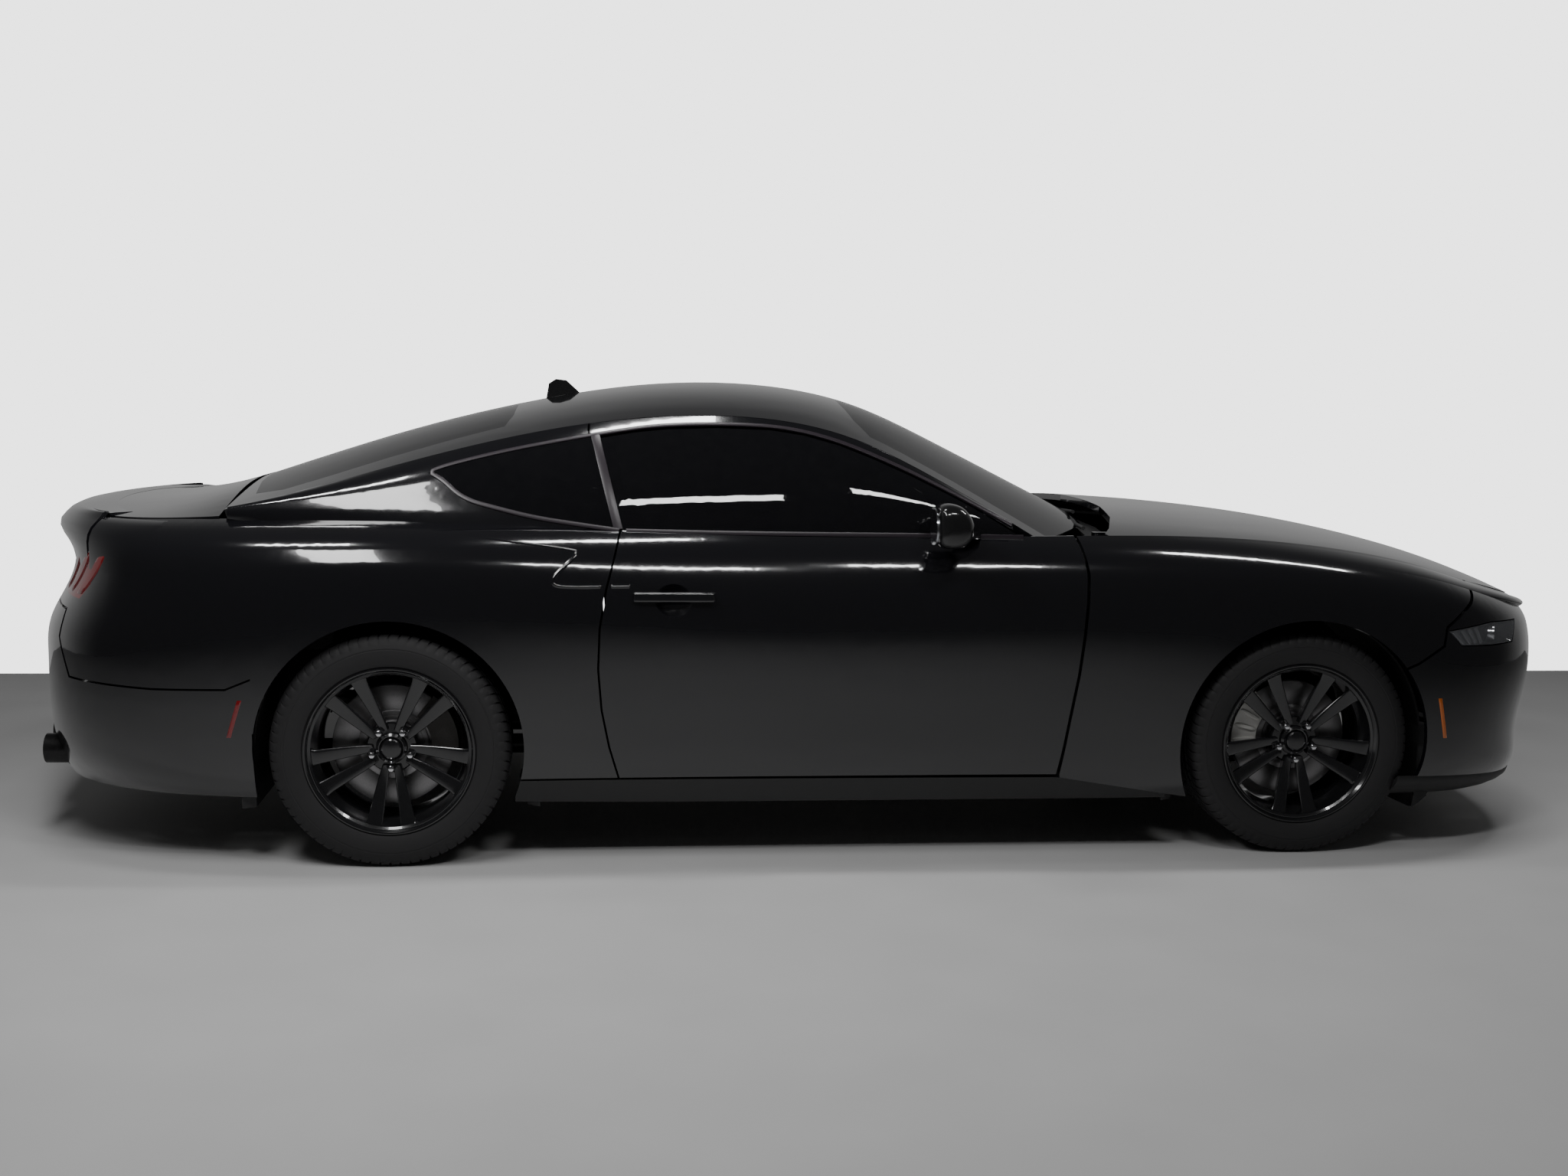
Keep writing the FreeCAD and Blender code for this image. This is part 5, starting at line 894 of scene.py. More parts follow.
def spaced(line: np.ndarray, steps: int) -> np.ndarray:
    """Even points along a line of straight legs.

    Args:
        line: (n, d) corners.
        steps: number of points.

    Returns:
        (steps, d) points.
    """
    line = np.asarray(line, float)
    legs = np.concatenate([[0.0], np.cumsum(np.linalg.norm(np.diff(line, axis=0), axis=1))])
    want = np.linspace(0.0, legs[-1], steps)
    return np.stack([np.interp(want, legs, line[:, axis]) for axis in range(line.shape[1])], axis=-1)


def softened(line: np.ndarray, rounds: int = 3) -> np.ndarray:
    """Rounds the corners of an open line by cutting them again and again.

    Args:
        line: (n, d) corners.
        rounds: how often the corners are cut.

    Returns:
        A longer line with the same ends.
    """
    line = np.asarray(line, float)
    for _ in range(rounds):
        first = line[:-1] * 0.75 + line[1:] * 0.25
        second = line[:-1] * 0.25 + line[1:] * 0.75
        middle = np.stack([first, second], axis=1).reshape(-1, line.shape[1])
        line = np.vstack([line[:1], middle, line[-1:]])
    return line


def strip(path: np.ndarray, facing: np.ndarray, section: np.ndarray) -> np.ndarray:
    """Sweeps a section along a path.

    Args:
        path: (n, 3) points.
        facing: (n, 3) or (3,) directions that the section's second axis follows.
        section: (k, 2) closed section: across and outwards.

    Returns:
        (n, k, 3) points.
    """
    run = np.gradient(path, axis=0)
    run = run / np.maximum(np.linalg.norm(run, axis=1, keepdims=True), 1e-12)
    facing = np.broadcast_to(facing, path.shape)
    across = np.cross(run, facing)
    across = across / np.maximum(np.linalg.norm(across, axis=1, keepdims=True), 1e-12)
    outward = np.cross(across, run)
    return path[:, None] + across[:, None] * section[None, :, :1] + outward[:, None] * section[None, :, 1:]


def between(upper: np.ndarray, lower: np.ndarray, columns: int, rows: int) -> np.ndarray:
    """A grid of points between two lines.

    Args:
        upper: (n, d) corners of the first line.
        lower: (m, d) corners of the second line.
        columns: points along the lines.
        rows: points from one line to the other.

    Returns:
        (rows, columns, d) points.
    """
    share = np.linspace(0.0, 1.0, rows)[:, None, None]
    return spaced(upper, columns)[None] * (1 - share) + spaced(lower, columns)[None] * share


def shell(front: np.ndarray, back: np.ndarray) -> Clay:
    """A closed solid between two grids of the same size.

    Args:
        front: (rows, columns, 3) outer points.
        back: (rows, columns, 3) inner points.

    Returns:
        The closed clay.
    """
    clay = Clay()
    clay.grid(front)
    clay.grid(back)
    for edge_front, edge_back in (
        (front[0], back[0]), (front[-1], back[-1]), (front[:, 0], back[:, 0]), (front[:, -1], back[:, -1]),
    ):
        clay.grid(np.stack([edge_front, edge_back]))
    return clay


def slab(width: float, low: float, high: float, radius: float, steps: int = 3) -> np.ndarray:
    """A rectangle with rounded corners, as a section to sweep.

    Args:
        width: across.
        low: the lower side, outwards from the path.
        high: the upper side.
        radius: distance that the rounding takes along each side.
        steps: points for each corner.

    Returns:
        (4 * steps, 2) points.
    """
    half = width / 2
    return rounded(np.array([(-half, low), (half, low), (half, high), (-half, high)]), radius, steps)


def pillow(rows: int, columns: int, top: float, row_power: int, column_power: int) -> np.ndarray:
    """The height of a soft-edged pad over a grid, flat in the middle and falling near its edges.

    It is top less the distances from the middle along rows and columns, each raised to its own power.

    Args:
        rows: points one way.
        columns: points the other way.
        top: what the powers are taken from.
        row_power: power for the first way.
        column_power: power for the second.

    Returns:
        (rows, columns) heights, held between 0 and 1.
    """
    across, along = np.meshgrid(np.linspace(-1, 1, rows), np.linspace(-1, 1, columns), indexing="ij")
    return np.clip(top - np.abs(across) ** row_power - np.abs(along) ** column_power, 0.0, 1.0)


def spun(profile: np.ndarray, centre: np.ndarray, facing: np.ndarray, steps: int) -> np.ndarray:
    """Spins a profile about a line that isn't upright.

    Args:
        profile: (n, 2) radius and distance along the line.
        centre: a point on the line.
        facing: the line's direction.
        steps: points round.

    Returns:
        (steps, n, 3) points.
    """
    axis = np.asarray(facing, float) / np.linalg.norm(facing)
    first = np.cross(axis, np.array([0.0, 0.0, 1.0]))
    first = first / np.linalg.norm(first)
    second = np.cross(axis, first)
    angle = np.linspace(0.0, 2.0 * np.pi, steps, endpoint=False)
    round_it = np.cos(angle)[:, None] * first + np.sin(angle)[:, None] * second
    return centre + round_it[:, None, :] * profile[None, :, :1] + axis * profile[None, :, 1:]


def on_doors(left: Clay, stem: str, finish: Finish, slot: str, sharp: float = 35.0) -> None:
    """Builds a clay on the left door and its mirrored copy on the right one.

    Args:
        left: the left side's clay.
        stem: the pieces' name without its side.
        finish: their surface.
        slot: the record's material slot.
        sharp: edges over this angle in degrees stay sharp.
    """
    for side, clay in zip(Side, (left, left.mirrored())):
        hand = side.name.lower()
        clay.build(f"{stem}_{hand}", finish, f"door_{hand}_assembly", slot, sharp)


@dataclass(frozen=True)
class Markers:
    """The four slim side markers, set a little proud of the bumper skins.

    Args:
        width: width along the car.
        proud: how far the lens stands off the skin.
        sunk: how far its back lies under it.
    """

    width: float = 0.013
    proud: float = 0.003
    sunk: float = 0.002

    def build(self, side: Net) -> None:
        """Makes the amber markers ahead and the red ones behind.

        Args:
            side: the side surface.
        """
        for name, finish, slot, line in (
            ("side_markers_amber", AMBER_LENS, "lamp", ((1.879, 0.488), (1.907, 0.363))),
            ("side_markers_red", RED_LENS, "red_lamp", ((-1.672, 0.497), (-1.706, 0.388))),
        ):
            middle = np.array(line)
            target = between(middle - (self.width / 2, 0), middle + (self.width / 2, 0), 24, 5)
            outer = side.drawn(target, SIDE_VIEW, self.proud * pillow(5, 24, 1.2, 4, 8), OUTSIDE)
            inner = side.drawn(target, SIDE_VIEW, -self.sunk, OUTSIDE)
            shell(outer, inner).both().build(name, finish, "body", slot)


@dataclass(frozen=True)
class WindowTrim:
    """The dark trim round the side windows, the belt strips and the strips behind the doors' glass.

    Args:
        width: width of the trim as seen.
        pillar: width of the strips behind the doors' glass.
        proud: how far it stands off the glass.
        sunk: how far it reaches into the glass.
        edge: rounding of its corners.
    """

    width: float = 0.013
    pillar: float = 0.026
    proud: float = 0.004
    sunk: float = 0.003
    edge: float = 0.0016

    def swept(self, glass: Net, line: tuple, width: float, steps: int) -> Clay:
        """Sweeps the trim's section along a line drawn on the side windows' surface.

        Args:
            glass: the window surface.
            line: corners as X and Z.
            width: the section's width.
            steps: points along the line.

        Returns:
            The left side's trim.
        """
        path, facing = glass.trace(line, steps, 3)
        clay = Clay()
        clay.tube(strip(path, facing, slab(width, -self.sunk, self.proud, self.edge)))
        return clay

    def build(self, glass: Net) -> None:
        """Makes the trim on both sides.

        Args:
            glass: the window surface.
        """
        top = (
            (0.566, 0.995), (0.450, 1.056), (0.376, 1.094), (0.269, 1.146), (0.163, 1.192),
            (0.057, 1.233), (-0.048, 1.261), (-0.152, 1.276), (-0.306, 1.280), (-0.460, 1.275),
            (-0.562, 1.264), (-0.765, 1.229), (-0.967, 1.189), (-1.178, 1.133), (-1.128, 1.117),
            (-1.060, 1.057), (-0.957, 1.031), (-0.860, 1.008), (-0.761, 0.993), (-0.606, 0.972),
        )
        pillar = ((-0.6775, 1.244), (-0.6420, 1.105), (-0.6080, 0.974))
        belt = ((0.600, 0.960), (0.300, 0.963), (0.000, 0.964), (-0.300, 0.966), (-0.585, 0.971))
        self.swept(glass, top, self.width, 150).both().build("window_surround", PLUM, "body", "trim")
        strips = self.swept(glass, pillar, self.pillar, 24).both()
        strips.build("window_pillar_strips", PLUM, "body", "trim")
        on_doors(self.swept(glass, belt, self.width, 70), "belt_strip", PLUM, "trim")


@dataclass(frozen=True)
class Headlamps:
    """Swept-back lamps, each with a clear cover, a dark bowl, a projector lens and leaning light bars.

    Args:
        upper: the cover's upper edge, as X and Z.
        lower: its lower edge.
        columns: the shares of the side surface's columns that the lamps lie in.
        cover: thickness of the cover.
        rim: how far the bowl's edge lies under the skin.
        depth: depth of the bowl behind its edge.
        bars: number of light bars.
        bar_sunk: how far the bars lie under the skin.
        lens_share: where the lens stands, as a share of the lamp's length.
        lens_sunk: how far it lies under the skin.
        lens_facing: the direction that it faces.
    """

    upper: tuple = ((1.901, 0.691), (2.060, 0.711), (2.174, 0.709))
    lower: tuple = ((1.947, 0.648), (2.060, 0.645), (2.149, 0.648))
    columns: tuple = (0.0, 0.40)
    cover: float = 0.003
    rim: float = 0.004
    depth: float = 0.046
    bars: int = 4
    bar_sunk: float = 0.014
    lens_share: float = 0.68
    lens_sunk: float = 0.020
    lens_facing: tuple = (0.90, 0.42, 0.0)

    def off_skin(self, side: Net, target: np.ndarray, lift: np.ndarray | float) -> np.ndarray:
        """Points of the lamp at given X and Z.

        Args:
            side: the side surface.
            target: (..., 2) X and Z values.
            lift: distance off the skin.

        Returns:
            (..., 3) points.
        """
        return side.drawn(target, SIDE_VIEW, lift, AHEAD, self.columns)

    def build(self, side: Net) -> None:
        """Makes both lamps.

        Args:
            side: the side surface.
        """
        rows, columns, legs = 12, 60, 60
        target = between(self.upper, self.lower, columns, rows)
        skin = self.off_skin(side, target, 0.0)
        cover = shell(skin, self.off_skin(side, target, -self.cover))
        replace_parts(cover.both().build("headlamp_covers", CLEAR, "body", "lamp"), "headlamps")
        across, along = np.meshgrid(np.linspace(-1, 1, rows), np.linspace(-1, 1, columns), indexing="ij")
        well = np.clip(1.0 - np.abs(across) ** 6, 0.0, 1.0) * np.clip(1.0 - np.abs(along) ** 10, 0.0, 1.0)
        floor = self.off_skin(side, target, -self.rim - self.depth * 0.8 * well)
        back = self.off_skin(side, target, -self.rim - self.depth)
        shell(floor, back).both().build("headlamp_bowls", PIANO, "body", "lamp")
        upper, lower = spaced(self.upper, legs + 1), spaced(self.lower, legs + 1)
        lights = Clay()
        for index in range(self.bars):
            spot = int((0.08 + 0.105 * index) * legs)
            line = spaced(np.stack([upper[spot], lower[spot + 2]]), 12)[1:-1]
            path = self.off_skin(side, line, -self.bar_sunk)
            lights.tube(strip(path, np.array([0.3, 1.0, 0.1]), slab(0.013, -0.010, 0.004, 0.003)))
        lights.both().build("headlamp_light_bars", LAMP_STEEL, "body", "lamp")
        spot = int(self.lens_share * legs)
        middle = (upper[spot] + lower[spot]) / 2
        centre = self.off_skin(side, middle[None], -self.lens_sunk)[0]
        facing = np.array(self.lens_facing)
        tub = np.array([(0.020, -0.014), (0.026, -0.012), (0.028, 0.006), (0.026, 0.008), (0.023, -0.004)])
        dome = np.array([
            (0.0003, 0.010), (0.009, 0.0085), (0.016, 0.005), (0.021, 0.000), (0.0225, -0.006),
            (0.0003, -0.006),
        ])
        tubs = Clay()
        tubs.grid(spun(tub, centre, facing, 36), loop_rows=True, loop_columns=True)
        tubs.both().build("headlamp_tubs", LAMP_STEEL, "body", "lamp")
        lens = Clay()
        lens.grid(spun(dome, centre, facing, 36), loop_rows=True)
        lens.both().build("headlamp_lenses", LAMP_GLASS, "body", "lamp")


@dataclass(frozen=True)
class TailLamps:
    """Three leaning red bars on each side of the tail, the outer one wrapping round the corner.

    Args:
        step: distance between bars along the tail.
        bars: bars on each side.
        width: width of a bar.
        proud: how far a bar stands off the skin, and how far it reaches in.
        columns: the shares of the side surface's columns that the tail takes.
    """

    step: float = 0.092
    bars: int = 3
    width: float = 0.044
    proud: float = 0.004
    columns: tuple = (0.70, 1.0)

    def build(self, side: Net) -> None:
        """Makes the red bars on both sides.

        Args:
            side: the side surface.
        """
        corners = np.array([[(-2.072, 0.850), (-2.148, 0.772)], [(-2.092, 0.880), (-2.176, 0.797)]])
        across, along = side.locate(corners, SIDE_VIEW, self.columns)
        share = np.linspace(*self.columns, 400)
        reach = side.at(np.full(400, across.mean()), share)
        legs = np.concatenate([[0.0], np.cumsum(np.linalg.norm(np.diff(reach, axis=0), axis=1))])
        start, end = np.interp(along.mean(axis=0), share, legs)
        top, bottom = across.max() + 0.012, across.min() - 0.004
        rows, columns = np.meshgrid(np.linspace(0, 1, 9), np.linspace(0, 1, 18), indexing="ij")
        level = top + (bottom - top) * columns
        lift = (self.proud * pillow(9, 18, 1.15, 6, 10))[..., None]
        clay = Clay()
        for index in range(self.bars):
            length = start + index * self.step + columns * (end - start) + (rows - 0.5) * self.width
            place = np.interp(length, legs, share)
            skin = side.at(level, place)
            outward = side.normal(level, place, np.array(BEHIND))
            clay.absorb(shell(skin + outward * lift, skin - outward * self.proud))
        clay.both().build("tail_lamp_bars", RED_LENS, "body", "red_lamp")


@dataclass(frozen=True)
class CaliperRibs:
    """Upright ribs on the outer face of each front brake caliper.

    Args:
        angles: where the ribs stand round the disc, in degrees.
        inner: radius of their inner ends.
        outer: radius of their outer ends.
        width: width of a rib.
        face: outward distance of the caliper's face.
        proud: height of a rib over it.
        edge: rounding of a rib's corners.
    """

    angles: tuple = (136.0, 151.0, 166.0, 181.0)
    inner: float = 0.116
    outer: float = 0.184
    width: float = 0.013
    face: float = 0.0255
    proud: float = 0.0065
    edge: float = 0.0025

    def build(self, hub: Hub) -> None:
        """Makes the ribs of one caliper, which steer with its knuckle.

        Args:
            hub: a front wheel's frame.
        """
        section = slab(self.width, 0.0, self.proud, self.edge)
        swell = np.array([0.45, 0.85, 1.0, 1.0, 1.0, 1.0, 1.0, 0.85, 0.45])
        radius = self.inner + (self.outer - self.inner) * np.linspace(0.0, 1.0, len(swell))[:, None]
        across = section[None, :, 0] * swell[:, None]
        outward = self.face + section[None, :, 1] * swell[:, None]
        clay = Clay()
        for angle in np.radians(self.angles):
            along = radius * math.cos(angle) - across * math.sin(angle)
            rise = radius * math.sin(angle) + across * math.cos(angle)
            clay.tube(hub.world(np.stack([along, rise, outward], axis=-1)))
        side = hub.side.name.lower()
        clay.build(f"caliper_ribs_{side}", CALIPER, f"steering_{side}", "iron")


@dataclass(frozen=True)
class TailLip:
    """The upturned lip along the boot lid's rear edge, carried on round the corners of the quarters.

    Args:
        reach: how far the lip stands off the tail.
        lid_half: Y where the lid's piece ends.
        corner_start: Y where the corner pieces start.
        corner_end: Y where they run out.
        columns: the shares of the side surface's columns that the tail takes.
        seam: height of the lid's rear seam.
        thick: thickness of the lip over the lid.
    """

    reach: float = 0.060
    lid_half: float = 0.598
    corner_start: float = 0.607
    corner_end: float = 0.700
    columns: tuple = (0.70, 1.0)
    seam: float = 0.978
    thick: float = 0.010

    def fade(self, across: np.ndarray) -> np.ndarray:
        """How much of the lip is left at given Y values: all of it in the middle, less round the corners.

        Args:
            across: Y values of either sign.

        Returns:
            Shares from 0 to 1.
        """
        share = np.clip((np.abs(across) - 0.30) / 0.42, 0.0, 1.0)
        return 1.0 - 0.80 * share ** 2 * (3.0 - 2.0 * share)

    def outlines(
        self, side: Net, across: np.ndarray, heights: np.ndarray, offsets: np.ndarray,
    ) -> np.ndarray:
        """Points at given Y and height, moved off the tail along the upper edge's level normal.

        Args:
            side: the side surface.
            across: (n,) Y values of either sign, on the upper edge.
            heights: (k,) Z values.
            offsets: (n, k) distances, outwards from the car.

        Returns:
            (n, k, 3) points.
        """
        share = np.linspace(*self.columns, 600)
        reach = side.at(np.ones(600), share)[:, 1]
        order = np.argsort(reach)
        along = np.interp(np.abs(across), reach[order], share[order])
        return side.rings(along, across, np.broadcast_to(heights, offsets.shape), offsets, 1.0)

    def build(self, side: Net, deck: Net) -> None:
        """Makes the lip in its three pieces.

        Args:
            side: the side surface.
            deck: the boot lid's top surface.
        """
        rear = np.array([
            (0.9985, 0.20), (0.9955, 0.52), (0.9870, 0.80), (0.9740, 0.97), (0.9570, 1.02), (0.9380, 0.94),
            (0.9180, 0.72), (0.8980, 0.44), (0.8780, 0.22), (0.8580, 0.08), (0.8420, -0.02),
        ])
        across = np.linspace(-self.lid_half, self.lid_half, 141)
        offsets = self.fade(across)[:, None] * rear[None, :, 1] * self.reach
        outer = self.outlines(side, across, rear[:, 0], offsets)
        inner = self.outlines(side, across, rear[::-1, 0], np.full_like(offsets, -0.008))
        inward = np.array([-0.090, -0.060, -0.035, -0.012])
        top = self.outlines(side, across, np.full(4, self.seam), np.broadcast_to(inward, (141, 4)))
        target = np.stack([top[..., 0], np.abs(top[..., 1])], axis=-1)
        lid = deck.at(*deck.locate(target, TOP_VIEW))
        top[..., 2] = lid[..., 2] + np.array([0.0006, 0.0030, 0.0048, 0.0052])
        under = top[:, ::-1] - np.array([0.0, 0.0, self.thick])
        clay = Clay()
        clay.tube(np.concatenate([top, outer, inner, under], axis=1))
        clay.build("boot_lip", PAINT, "boot_lid", "paint", 60.0)
        across = np.linspace(self.corner_start, self.corner_end, 24)
        rear = rear[2:] - np.array([0.004, 0.0])
        run_out = (self.corner_end - across) / (self.corner_end - self.corner_start)
        ends = np.sqrt(np.clip(run_out, 0.0, 1.0))
        offsets = (self.fade(across) * ends)[:, None] * rear[None, :, 1] * self.reach
        outer = self.outlines(side, across, rear[:, 0], offsets)
        inner = self.outlines(side, across, rear[::-1, 0], np.full_like(offsets, -0.004))
        corner = Clay()
        corner.tube(np.concatenate([outer, inner], axis=1))
        corner.both().build("quarter_lips", PAINT, "body", "paint", 60.0)


@dataclass(frozen=True)
class NoseLip:
    """The black lip under the nose, and a small air deflector ahead of each front wheel.

    Args:
        proud: how far the lip stands off the skin.
        share_end: where it ends on the side surface, near the wheel opening.
        row: the row of the surface whose run the lip follows.
        plate_x: station of the deflectors.
        plate_half: half of a deflector's thickness.
        fin_y: the two faces of the fin at a deflector's outer end.
    """

    proud: float = 0.012
    share_end: float = 0.262
    row: float = 0.02
    plate_x: float = 1.850
    plate_half: float = 0.003
    fin_y: tuple = (0.846, 0.852)

    def build(self, side: Net) -> None:
        """Makes the lip and the deflectors.

        Args:
            side: the side surface.
        """
        hand = np.linspace(-1.0, 1.0, 161)
        share = np.abs(hand) * self.share_end
        section = np.array([
            (0.060, -0.10), (0.053, 0.35), (0.041, 0.85), (0.026, 1.0), (0.010, 0.90), (-0.001, 0.35),
            (-0.006, -0.8), (0.000, -1.4), (0.012, -1.1), (0.040, -0.8),
        ])
        level = side.at(np.zeros(161), share)[:, 2:] + section[None, :, 0]
        offsets = np.broadcast_to(section[:, 1] * self.proud, level.shape)
        lip = Clay()
        lip.tube(side.rings(share, hand, level, offsets, self.row))
        lip.build("nose_lip", PLASTIC, "body", "black_plastic", 60.0)
        plate_x = self.plate_x
        outline = np.array([(0.600, 0.200), (0.868, 0.200), (0.850, 0.128), (0.625, 0.118)])
        outline = rounded(outline, 0.020, 5)
        fin = np.array([(plate_x - 0.010, 0.198), (1.905, 0.192), (1.888, 0.160), (plate_x - 0.002, 0.126)])
        fin = rounded(fin, 0.008, 4)
        plates = Clay()
        plates.tube(np.stack([
            np.stack([np.full(len(outline), x), outline[:, 0], outline[:, 1]], axis=-1)
            for x in (plate_x - self.plate_half, plate_x + self.plate_half)
        ]))
        plates.tube(np.stack([
            np.stack([fin[:, 0], np.full(len(fin), y), fin[:, 1]], axis=-1) for y in self.fin_y
        ]))
        plates.both().build("air_deflectors", PLASTIC, "body", "black_plastic")


@dataclass(frozen=True)
class NoseBrow:
    """The sharp edge that runs across the nose above the grille and the lamps.

    Args:
        reach: how far the edge stands off the skin.
        full_end: Y up to which it has its full reach.
        fade_end: Y where it has run out.
        least: the share of its reach that is left there.
        row: the row of the surface whose run the edge follows.
    """

    reach: float = 0.024
    full_end: float = 0.620
    fade_end: float = 0.775
    least: float = 0.04
    row: float = 0.9

    def build(self, side: Net) -> None:
        """Makes the edge.

        Args:
            side: the side surface.
        """
        hand = np.linspace(-1.0, 1.0, 181)
        reach = np.linspace(0.0, 0.5, 400)
        stop = np.interp(self.fade_end, side.at(np.ones(400), reach)[:, 1], reach)
        share = np.abs(hand) * stop
        crown = side.at(np.ones(181), share)
        fade = np.clip((self.fade_end - crown[:, 1]) / (self.fade_end - self.full_end), 0.0, 1.0)
        fade = fade ** 2 * (3.0 - 2.0 * fade)
        section = np.array([
            (0.0050, -0.10), (0.0065, 0.40), (0.0100, 0.74), (0.0150, 0.95), (0.0200, 1.0),
            (0.0250, 0.90), (0.0300, 0.62), (0.0340, 0.30), (0.0370, -0.05), (0.0350, -0.35),
            (0.0200, -0.35), (0.0080, -0.30),
        ])
        level = crown[:, 2:] - section[None, :, 0]
        offsets = section[None, :, 1] * self.reach * np.maximum(fade, self.least)[:, None]
        clay = Clay()
        clay.tube(side.rings(share, hand, level, offsets, self.row, 300))
        clay.build("nose_brow", PAINT, "body", "paint", 60.0)


@dataclass(frozen=True)
class LinerEnds:
    """The lower ends of the wheel arch liners, ahead of and behind each wheel.

    Args:
        radius: inner radius round the hub.
        wall: thickness of the liner.
        near: Y of the inner edge.
        far: Y of the outer edge.
        high: angle over the hub's level where the moulded end starts, in degrees.
        low: angle under it where it stops.
        flange: distance from the hub's station to the rim that meets the skin.
        sill: height under which the skin isn't followed.
        inside: how far the rim stays behind the skin.
    """

    radius: float = 0.3885
    wall: float = 0.004
    near: float = 0.480
    far: float = 0.862
    high: float = 9.0
    low: float = -27.0
    flange: float = 0.424
    sill: float = 0.196
    inside: float = 0.010

    def build(self, hubs: list, side: Net) -> None:
        """Makes the ends for all the wheels: upright walls that turn out to the edges of the openings.

        Args:
            hubs: the wheels' frames.
            side: the side surface.
        """
        clay = Clay()
        sweep = np.radians(np.linspace(self.high, self.low, 19))
        ones = np.ones(len(sweep))
        reach = np.cos(np.maximum(sweep, 0.0))
        level = HUB_HEIGHT + self.radius * np.sin(sweep)
        for hub in hubs:
            station = hub.axle.value[0]
            for hand in (-1.0, 1.0):
                rim = station + hand * self.flange
                edge = np.stack([rim * ones, np.maximum(level, self.sill)], axis=-1)
                skin = side.drawn(edge, SIDE_VIEW, -self.inside, OUTSIDE)
                outer = self.far + np.maximum(skin[:, 1] - self.far, 0.0)
                corners: list = []
                for step in (0.0, self.wall):
                    wall = station + hand * (self.radius + step) * reach
                    lip = station + hand * (self.flange + step * 0.5)
                    line = [(wall, self.near), (wall, self.far), (lip, outer)]
                    corners += line if step == 0.0 else line[::-1]
                clay.tube(np.stack([
                    np.stack([along * ones, across * hub.side.value * ones, level], axis=-1)
                    for along, across in corners
                ], axis=1))
        clay.build("liner_ends", PLASTIC, "body", "black_plastic")


@dataclass(frozen=True)
class RearDiffuser:
    """The black panel low in the middle of the rear bumper, with upright fins.

    Args:
        half: half of its width.
        taper: how much narrower it is at the top, as a share.
        base: height of its lower edge.
        rise: height of the panel in the middle.
        droop: how much lower it is at its ends.
        proud: how far it stands off the skin.
        sunk: how far it reaches in.
        columns: the shares of the side surface's columns that the tail takes.
        fins: Y values of the fins.
        fin_span: heights between which the fins run.
        depth: how far the fins stand off the panel.
    """

    half: float = 0.430
    taper: float = 0.06
    base: float = 0.196
    rise: float = 0.150
    droop: float = 0.030
    proud: float = 0.0035
    sunk: float = 0.004
    columns: tuple = (0.72, 1.0)
    fins: tuple = (-0.330, -0.110, 0.110, 0.330)
    fin_span: tuple = (0.204, 0.322)
    depth: float = 0.020

    def off_tail(
        self, side: Net, across: np.ndarray, level: np.ndarray, lift: np.ndarray | float,
    ) -> np.ndarray:
        """Points off the tail's skin at given Y and Z.

        Args:
            side: the side surface.
            across: Y values of either sign.
            level: Z values.
            lift: distance off the skin.

        Returns:
            (..., 3) points.
        """
        target = np.stack([np.maximum(np.abs(across), 0.004), level], axis=-1)
        points = side.drawn(target, END_VIEW, lift, BEHIND, self.columns)
        points[..., 1] = across
        return points

    def build(self, side: Net) -> None:
        """Makes the panel with its fins.

        Args:
            side: the side surface.
        """
        across, share = np.meshgrid(np.linspace(-1.0, 1.0, 61), np.linspace(0.0, 1.0, 12), indexing="ij")
        level = self.base + share * (self.rise - self.droop * across ** 2)
        across = across * self.half * (1.0 - self.taper * share)
        lift = self.proud * pillow(61, 12, 1.1, 14, 10)
        outer = self.off_tail(side, across, level, lift)
        clay = shell(outer, self.off_tail(side, across, level, -self.sunk))
        swell = np.array([0.15, 0.6, 0.85, 1.0, 1.0, 0.95, 0.85, 0.70, 0.50, 0.30, 0.12]) * self.depth
        ones = np.ones(len(swell))
        corners = ((0.004, -0.003, 0.0), (0.0, -0.002, 1.0), (0.0, 0.002, 1.0), (0.004, 0.003, 0.0))
        for place in self.fins:
            path = self.off_tail(side, place * ones, np.linspace(*self.fin_span, len(swell)), 0.0)
            clay.tube(np.stack([
                path + np.stack([ahead - swell * tip, beside * ones, 0.0 * ones], axis=-1)
                for ahead, beside, tip in corners
            ], axis=1))
        clay.build("rear_diffuser", PLASTIC, "body", "black_plastic")


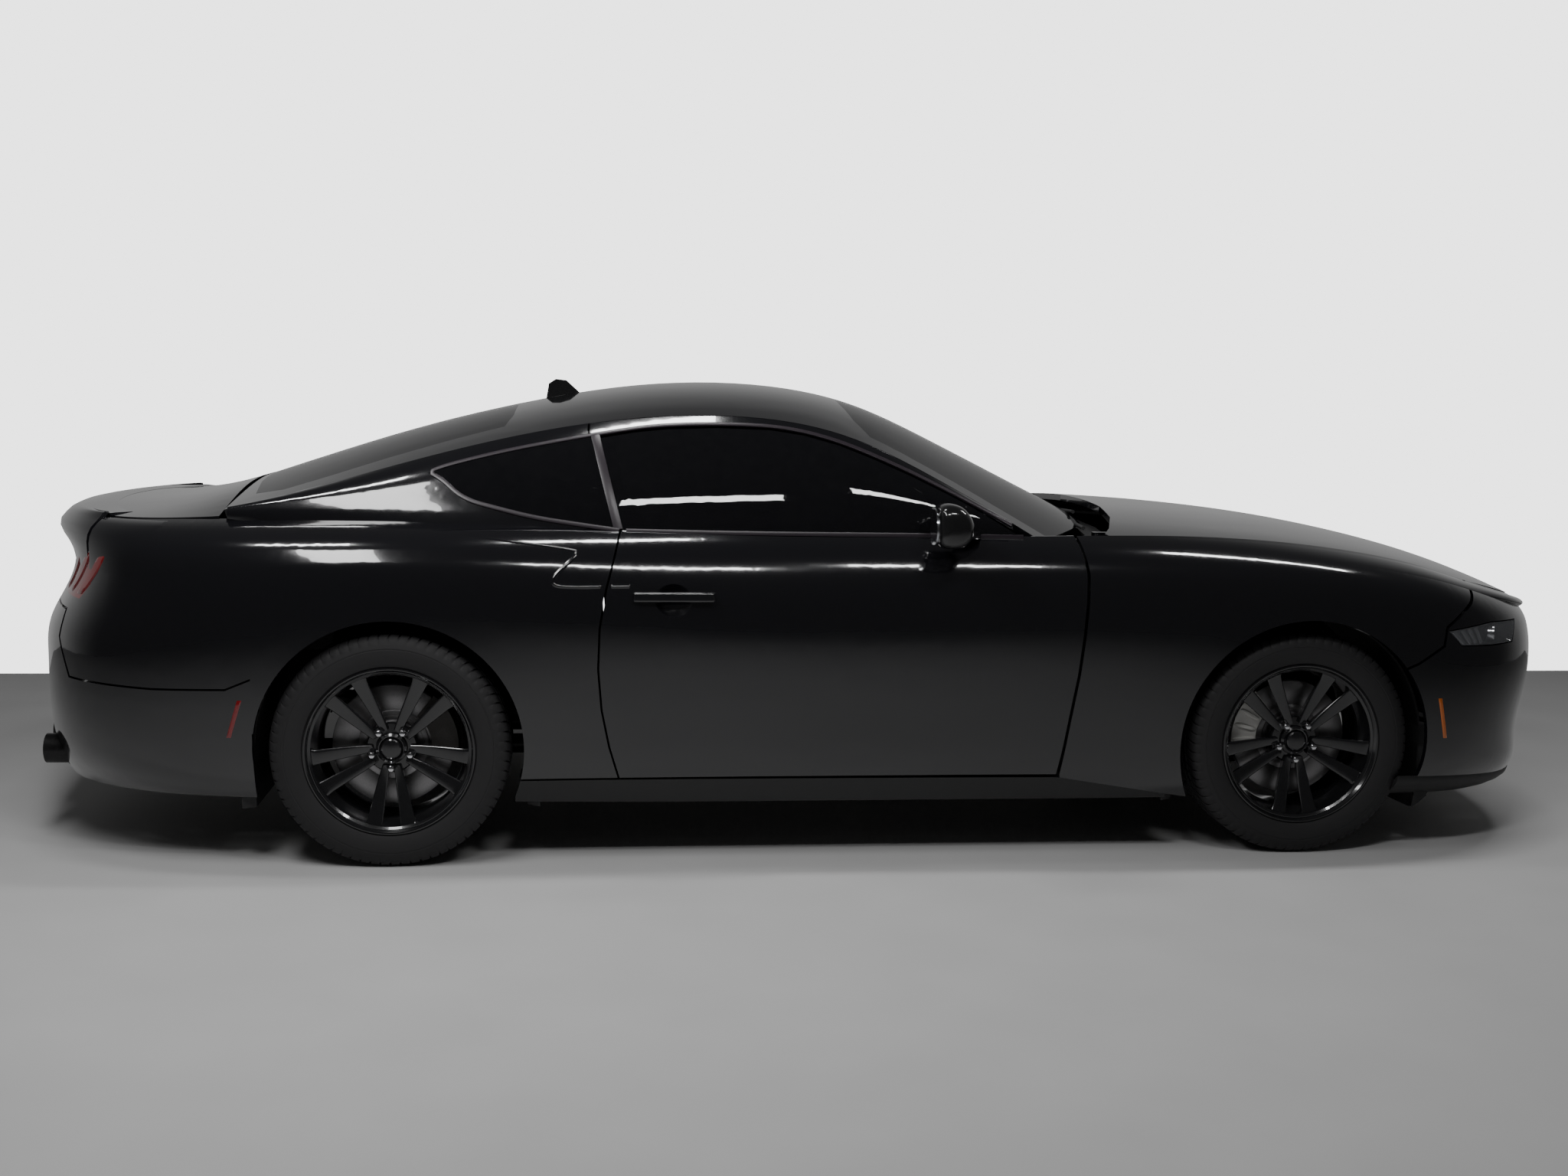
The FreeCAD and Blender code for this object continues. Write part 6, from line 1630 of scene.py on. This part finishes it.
@dataclass(frozen=True)
class HaunchCrease:
    """The raised crease behind each door: along the shoulder, round its front end and on to the handle.

    Args:
        half: half of the crease's width.
        height: its height over the skin.
        root: depth of its foot under the skin.
    """

    half: float = 0.0075
    height: float = 0.0030
    root: float = 0.003

    def swept(self, side: Net, line: tuple, steps: int, run_in: float = 0.0) -> Clay:
        """Sweeps the crease's soft section along a line drawn on the skin.

        The section's top is a cosine raised to the power 1.5, and the ends shrink towards the skin.

        Args:
            side: the side surface.
            line: corners as X and Z.
            steps: points along the line.
            run_in: share of the length over which the first end grows.

        Returns:
            The left side's crease.
        """
        path, facing = side.trace(line, steps, 2)
        swell = np.linspace(-1.0, 1.0, 11)
        crown = self.height * np.cos(swell * np.pi / 2) ** 1.5 - 0.0006
        top = np.stack([swell * self.half, crown], axis=-1)
        section = np.vstack([top, [(self.half * 0.8, -self.root), (-self.half * 0.8, -self.root)]])
        share = np.linspace(0.0, 1.0, steps)
        sudden = 1e-6
        start = np.clip(share / max(run_in, sudden), 0.02, 1.0)
        end = np.clip((1.0 - share) / sudden, 0.02, 1.0)
        base = path[:, None] - facing[:, None] * 0.0012
        ring = base + (strip(path, facing, section) - base) * np.sqrt(start * end)[:, None, None]
        clay = Clay()
        clay.tube(ring)
        return clay

    def build(self, side: Net) -> None:
        """Makes the creases of both quarters and both doors.

        Args:
            side: the side surface.
        """
        stick = (
            (-1.080, 0.9600), (-0.960, 0.9500), (-0.850, 0.9370), (-0.745, 0.9225), (-0.722, 0.9165),
            (-0.738, 0.9000), (-0.768, 0.8720), (-0.798, 0.8420), (-0.790, 0.8240), (-0.740, 0.8205),
            (-0.657, 0.8210),
        )
        door = ((-0.630, 0.8212), (-0.600, 0.8214), (-0.572, 0.8216))
        self.swept(side, stick, 180, 0.25).both().build("haunch_creases", PAINT, "body", "paint", 70.0)
        on_doors(self.swept(side, door, 20), "door_crease", PAINT, "paint", 70.0)


@dataclass(frozen=True)
class Grilles:
    """The slats and uprights in front of the two nose grilles.

    Args:
        set_back: how far the slats lie behind the nose skin.
        slat: height of a slat.
        depth: depth of a slat.
        uprights: number of uprights in each grille.
        columns: the shares of the side surface's columns that the nose takes.
    """

    set_back: float = 0.006
    slat: float = 0.007
    depth: float = 0.010
    uprights: int = 33
    columns: tuple = (0.0, 0.28)

    def follow(self, side: Net, across: np.ndarray, level: np.ndarray) -> np.ndarray:
        """Points behind the nose skin at given Y and Z.

        Args:
            side: the side surface.
            across: Y values, of either sign.
            level: Z values.

        Returns:
            (n, 3) points.
        """
        target = np.stack([np.maximum(np.abs(across), 0.004), level], axis=-1)
        points = side.drawn(target, END_VIEW, 0.0, AHEAD, self.columns)
        points[:, 0] -= self.set_back
        points[:, 1] = across
        return points

    def build(self, side: Net) -> None:
        """Makes the slats.

        Args:
            side: the side surface, which runs round the nose.
        """
        facing = np.array([1.0, 0.0, 0.0])
        slat = slab(self.slat, -self.depth, 0.0, 0.002, 2)
        upright = np.array([(-0.002, -0.006), (0.002, -0.006), (0.002, 0.0), (-0.002, 0.0)])
        upper = ((0.455, 0.485), (0.500, 0.600), (0.612, 0.652), (0.628, 0.690), (0.560, 0.698))
        lower = ((0.600, 0.225), (0.640, 0.290), (0.560, 0.345))
        for name, outline, levels in (
            ("upper_grille_slats", upper, np.linspace(0.506, 0.682, 7)),
            ("lower_grille_slats", lower, np.linspace(0.250, 0.322, 3)),
        ):
            clay = Clay()
            border = np.array(outline)
            half = np.interp(levels, border[:, 1], border[:, 0])
            for reach, level in zip(half, levels):
                path = self.follow(side, np.linspace(-1.0, 1.0, 61) * (reach - 0.004), np.full(61, level))
                clay.tube(strip(path, facing, slat))
            span = np.linspace(levels[0] - 0.018, levels[-1] + 0.014, 7)
            for across in np.linspace(-0.96, 0.96, self.uprights) * half.min():
                path = self.follow(side, np.full(7, across), span) - np.array([0.003, 0.0, 0.0])
                clay.tube(strip(path, facing, upright))
            clay.build(name, PIANO, "body", "black_plastic")


@dataclass(frozen=True)
class DoorMirror:
    """A rounded mirror head on a short foot, with its glass facing back.

    Args:
        near: Y of the head's inner end.
        far: Y of its outer end.
        middle: X and Z of the head's middle.
        pane_centre: X and Y of the glass's middle.
        pane_thick: thickness of the glass.
    """

    near: float = 0.862
    far: float = 1.036
    middle: tuple = (0.352, 1.004)
    pane_centre: tuple = (0.3005, 0.950)
    pane_thick: float = 0.006

    def head(self, outline: np.ndarray) -> Clay:
        """The left mirror's head, as rings that grow and close along Y, and its foot.

        Args:
            outline: (n, 2) the largest ring, as X and Z.

        Returns:
            The clay of both.
        """
        stations = np.array([0.0, 0.03, 0.10, 0.25, 0.45, 0.65, 0.82, 0.93, 0.985, 1.0])
        grow = np.array([0.55, 0.72, 0.86, 0.96, 1.0, 0.985, 0.93, 0.80, 0.55, 0.25])
        across = self.near + (self.far - self.near) * stations
        middle = np.array(self.middle)
        lean = np.array([0.0, 0.004]) * stations[:, None, None]
        ring = middle + (outline - middle)[None] * grow[:, None, None] + lean
        clay = Clay()
        across = np.broadcast_to(across[:, None], ring.shape[:2])
        clay.tube(np.stack([ring[..., 0], across, ring[..., 1]], axis=-1))
        foot = np.array([
            (0.446, 0.796, 0.964), (0.438, 0.830, 0.966), (0.408, 0.872, 0.972), (0.378, 0.905, 0.982),
        ])
        corners = np.array([(-0.030, -0.012), (0.030, -0.012), (0.026, 0.012), (-0.026, 0.012)])
        clay.tube(strip(foot, np.array([0.0, 0.0, 1.0]), rounded(corners, 0.010, 3)))
        return clay

    def pane(self, outline: np.ndarray) -> Clay:
        """The left mirror's glass: the head's outline made smaller and laid across the car.

        Args:
            outline: (n, 2) the head's largest ring, as X and Z.

        Returns:
            The clay of the glass.
        """
        middle = np.array(self.middle)
        small = middle + (outline - middle) * 0.80
        across = (small[:, 0] - middle[0]) / 0.055 * 0.066 + self.pane_centre[1]
        face = np.stack([np.full(len(small), self.pane_centre[0]), across, small[:, 1]], axis=-1)
        centre = np.array([*self.pane_centre, middle[1]])
        clay = Clay()
        rings = (centre + (face - centre) * 0.02, face, face + np.array([self.pane_thick, 0, 0]))
        clay.grid(np.stack(rings), loop_columns=True)
        return clay

    def build(self) -> None:
        """Makes both mirrors, each riding on its door."""
        outline = rounded(np.array([
            (0.302, 0.948), (0.302, 1.060), (0.338, 1.073), (0.382, 1.062), (0.412, 1.022), (0.414, 0.975),
            (0.388, 0.942), (0.340, 0.935),
        ]), 0.026, 6)
        head, pane = self.head(outline), self.pane(outline)
        for side, clay, glass in ((Side.LEFT, head, pane), (Side.RIGHT, head.mirrored(), pane.mirrored())):
            hand = side.name.lower()
            made = clay.build(f"mirror_{hand}_head", PIANO, f"door_{hand}_assembly", "black_plastic", 50.0)
            glass.build(f"mirror_{hand}_pane", LAMP_STEEL, f"door_{hand}_assembly", "trim")
            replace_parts(made, f"mirror_{hand}")


@dataclass(frozen=True)
class Pad:
    """One stuffed slab of a seat, drawn along a line in the X-Z plane.

    Args:
        name: the piece's name.
        line: corners of the middle line as X and Z.
        middle: Y of the pad's middle.
        half: half of its width.
        thick: half of its thickness.
        bolster: how far the sides rise over the middle.
        seams: crosswise seams.
        fill: how tight the stuffing is; not used.
    """

    name: str
    line: tuple
    middle: float
    half: float
    thick: float
    bolster: float
    seams: int
    fill: float = 0.85

    def clay(self) -> Clay:
        """The slab's closed surface: rounded rings along the line with sewn grooves.

        Returns:
            The clay of the pad.
        """
        steps, round_steps = 61, 72
        path = spaced(softened(np.array(self.line), 2), steps)
        run = np.gradient(path, axis=0)
        run = run / np.linalg.norm(run, axis=1, keepdims=True)
        up = np.stack([-run[:, 1], run[:, 0]], axis=-1)
        share = np.linspace(-1.0, 1.0, steps)
        ends = np.maximum(np.clip(1.0 - np.abs(share) ** 7, 0.0, 1.0) ** 0.5, 0.04)[:, None]
        angle = np.linspace(0.0, 2.0 * np.pi, round_steps, endpoint=False)
        wide = np.sign(np.cos(angle)) * np.abs(np.cos(angle)) ** 0.42
        high = np.sign(np.sin(angle)) * np.abs(np.sin(angle)) ** 0.55
        across = self.half * (0.86 + 0.14 * ends) * wide[None, :]
        side_share = np.abs(across) / self.half
        bolster = self.bolster * np.clip((side_share - 0.55) / 0.45, 0.0, 1.0) ** 1.5
        level = self.thick * ends * high[None, :] + bolster * (high > 0)[None, :] * ends
        groove = np.exp(-((side_share - 0.60) / 0.022) ** 2)
        marks = np.linspace(-0.6, 0.6, self.seams) if self.seams else np.array([9.0])
        cross = np.exp(-((share[:, None] - marks[None, :]) / 0.018) ** 2).max(axis=1)
        cross = cross[:, None] * (side_share < 0.60)
        level = level - 0.006 * np.maximum(groove, cross) * (high > 0.3)[None, :]
        piping = np.exp(-(high / 0.10) ** 2)[None, :] * 0.0025
        across = across + np.sign(across) * piping * ends
        points = np.stack([
            path[:, None, 0] + up[:, None, 0] * level,
            self.middle + across,
            path[:, None, 1] + up[:, None, 1] * level,
        ], axis=-1)
        clay = Clay()
        clay.tube(points)
        return clay

    def build(self) -> bpy.types.Object:
        """Makes the pad.

        Returns:
            The pad's object.
        """
        made = self.clay().build(self.name, LEATHER, "body", "seat_leather", 60.0)
        return made


@dataclass(frozen=True)
class Seats:
    """Two front bucket seats with headrests, and a rear bench shaped for two.

    Args:
        front: Y of a front seat's middle.
        rear: Y of the middle of one place on the bench.
    """

    front: float = 0.375
    rear: float = 0.228

    def build(self) -> None:
        """Makes all the pads; the left cushions stand for the CAD seats."""
        lines = (
            ("front_seat_cushion", ((0.085, 0.425), (-0.15, 0.405), (-0.4, 0.385)), 0.222, 0.062, 0.035, 3),
            ("front_seat_back", ((-0.42, 0.46), (-0.52, 0.74), (-0.615, 1.01)), 0.222, 0.055, 0.040, 4),
            ("front_seat_headrest", ((-0.622, 1.03), (-0.64, 1.095), (-0.65, 1.165)), 0.125, 0.036, 0.0, 0),
            ("rear_seat_cushion", ((-0.7, 0.48), (-0.86, 0.455), (-0.985, 0.44)), 0.225, 0.045, 0.012, 2),
            ("rear_seat_back", ((-0.925, 0.53), (-0.965, 0.7), (-0.99, 0.885)), 0.225, 0.030, 0.012, 3),
        )
        stands_for = {"front_seat_cushion_left": "front_seats", "rear_seat_cushion_left": "rear_seat"}
        for side in Side:
            for stem, line, half, thick, bolster, seams in lines:
                middle = side.value * (self.front if stem.startswith("front") else self.rear)
                name = f"{stem}_{side.name.lower()}"
                made = Pad(name, line, middle, half, thick, bolster, seams).build()
                if name in stands_for:
                    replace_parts(made, stands_for[name])


class CadFinishes:
    """Gives every CAD node that is shown its procedural surface: the longest stem in its name decides."""

    table = (
        (PAINT, (
            "hood", "roof", "door_", "front_fender", "quarter_panel", "front_bumper", "rear_bumper",
            "trunk_lid",
        )),
        (TINTED, ("windscreen", "rear_window", "door_glass", "quarter_windows")),
        (CLEAR, ("headlamps",)),
        (RED_LENS, ("tail_lamps",)),
        (PLASTIC, (
            "grille", "side_skirts", "cowl_panel", "wheel_liners", "wipers", "dashboard", "console",
            "parcel_shelf", "steering_wheel",
        )),
        (PIANO, ("mirror", "roof_antenna")),
        (UNDERSEAL, ("floor_pan", "firewall")),
        (CAST_IRON, ("engine_block", "rear_axle")),
        (CALIPER, ("knuckle",)),
        (STEEL, ("front_subframe", "radiator")),
        (LEATHER, ("front_seats", "rear_seat")),
        (EXHAUST, ("exhaust",)),
    )

    def build(self, nodes: dict) -> None:
        """Puts each node's material on it.

        Args:
            nodes: the frame's CAD nodes by name.
        """
        for name, node in nodes.items():
            best = PLASTIC
            length = 0
            for finish, stems in self.table:
                for stem in stems:
                    if stem in name and len(stem) > length:
                        best = finish
                        length = len(stem)
            node.data.materials.clear()
            node.data.materials.append(best.material())
        LOG.info("CAD finishes: %d nodes", len(nodes))


def stood(item: bpy.types.Object, axes: tuple, place: tuple) -> None:
    """Turns an object to its own axes, moves it to its place and adds it to the scene.

    Args:
        item: the camera or light.
        axes: its X, Y and Z directions.
        place: its position.
    """
    matrix = np.eye(4)
    matrix[:3] = np.stack([*axes, place], axis=-1)
    item.matrix_world = Matrix(matrix.tolist())
    bpy.context.scene.collection.objects.link(item)


@dataclass(frozen=True)
class Camera:
    """The photo's viewpoint.

    Args:
        place: position in metres.
        yaw: turn to the right of +Y, in radians.
        pitch: angle down.
        roll: turn about the sight line.
        lens: focal length for a 36 mm wide sensor.
    """

    place: tuple = (-0.6244, -5.8396, 1.4729)
    yaw: float = 0.1003
    pitch: float = 0.1315
    roll: float = 0.0162
    lens: float = 39.46

    def build(self) -> bpy.types.Object:
        """Makes the camera and sets it as the scene's own.

        Returns:
            The camera object.
        """
        level = math.cos(self.pitch)
        forward = np.array([math.sin(self.yaw) * level, math.cos(self.yaw) * level, -math.sin(self.pitch)])
        right = np.array([math.cos(self.yaw), -math.sin(self.yaw), 0.0])
        rise = np.cross(right, forward)
        across = right * math.cos(self.roll) + rise * math.sin(self.roll)
        upward = rise * math.cos(self.roll) - right * math.sin(self.roll)
        data = bpy.data.cameras.new("photo_camera")
        data.sensor_width = 36.0
        data.lens = self.lens
        data.clip_end = 200.0
        camera = bpy.data.objects.new("photo_camera", data)
        stood(camera, (across, upward, -forward), self.place)
        bpy.context.scene.camera = camera
        return camera


@dataclass(frozen=True)
class Studio:
    """A pale floor under soft panel lights.

    Args:
        floor_half: half of the floor's width.
        floor_far: how far the floor goes on behind the car.
        near_wall: brightness of the surroundings on the camera's side.
        far_wall: brightness of the surroundings behind the car.
        wall_span: directions along Y between which the one turns into the other.
        ceiling: brightness overhead.
        ceiling_span: directions along Z between which the walls turn into the ceiling.
        backdrop: brightness behind the car as the camera sees it.
        lamp_height: height of the lights.
        strip_width: width of a strip light.
        strip_power: watts for each metre of strip.
        patch_power: watts of the broad panel over the near rear corner.
        strips: name, start and end along X, and Y of each strip light.
    """

    floor_half: float = 7.0
    floor_far: float = 2.2
    near_wall: float = 0.045
    far_wall: float = 0.30
    wall_span: tuple = (-0.25, 0.55)
    ceiling: float = 0.05
    ceiling_span: tuple = (0.10, 0.75)
    backdrop: float = 3.0
    lamp_height: float = 3.0
    strip_width: float = 0.16
    strip_power: float = 22.0
    patch_power: float = 45.0
    strips: tuple = (
        ("strip_near_middle", -0.62, 0.12, -3.1),
        ("strip_near_front", 0.42, 1.20, -2.7),
        ("strip_top_rear", -2.30, -1.70, -0.75),
        ("strip_top_middle", -0.90, -0.25, -0.55),
        ("strip_top_front", 1.70, 2.95, -0.55),
    )

    def panel(self, name: str, place: tuple, aim: tuple, wide: float, long: float, power: float) -> None:
        """Hangs one soft panel light.

        Args:
            name: the light's name.
            place: its position.
            aim: the point that it faces.
            wide: its width.
            long: its length.
            power: watts.
        """
        data = bpy.data.lights.new(name, "AREA")
        data.shape = "RECTANGLE"
        data.size = wide
        data.size_y = long
        data.energy = power
        back = np.array(place, float) - np.array(aim, float)
        back = back / np.linalg.norm(back)
        level = (0.0, 1.0, 0.0) if abs(back[2]) > 0.9 else (0.0, 0.0, 1.0)
        side = np.cross(np.array(level), back)
        side = side / np.linalg.norm(side)
        stood(bpy.data.objects.new(name, data), (side, np.cross(back, side), back), place)

    def floor(self) -> None:
        """Makes the floor."""
        half, far = self.floor_half, self.floor_far
        mesh = bpy.data.meshes.new("studio_floor")
        corners = [(-half, -half, 0.0), (half, -half, 0.0), (half, far, 0.0), (-half, far, 0.0)]
        mesh.from_pydata(corners, [], [(0, 1, 2, 3)])
        mesh.materials.append(FLOOR.material())
        floor = bpy.data.objects.new("studio_floor", mesh)
        bpy.context.scene.collection.objects.link(floor)

    @staticmethod
    def ramp(
        tree: bpy.types.NodeTree, value: bpy.types.NodeSocket, span: tuple, levels: tuple,
    ) -> bpy.types.Node:
        """Adds a smooth ramp from one level to another.

        Args:
            tree: the node tree.
            value: what the ramp follows.
            span: the values between which it climbs.
            levels: its levels before and after.

        Returns:
            The ramp's node.
        """
        node = tree.nodes.new("ShaderNodeMapRange")
        node.interpolation_type = "SMOOTHSTEP"
        for socket, number in zip(("From Min", "From Max", "To Min", "To Max"), (*span, *levels)):
            node.inputs[socket].default_value = number
        tree.links.new(value, node.inputs["Value"])
        return node

    def surroundings(self) -> None:
        """Makes the world: walls and a ceiling for the paint to mirror, and the bright backdrop."""
        world = bpy.data.worlds.new("studio")
        world.use_nodes = True
        tree = world.node_tree
        back = tree.nodes["Background"]
        place = tree.nodes.new("ShaderNodeTexCoord")
        split = tree.nodes.new("ShaderNodeSeparateXYZ")
        tree.links.new(place.outputs["Generated"], split.inputs["Vector"])
        wall = self.ramp(tree, split.outputs["Y"], self.wall_span, (self.near_wall, self.far_wall))
        rise = self.ramp(tree, split.outputs["Z"], self.ceiling_span, (0.0, 1.0))
        path = tree.nodes.new("ShaderNodeLightPath")
        level = wall.outputs["Result"]
        for share, brightness in (
            (rise.outputs["Result"], self.ceiling), (path.outputs["Is Camera Ray"], self.backdrop),
        ):
            mix = tree.nodes.new("ShaderNodeMix")
            mix.data_type = "FLOAT"
            mix.inputs["B"].default_value = brightness
            tree.links.new(share, mix.inputs["Factor"])
            tree.links.new(level, mix.inputs["A"])
            level = mix.outputs["Result"]
        tree.links.new(level, back.inputs["Strength"])
        back.inputs["Color"].default_value = (1.0, 1.0, 1.0, 1.0)
        bpy.context.scene.world = world

    def build(self) -> None:
        """Makes the floor, the surroundings and the lights."""
        self.floor()
        self.surroundings()
        height = self.lamp_height
        self.panel("panel_near_rear", (-1.85, -2.2, height), (-1.6, -1.4, 0.9), 0.55, 1.7, self.patch_power)
        for name, start, end, across in self.strips:
            wide = end - start
            middle = (start + end) / 2.0
            aim = (middle, across * 0.3, 0.8)
            self.panel(name, (middle, across, height), aim, wide, self.strip_width, self.strip_power * wide)


def main() -> None:
    """Builds the car's looks around the CAD frame, and the studio."""
    logging.basicConfig(level=logging.INFO, format="%(name)s %(message)s")
    CadFinishes().build(frame["nodes"])
    hubs = [Hub(axle, side) for axle in Axle for side in Side]
    for hub in hubs:
        Tyre().build(hub)
        RoadWheel().build(hub)
        if hub.axle is Axle.FRONT:
            CaliperRibs().build(hub)
    nets = body_nets()
    LinerEnds().build(hubs, nets["side"])
    Markers().build(nets["side"])
    WindowTrim().build(nets["glass"])
    Headlamps().build(nets["side"])
    TailLamps().build(nets["side"])
    Grilles().build(nets["side"])
    TailLip().build(nets["side"], nets["deck"])
    NoseBrow().build(nets["side"])
    NoseLip().build(nets["side"])
    RearDiffuser().build(nets["side"])
    HaunchCrease().build(nets["side"])
    DoorMirror().build()
    Seats().build()
    Camera().build()
    Studio().build()


if __name__ == "__main__":
    main()
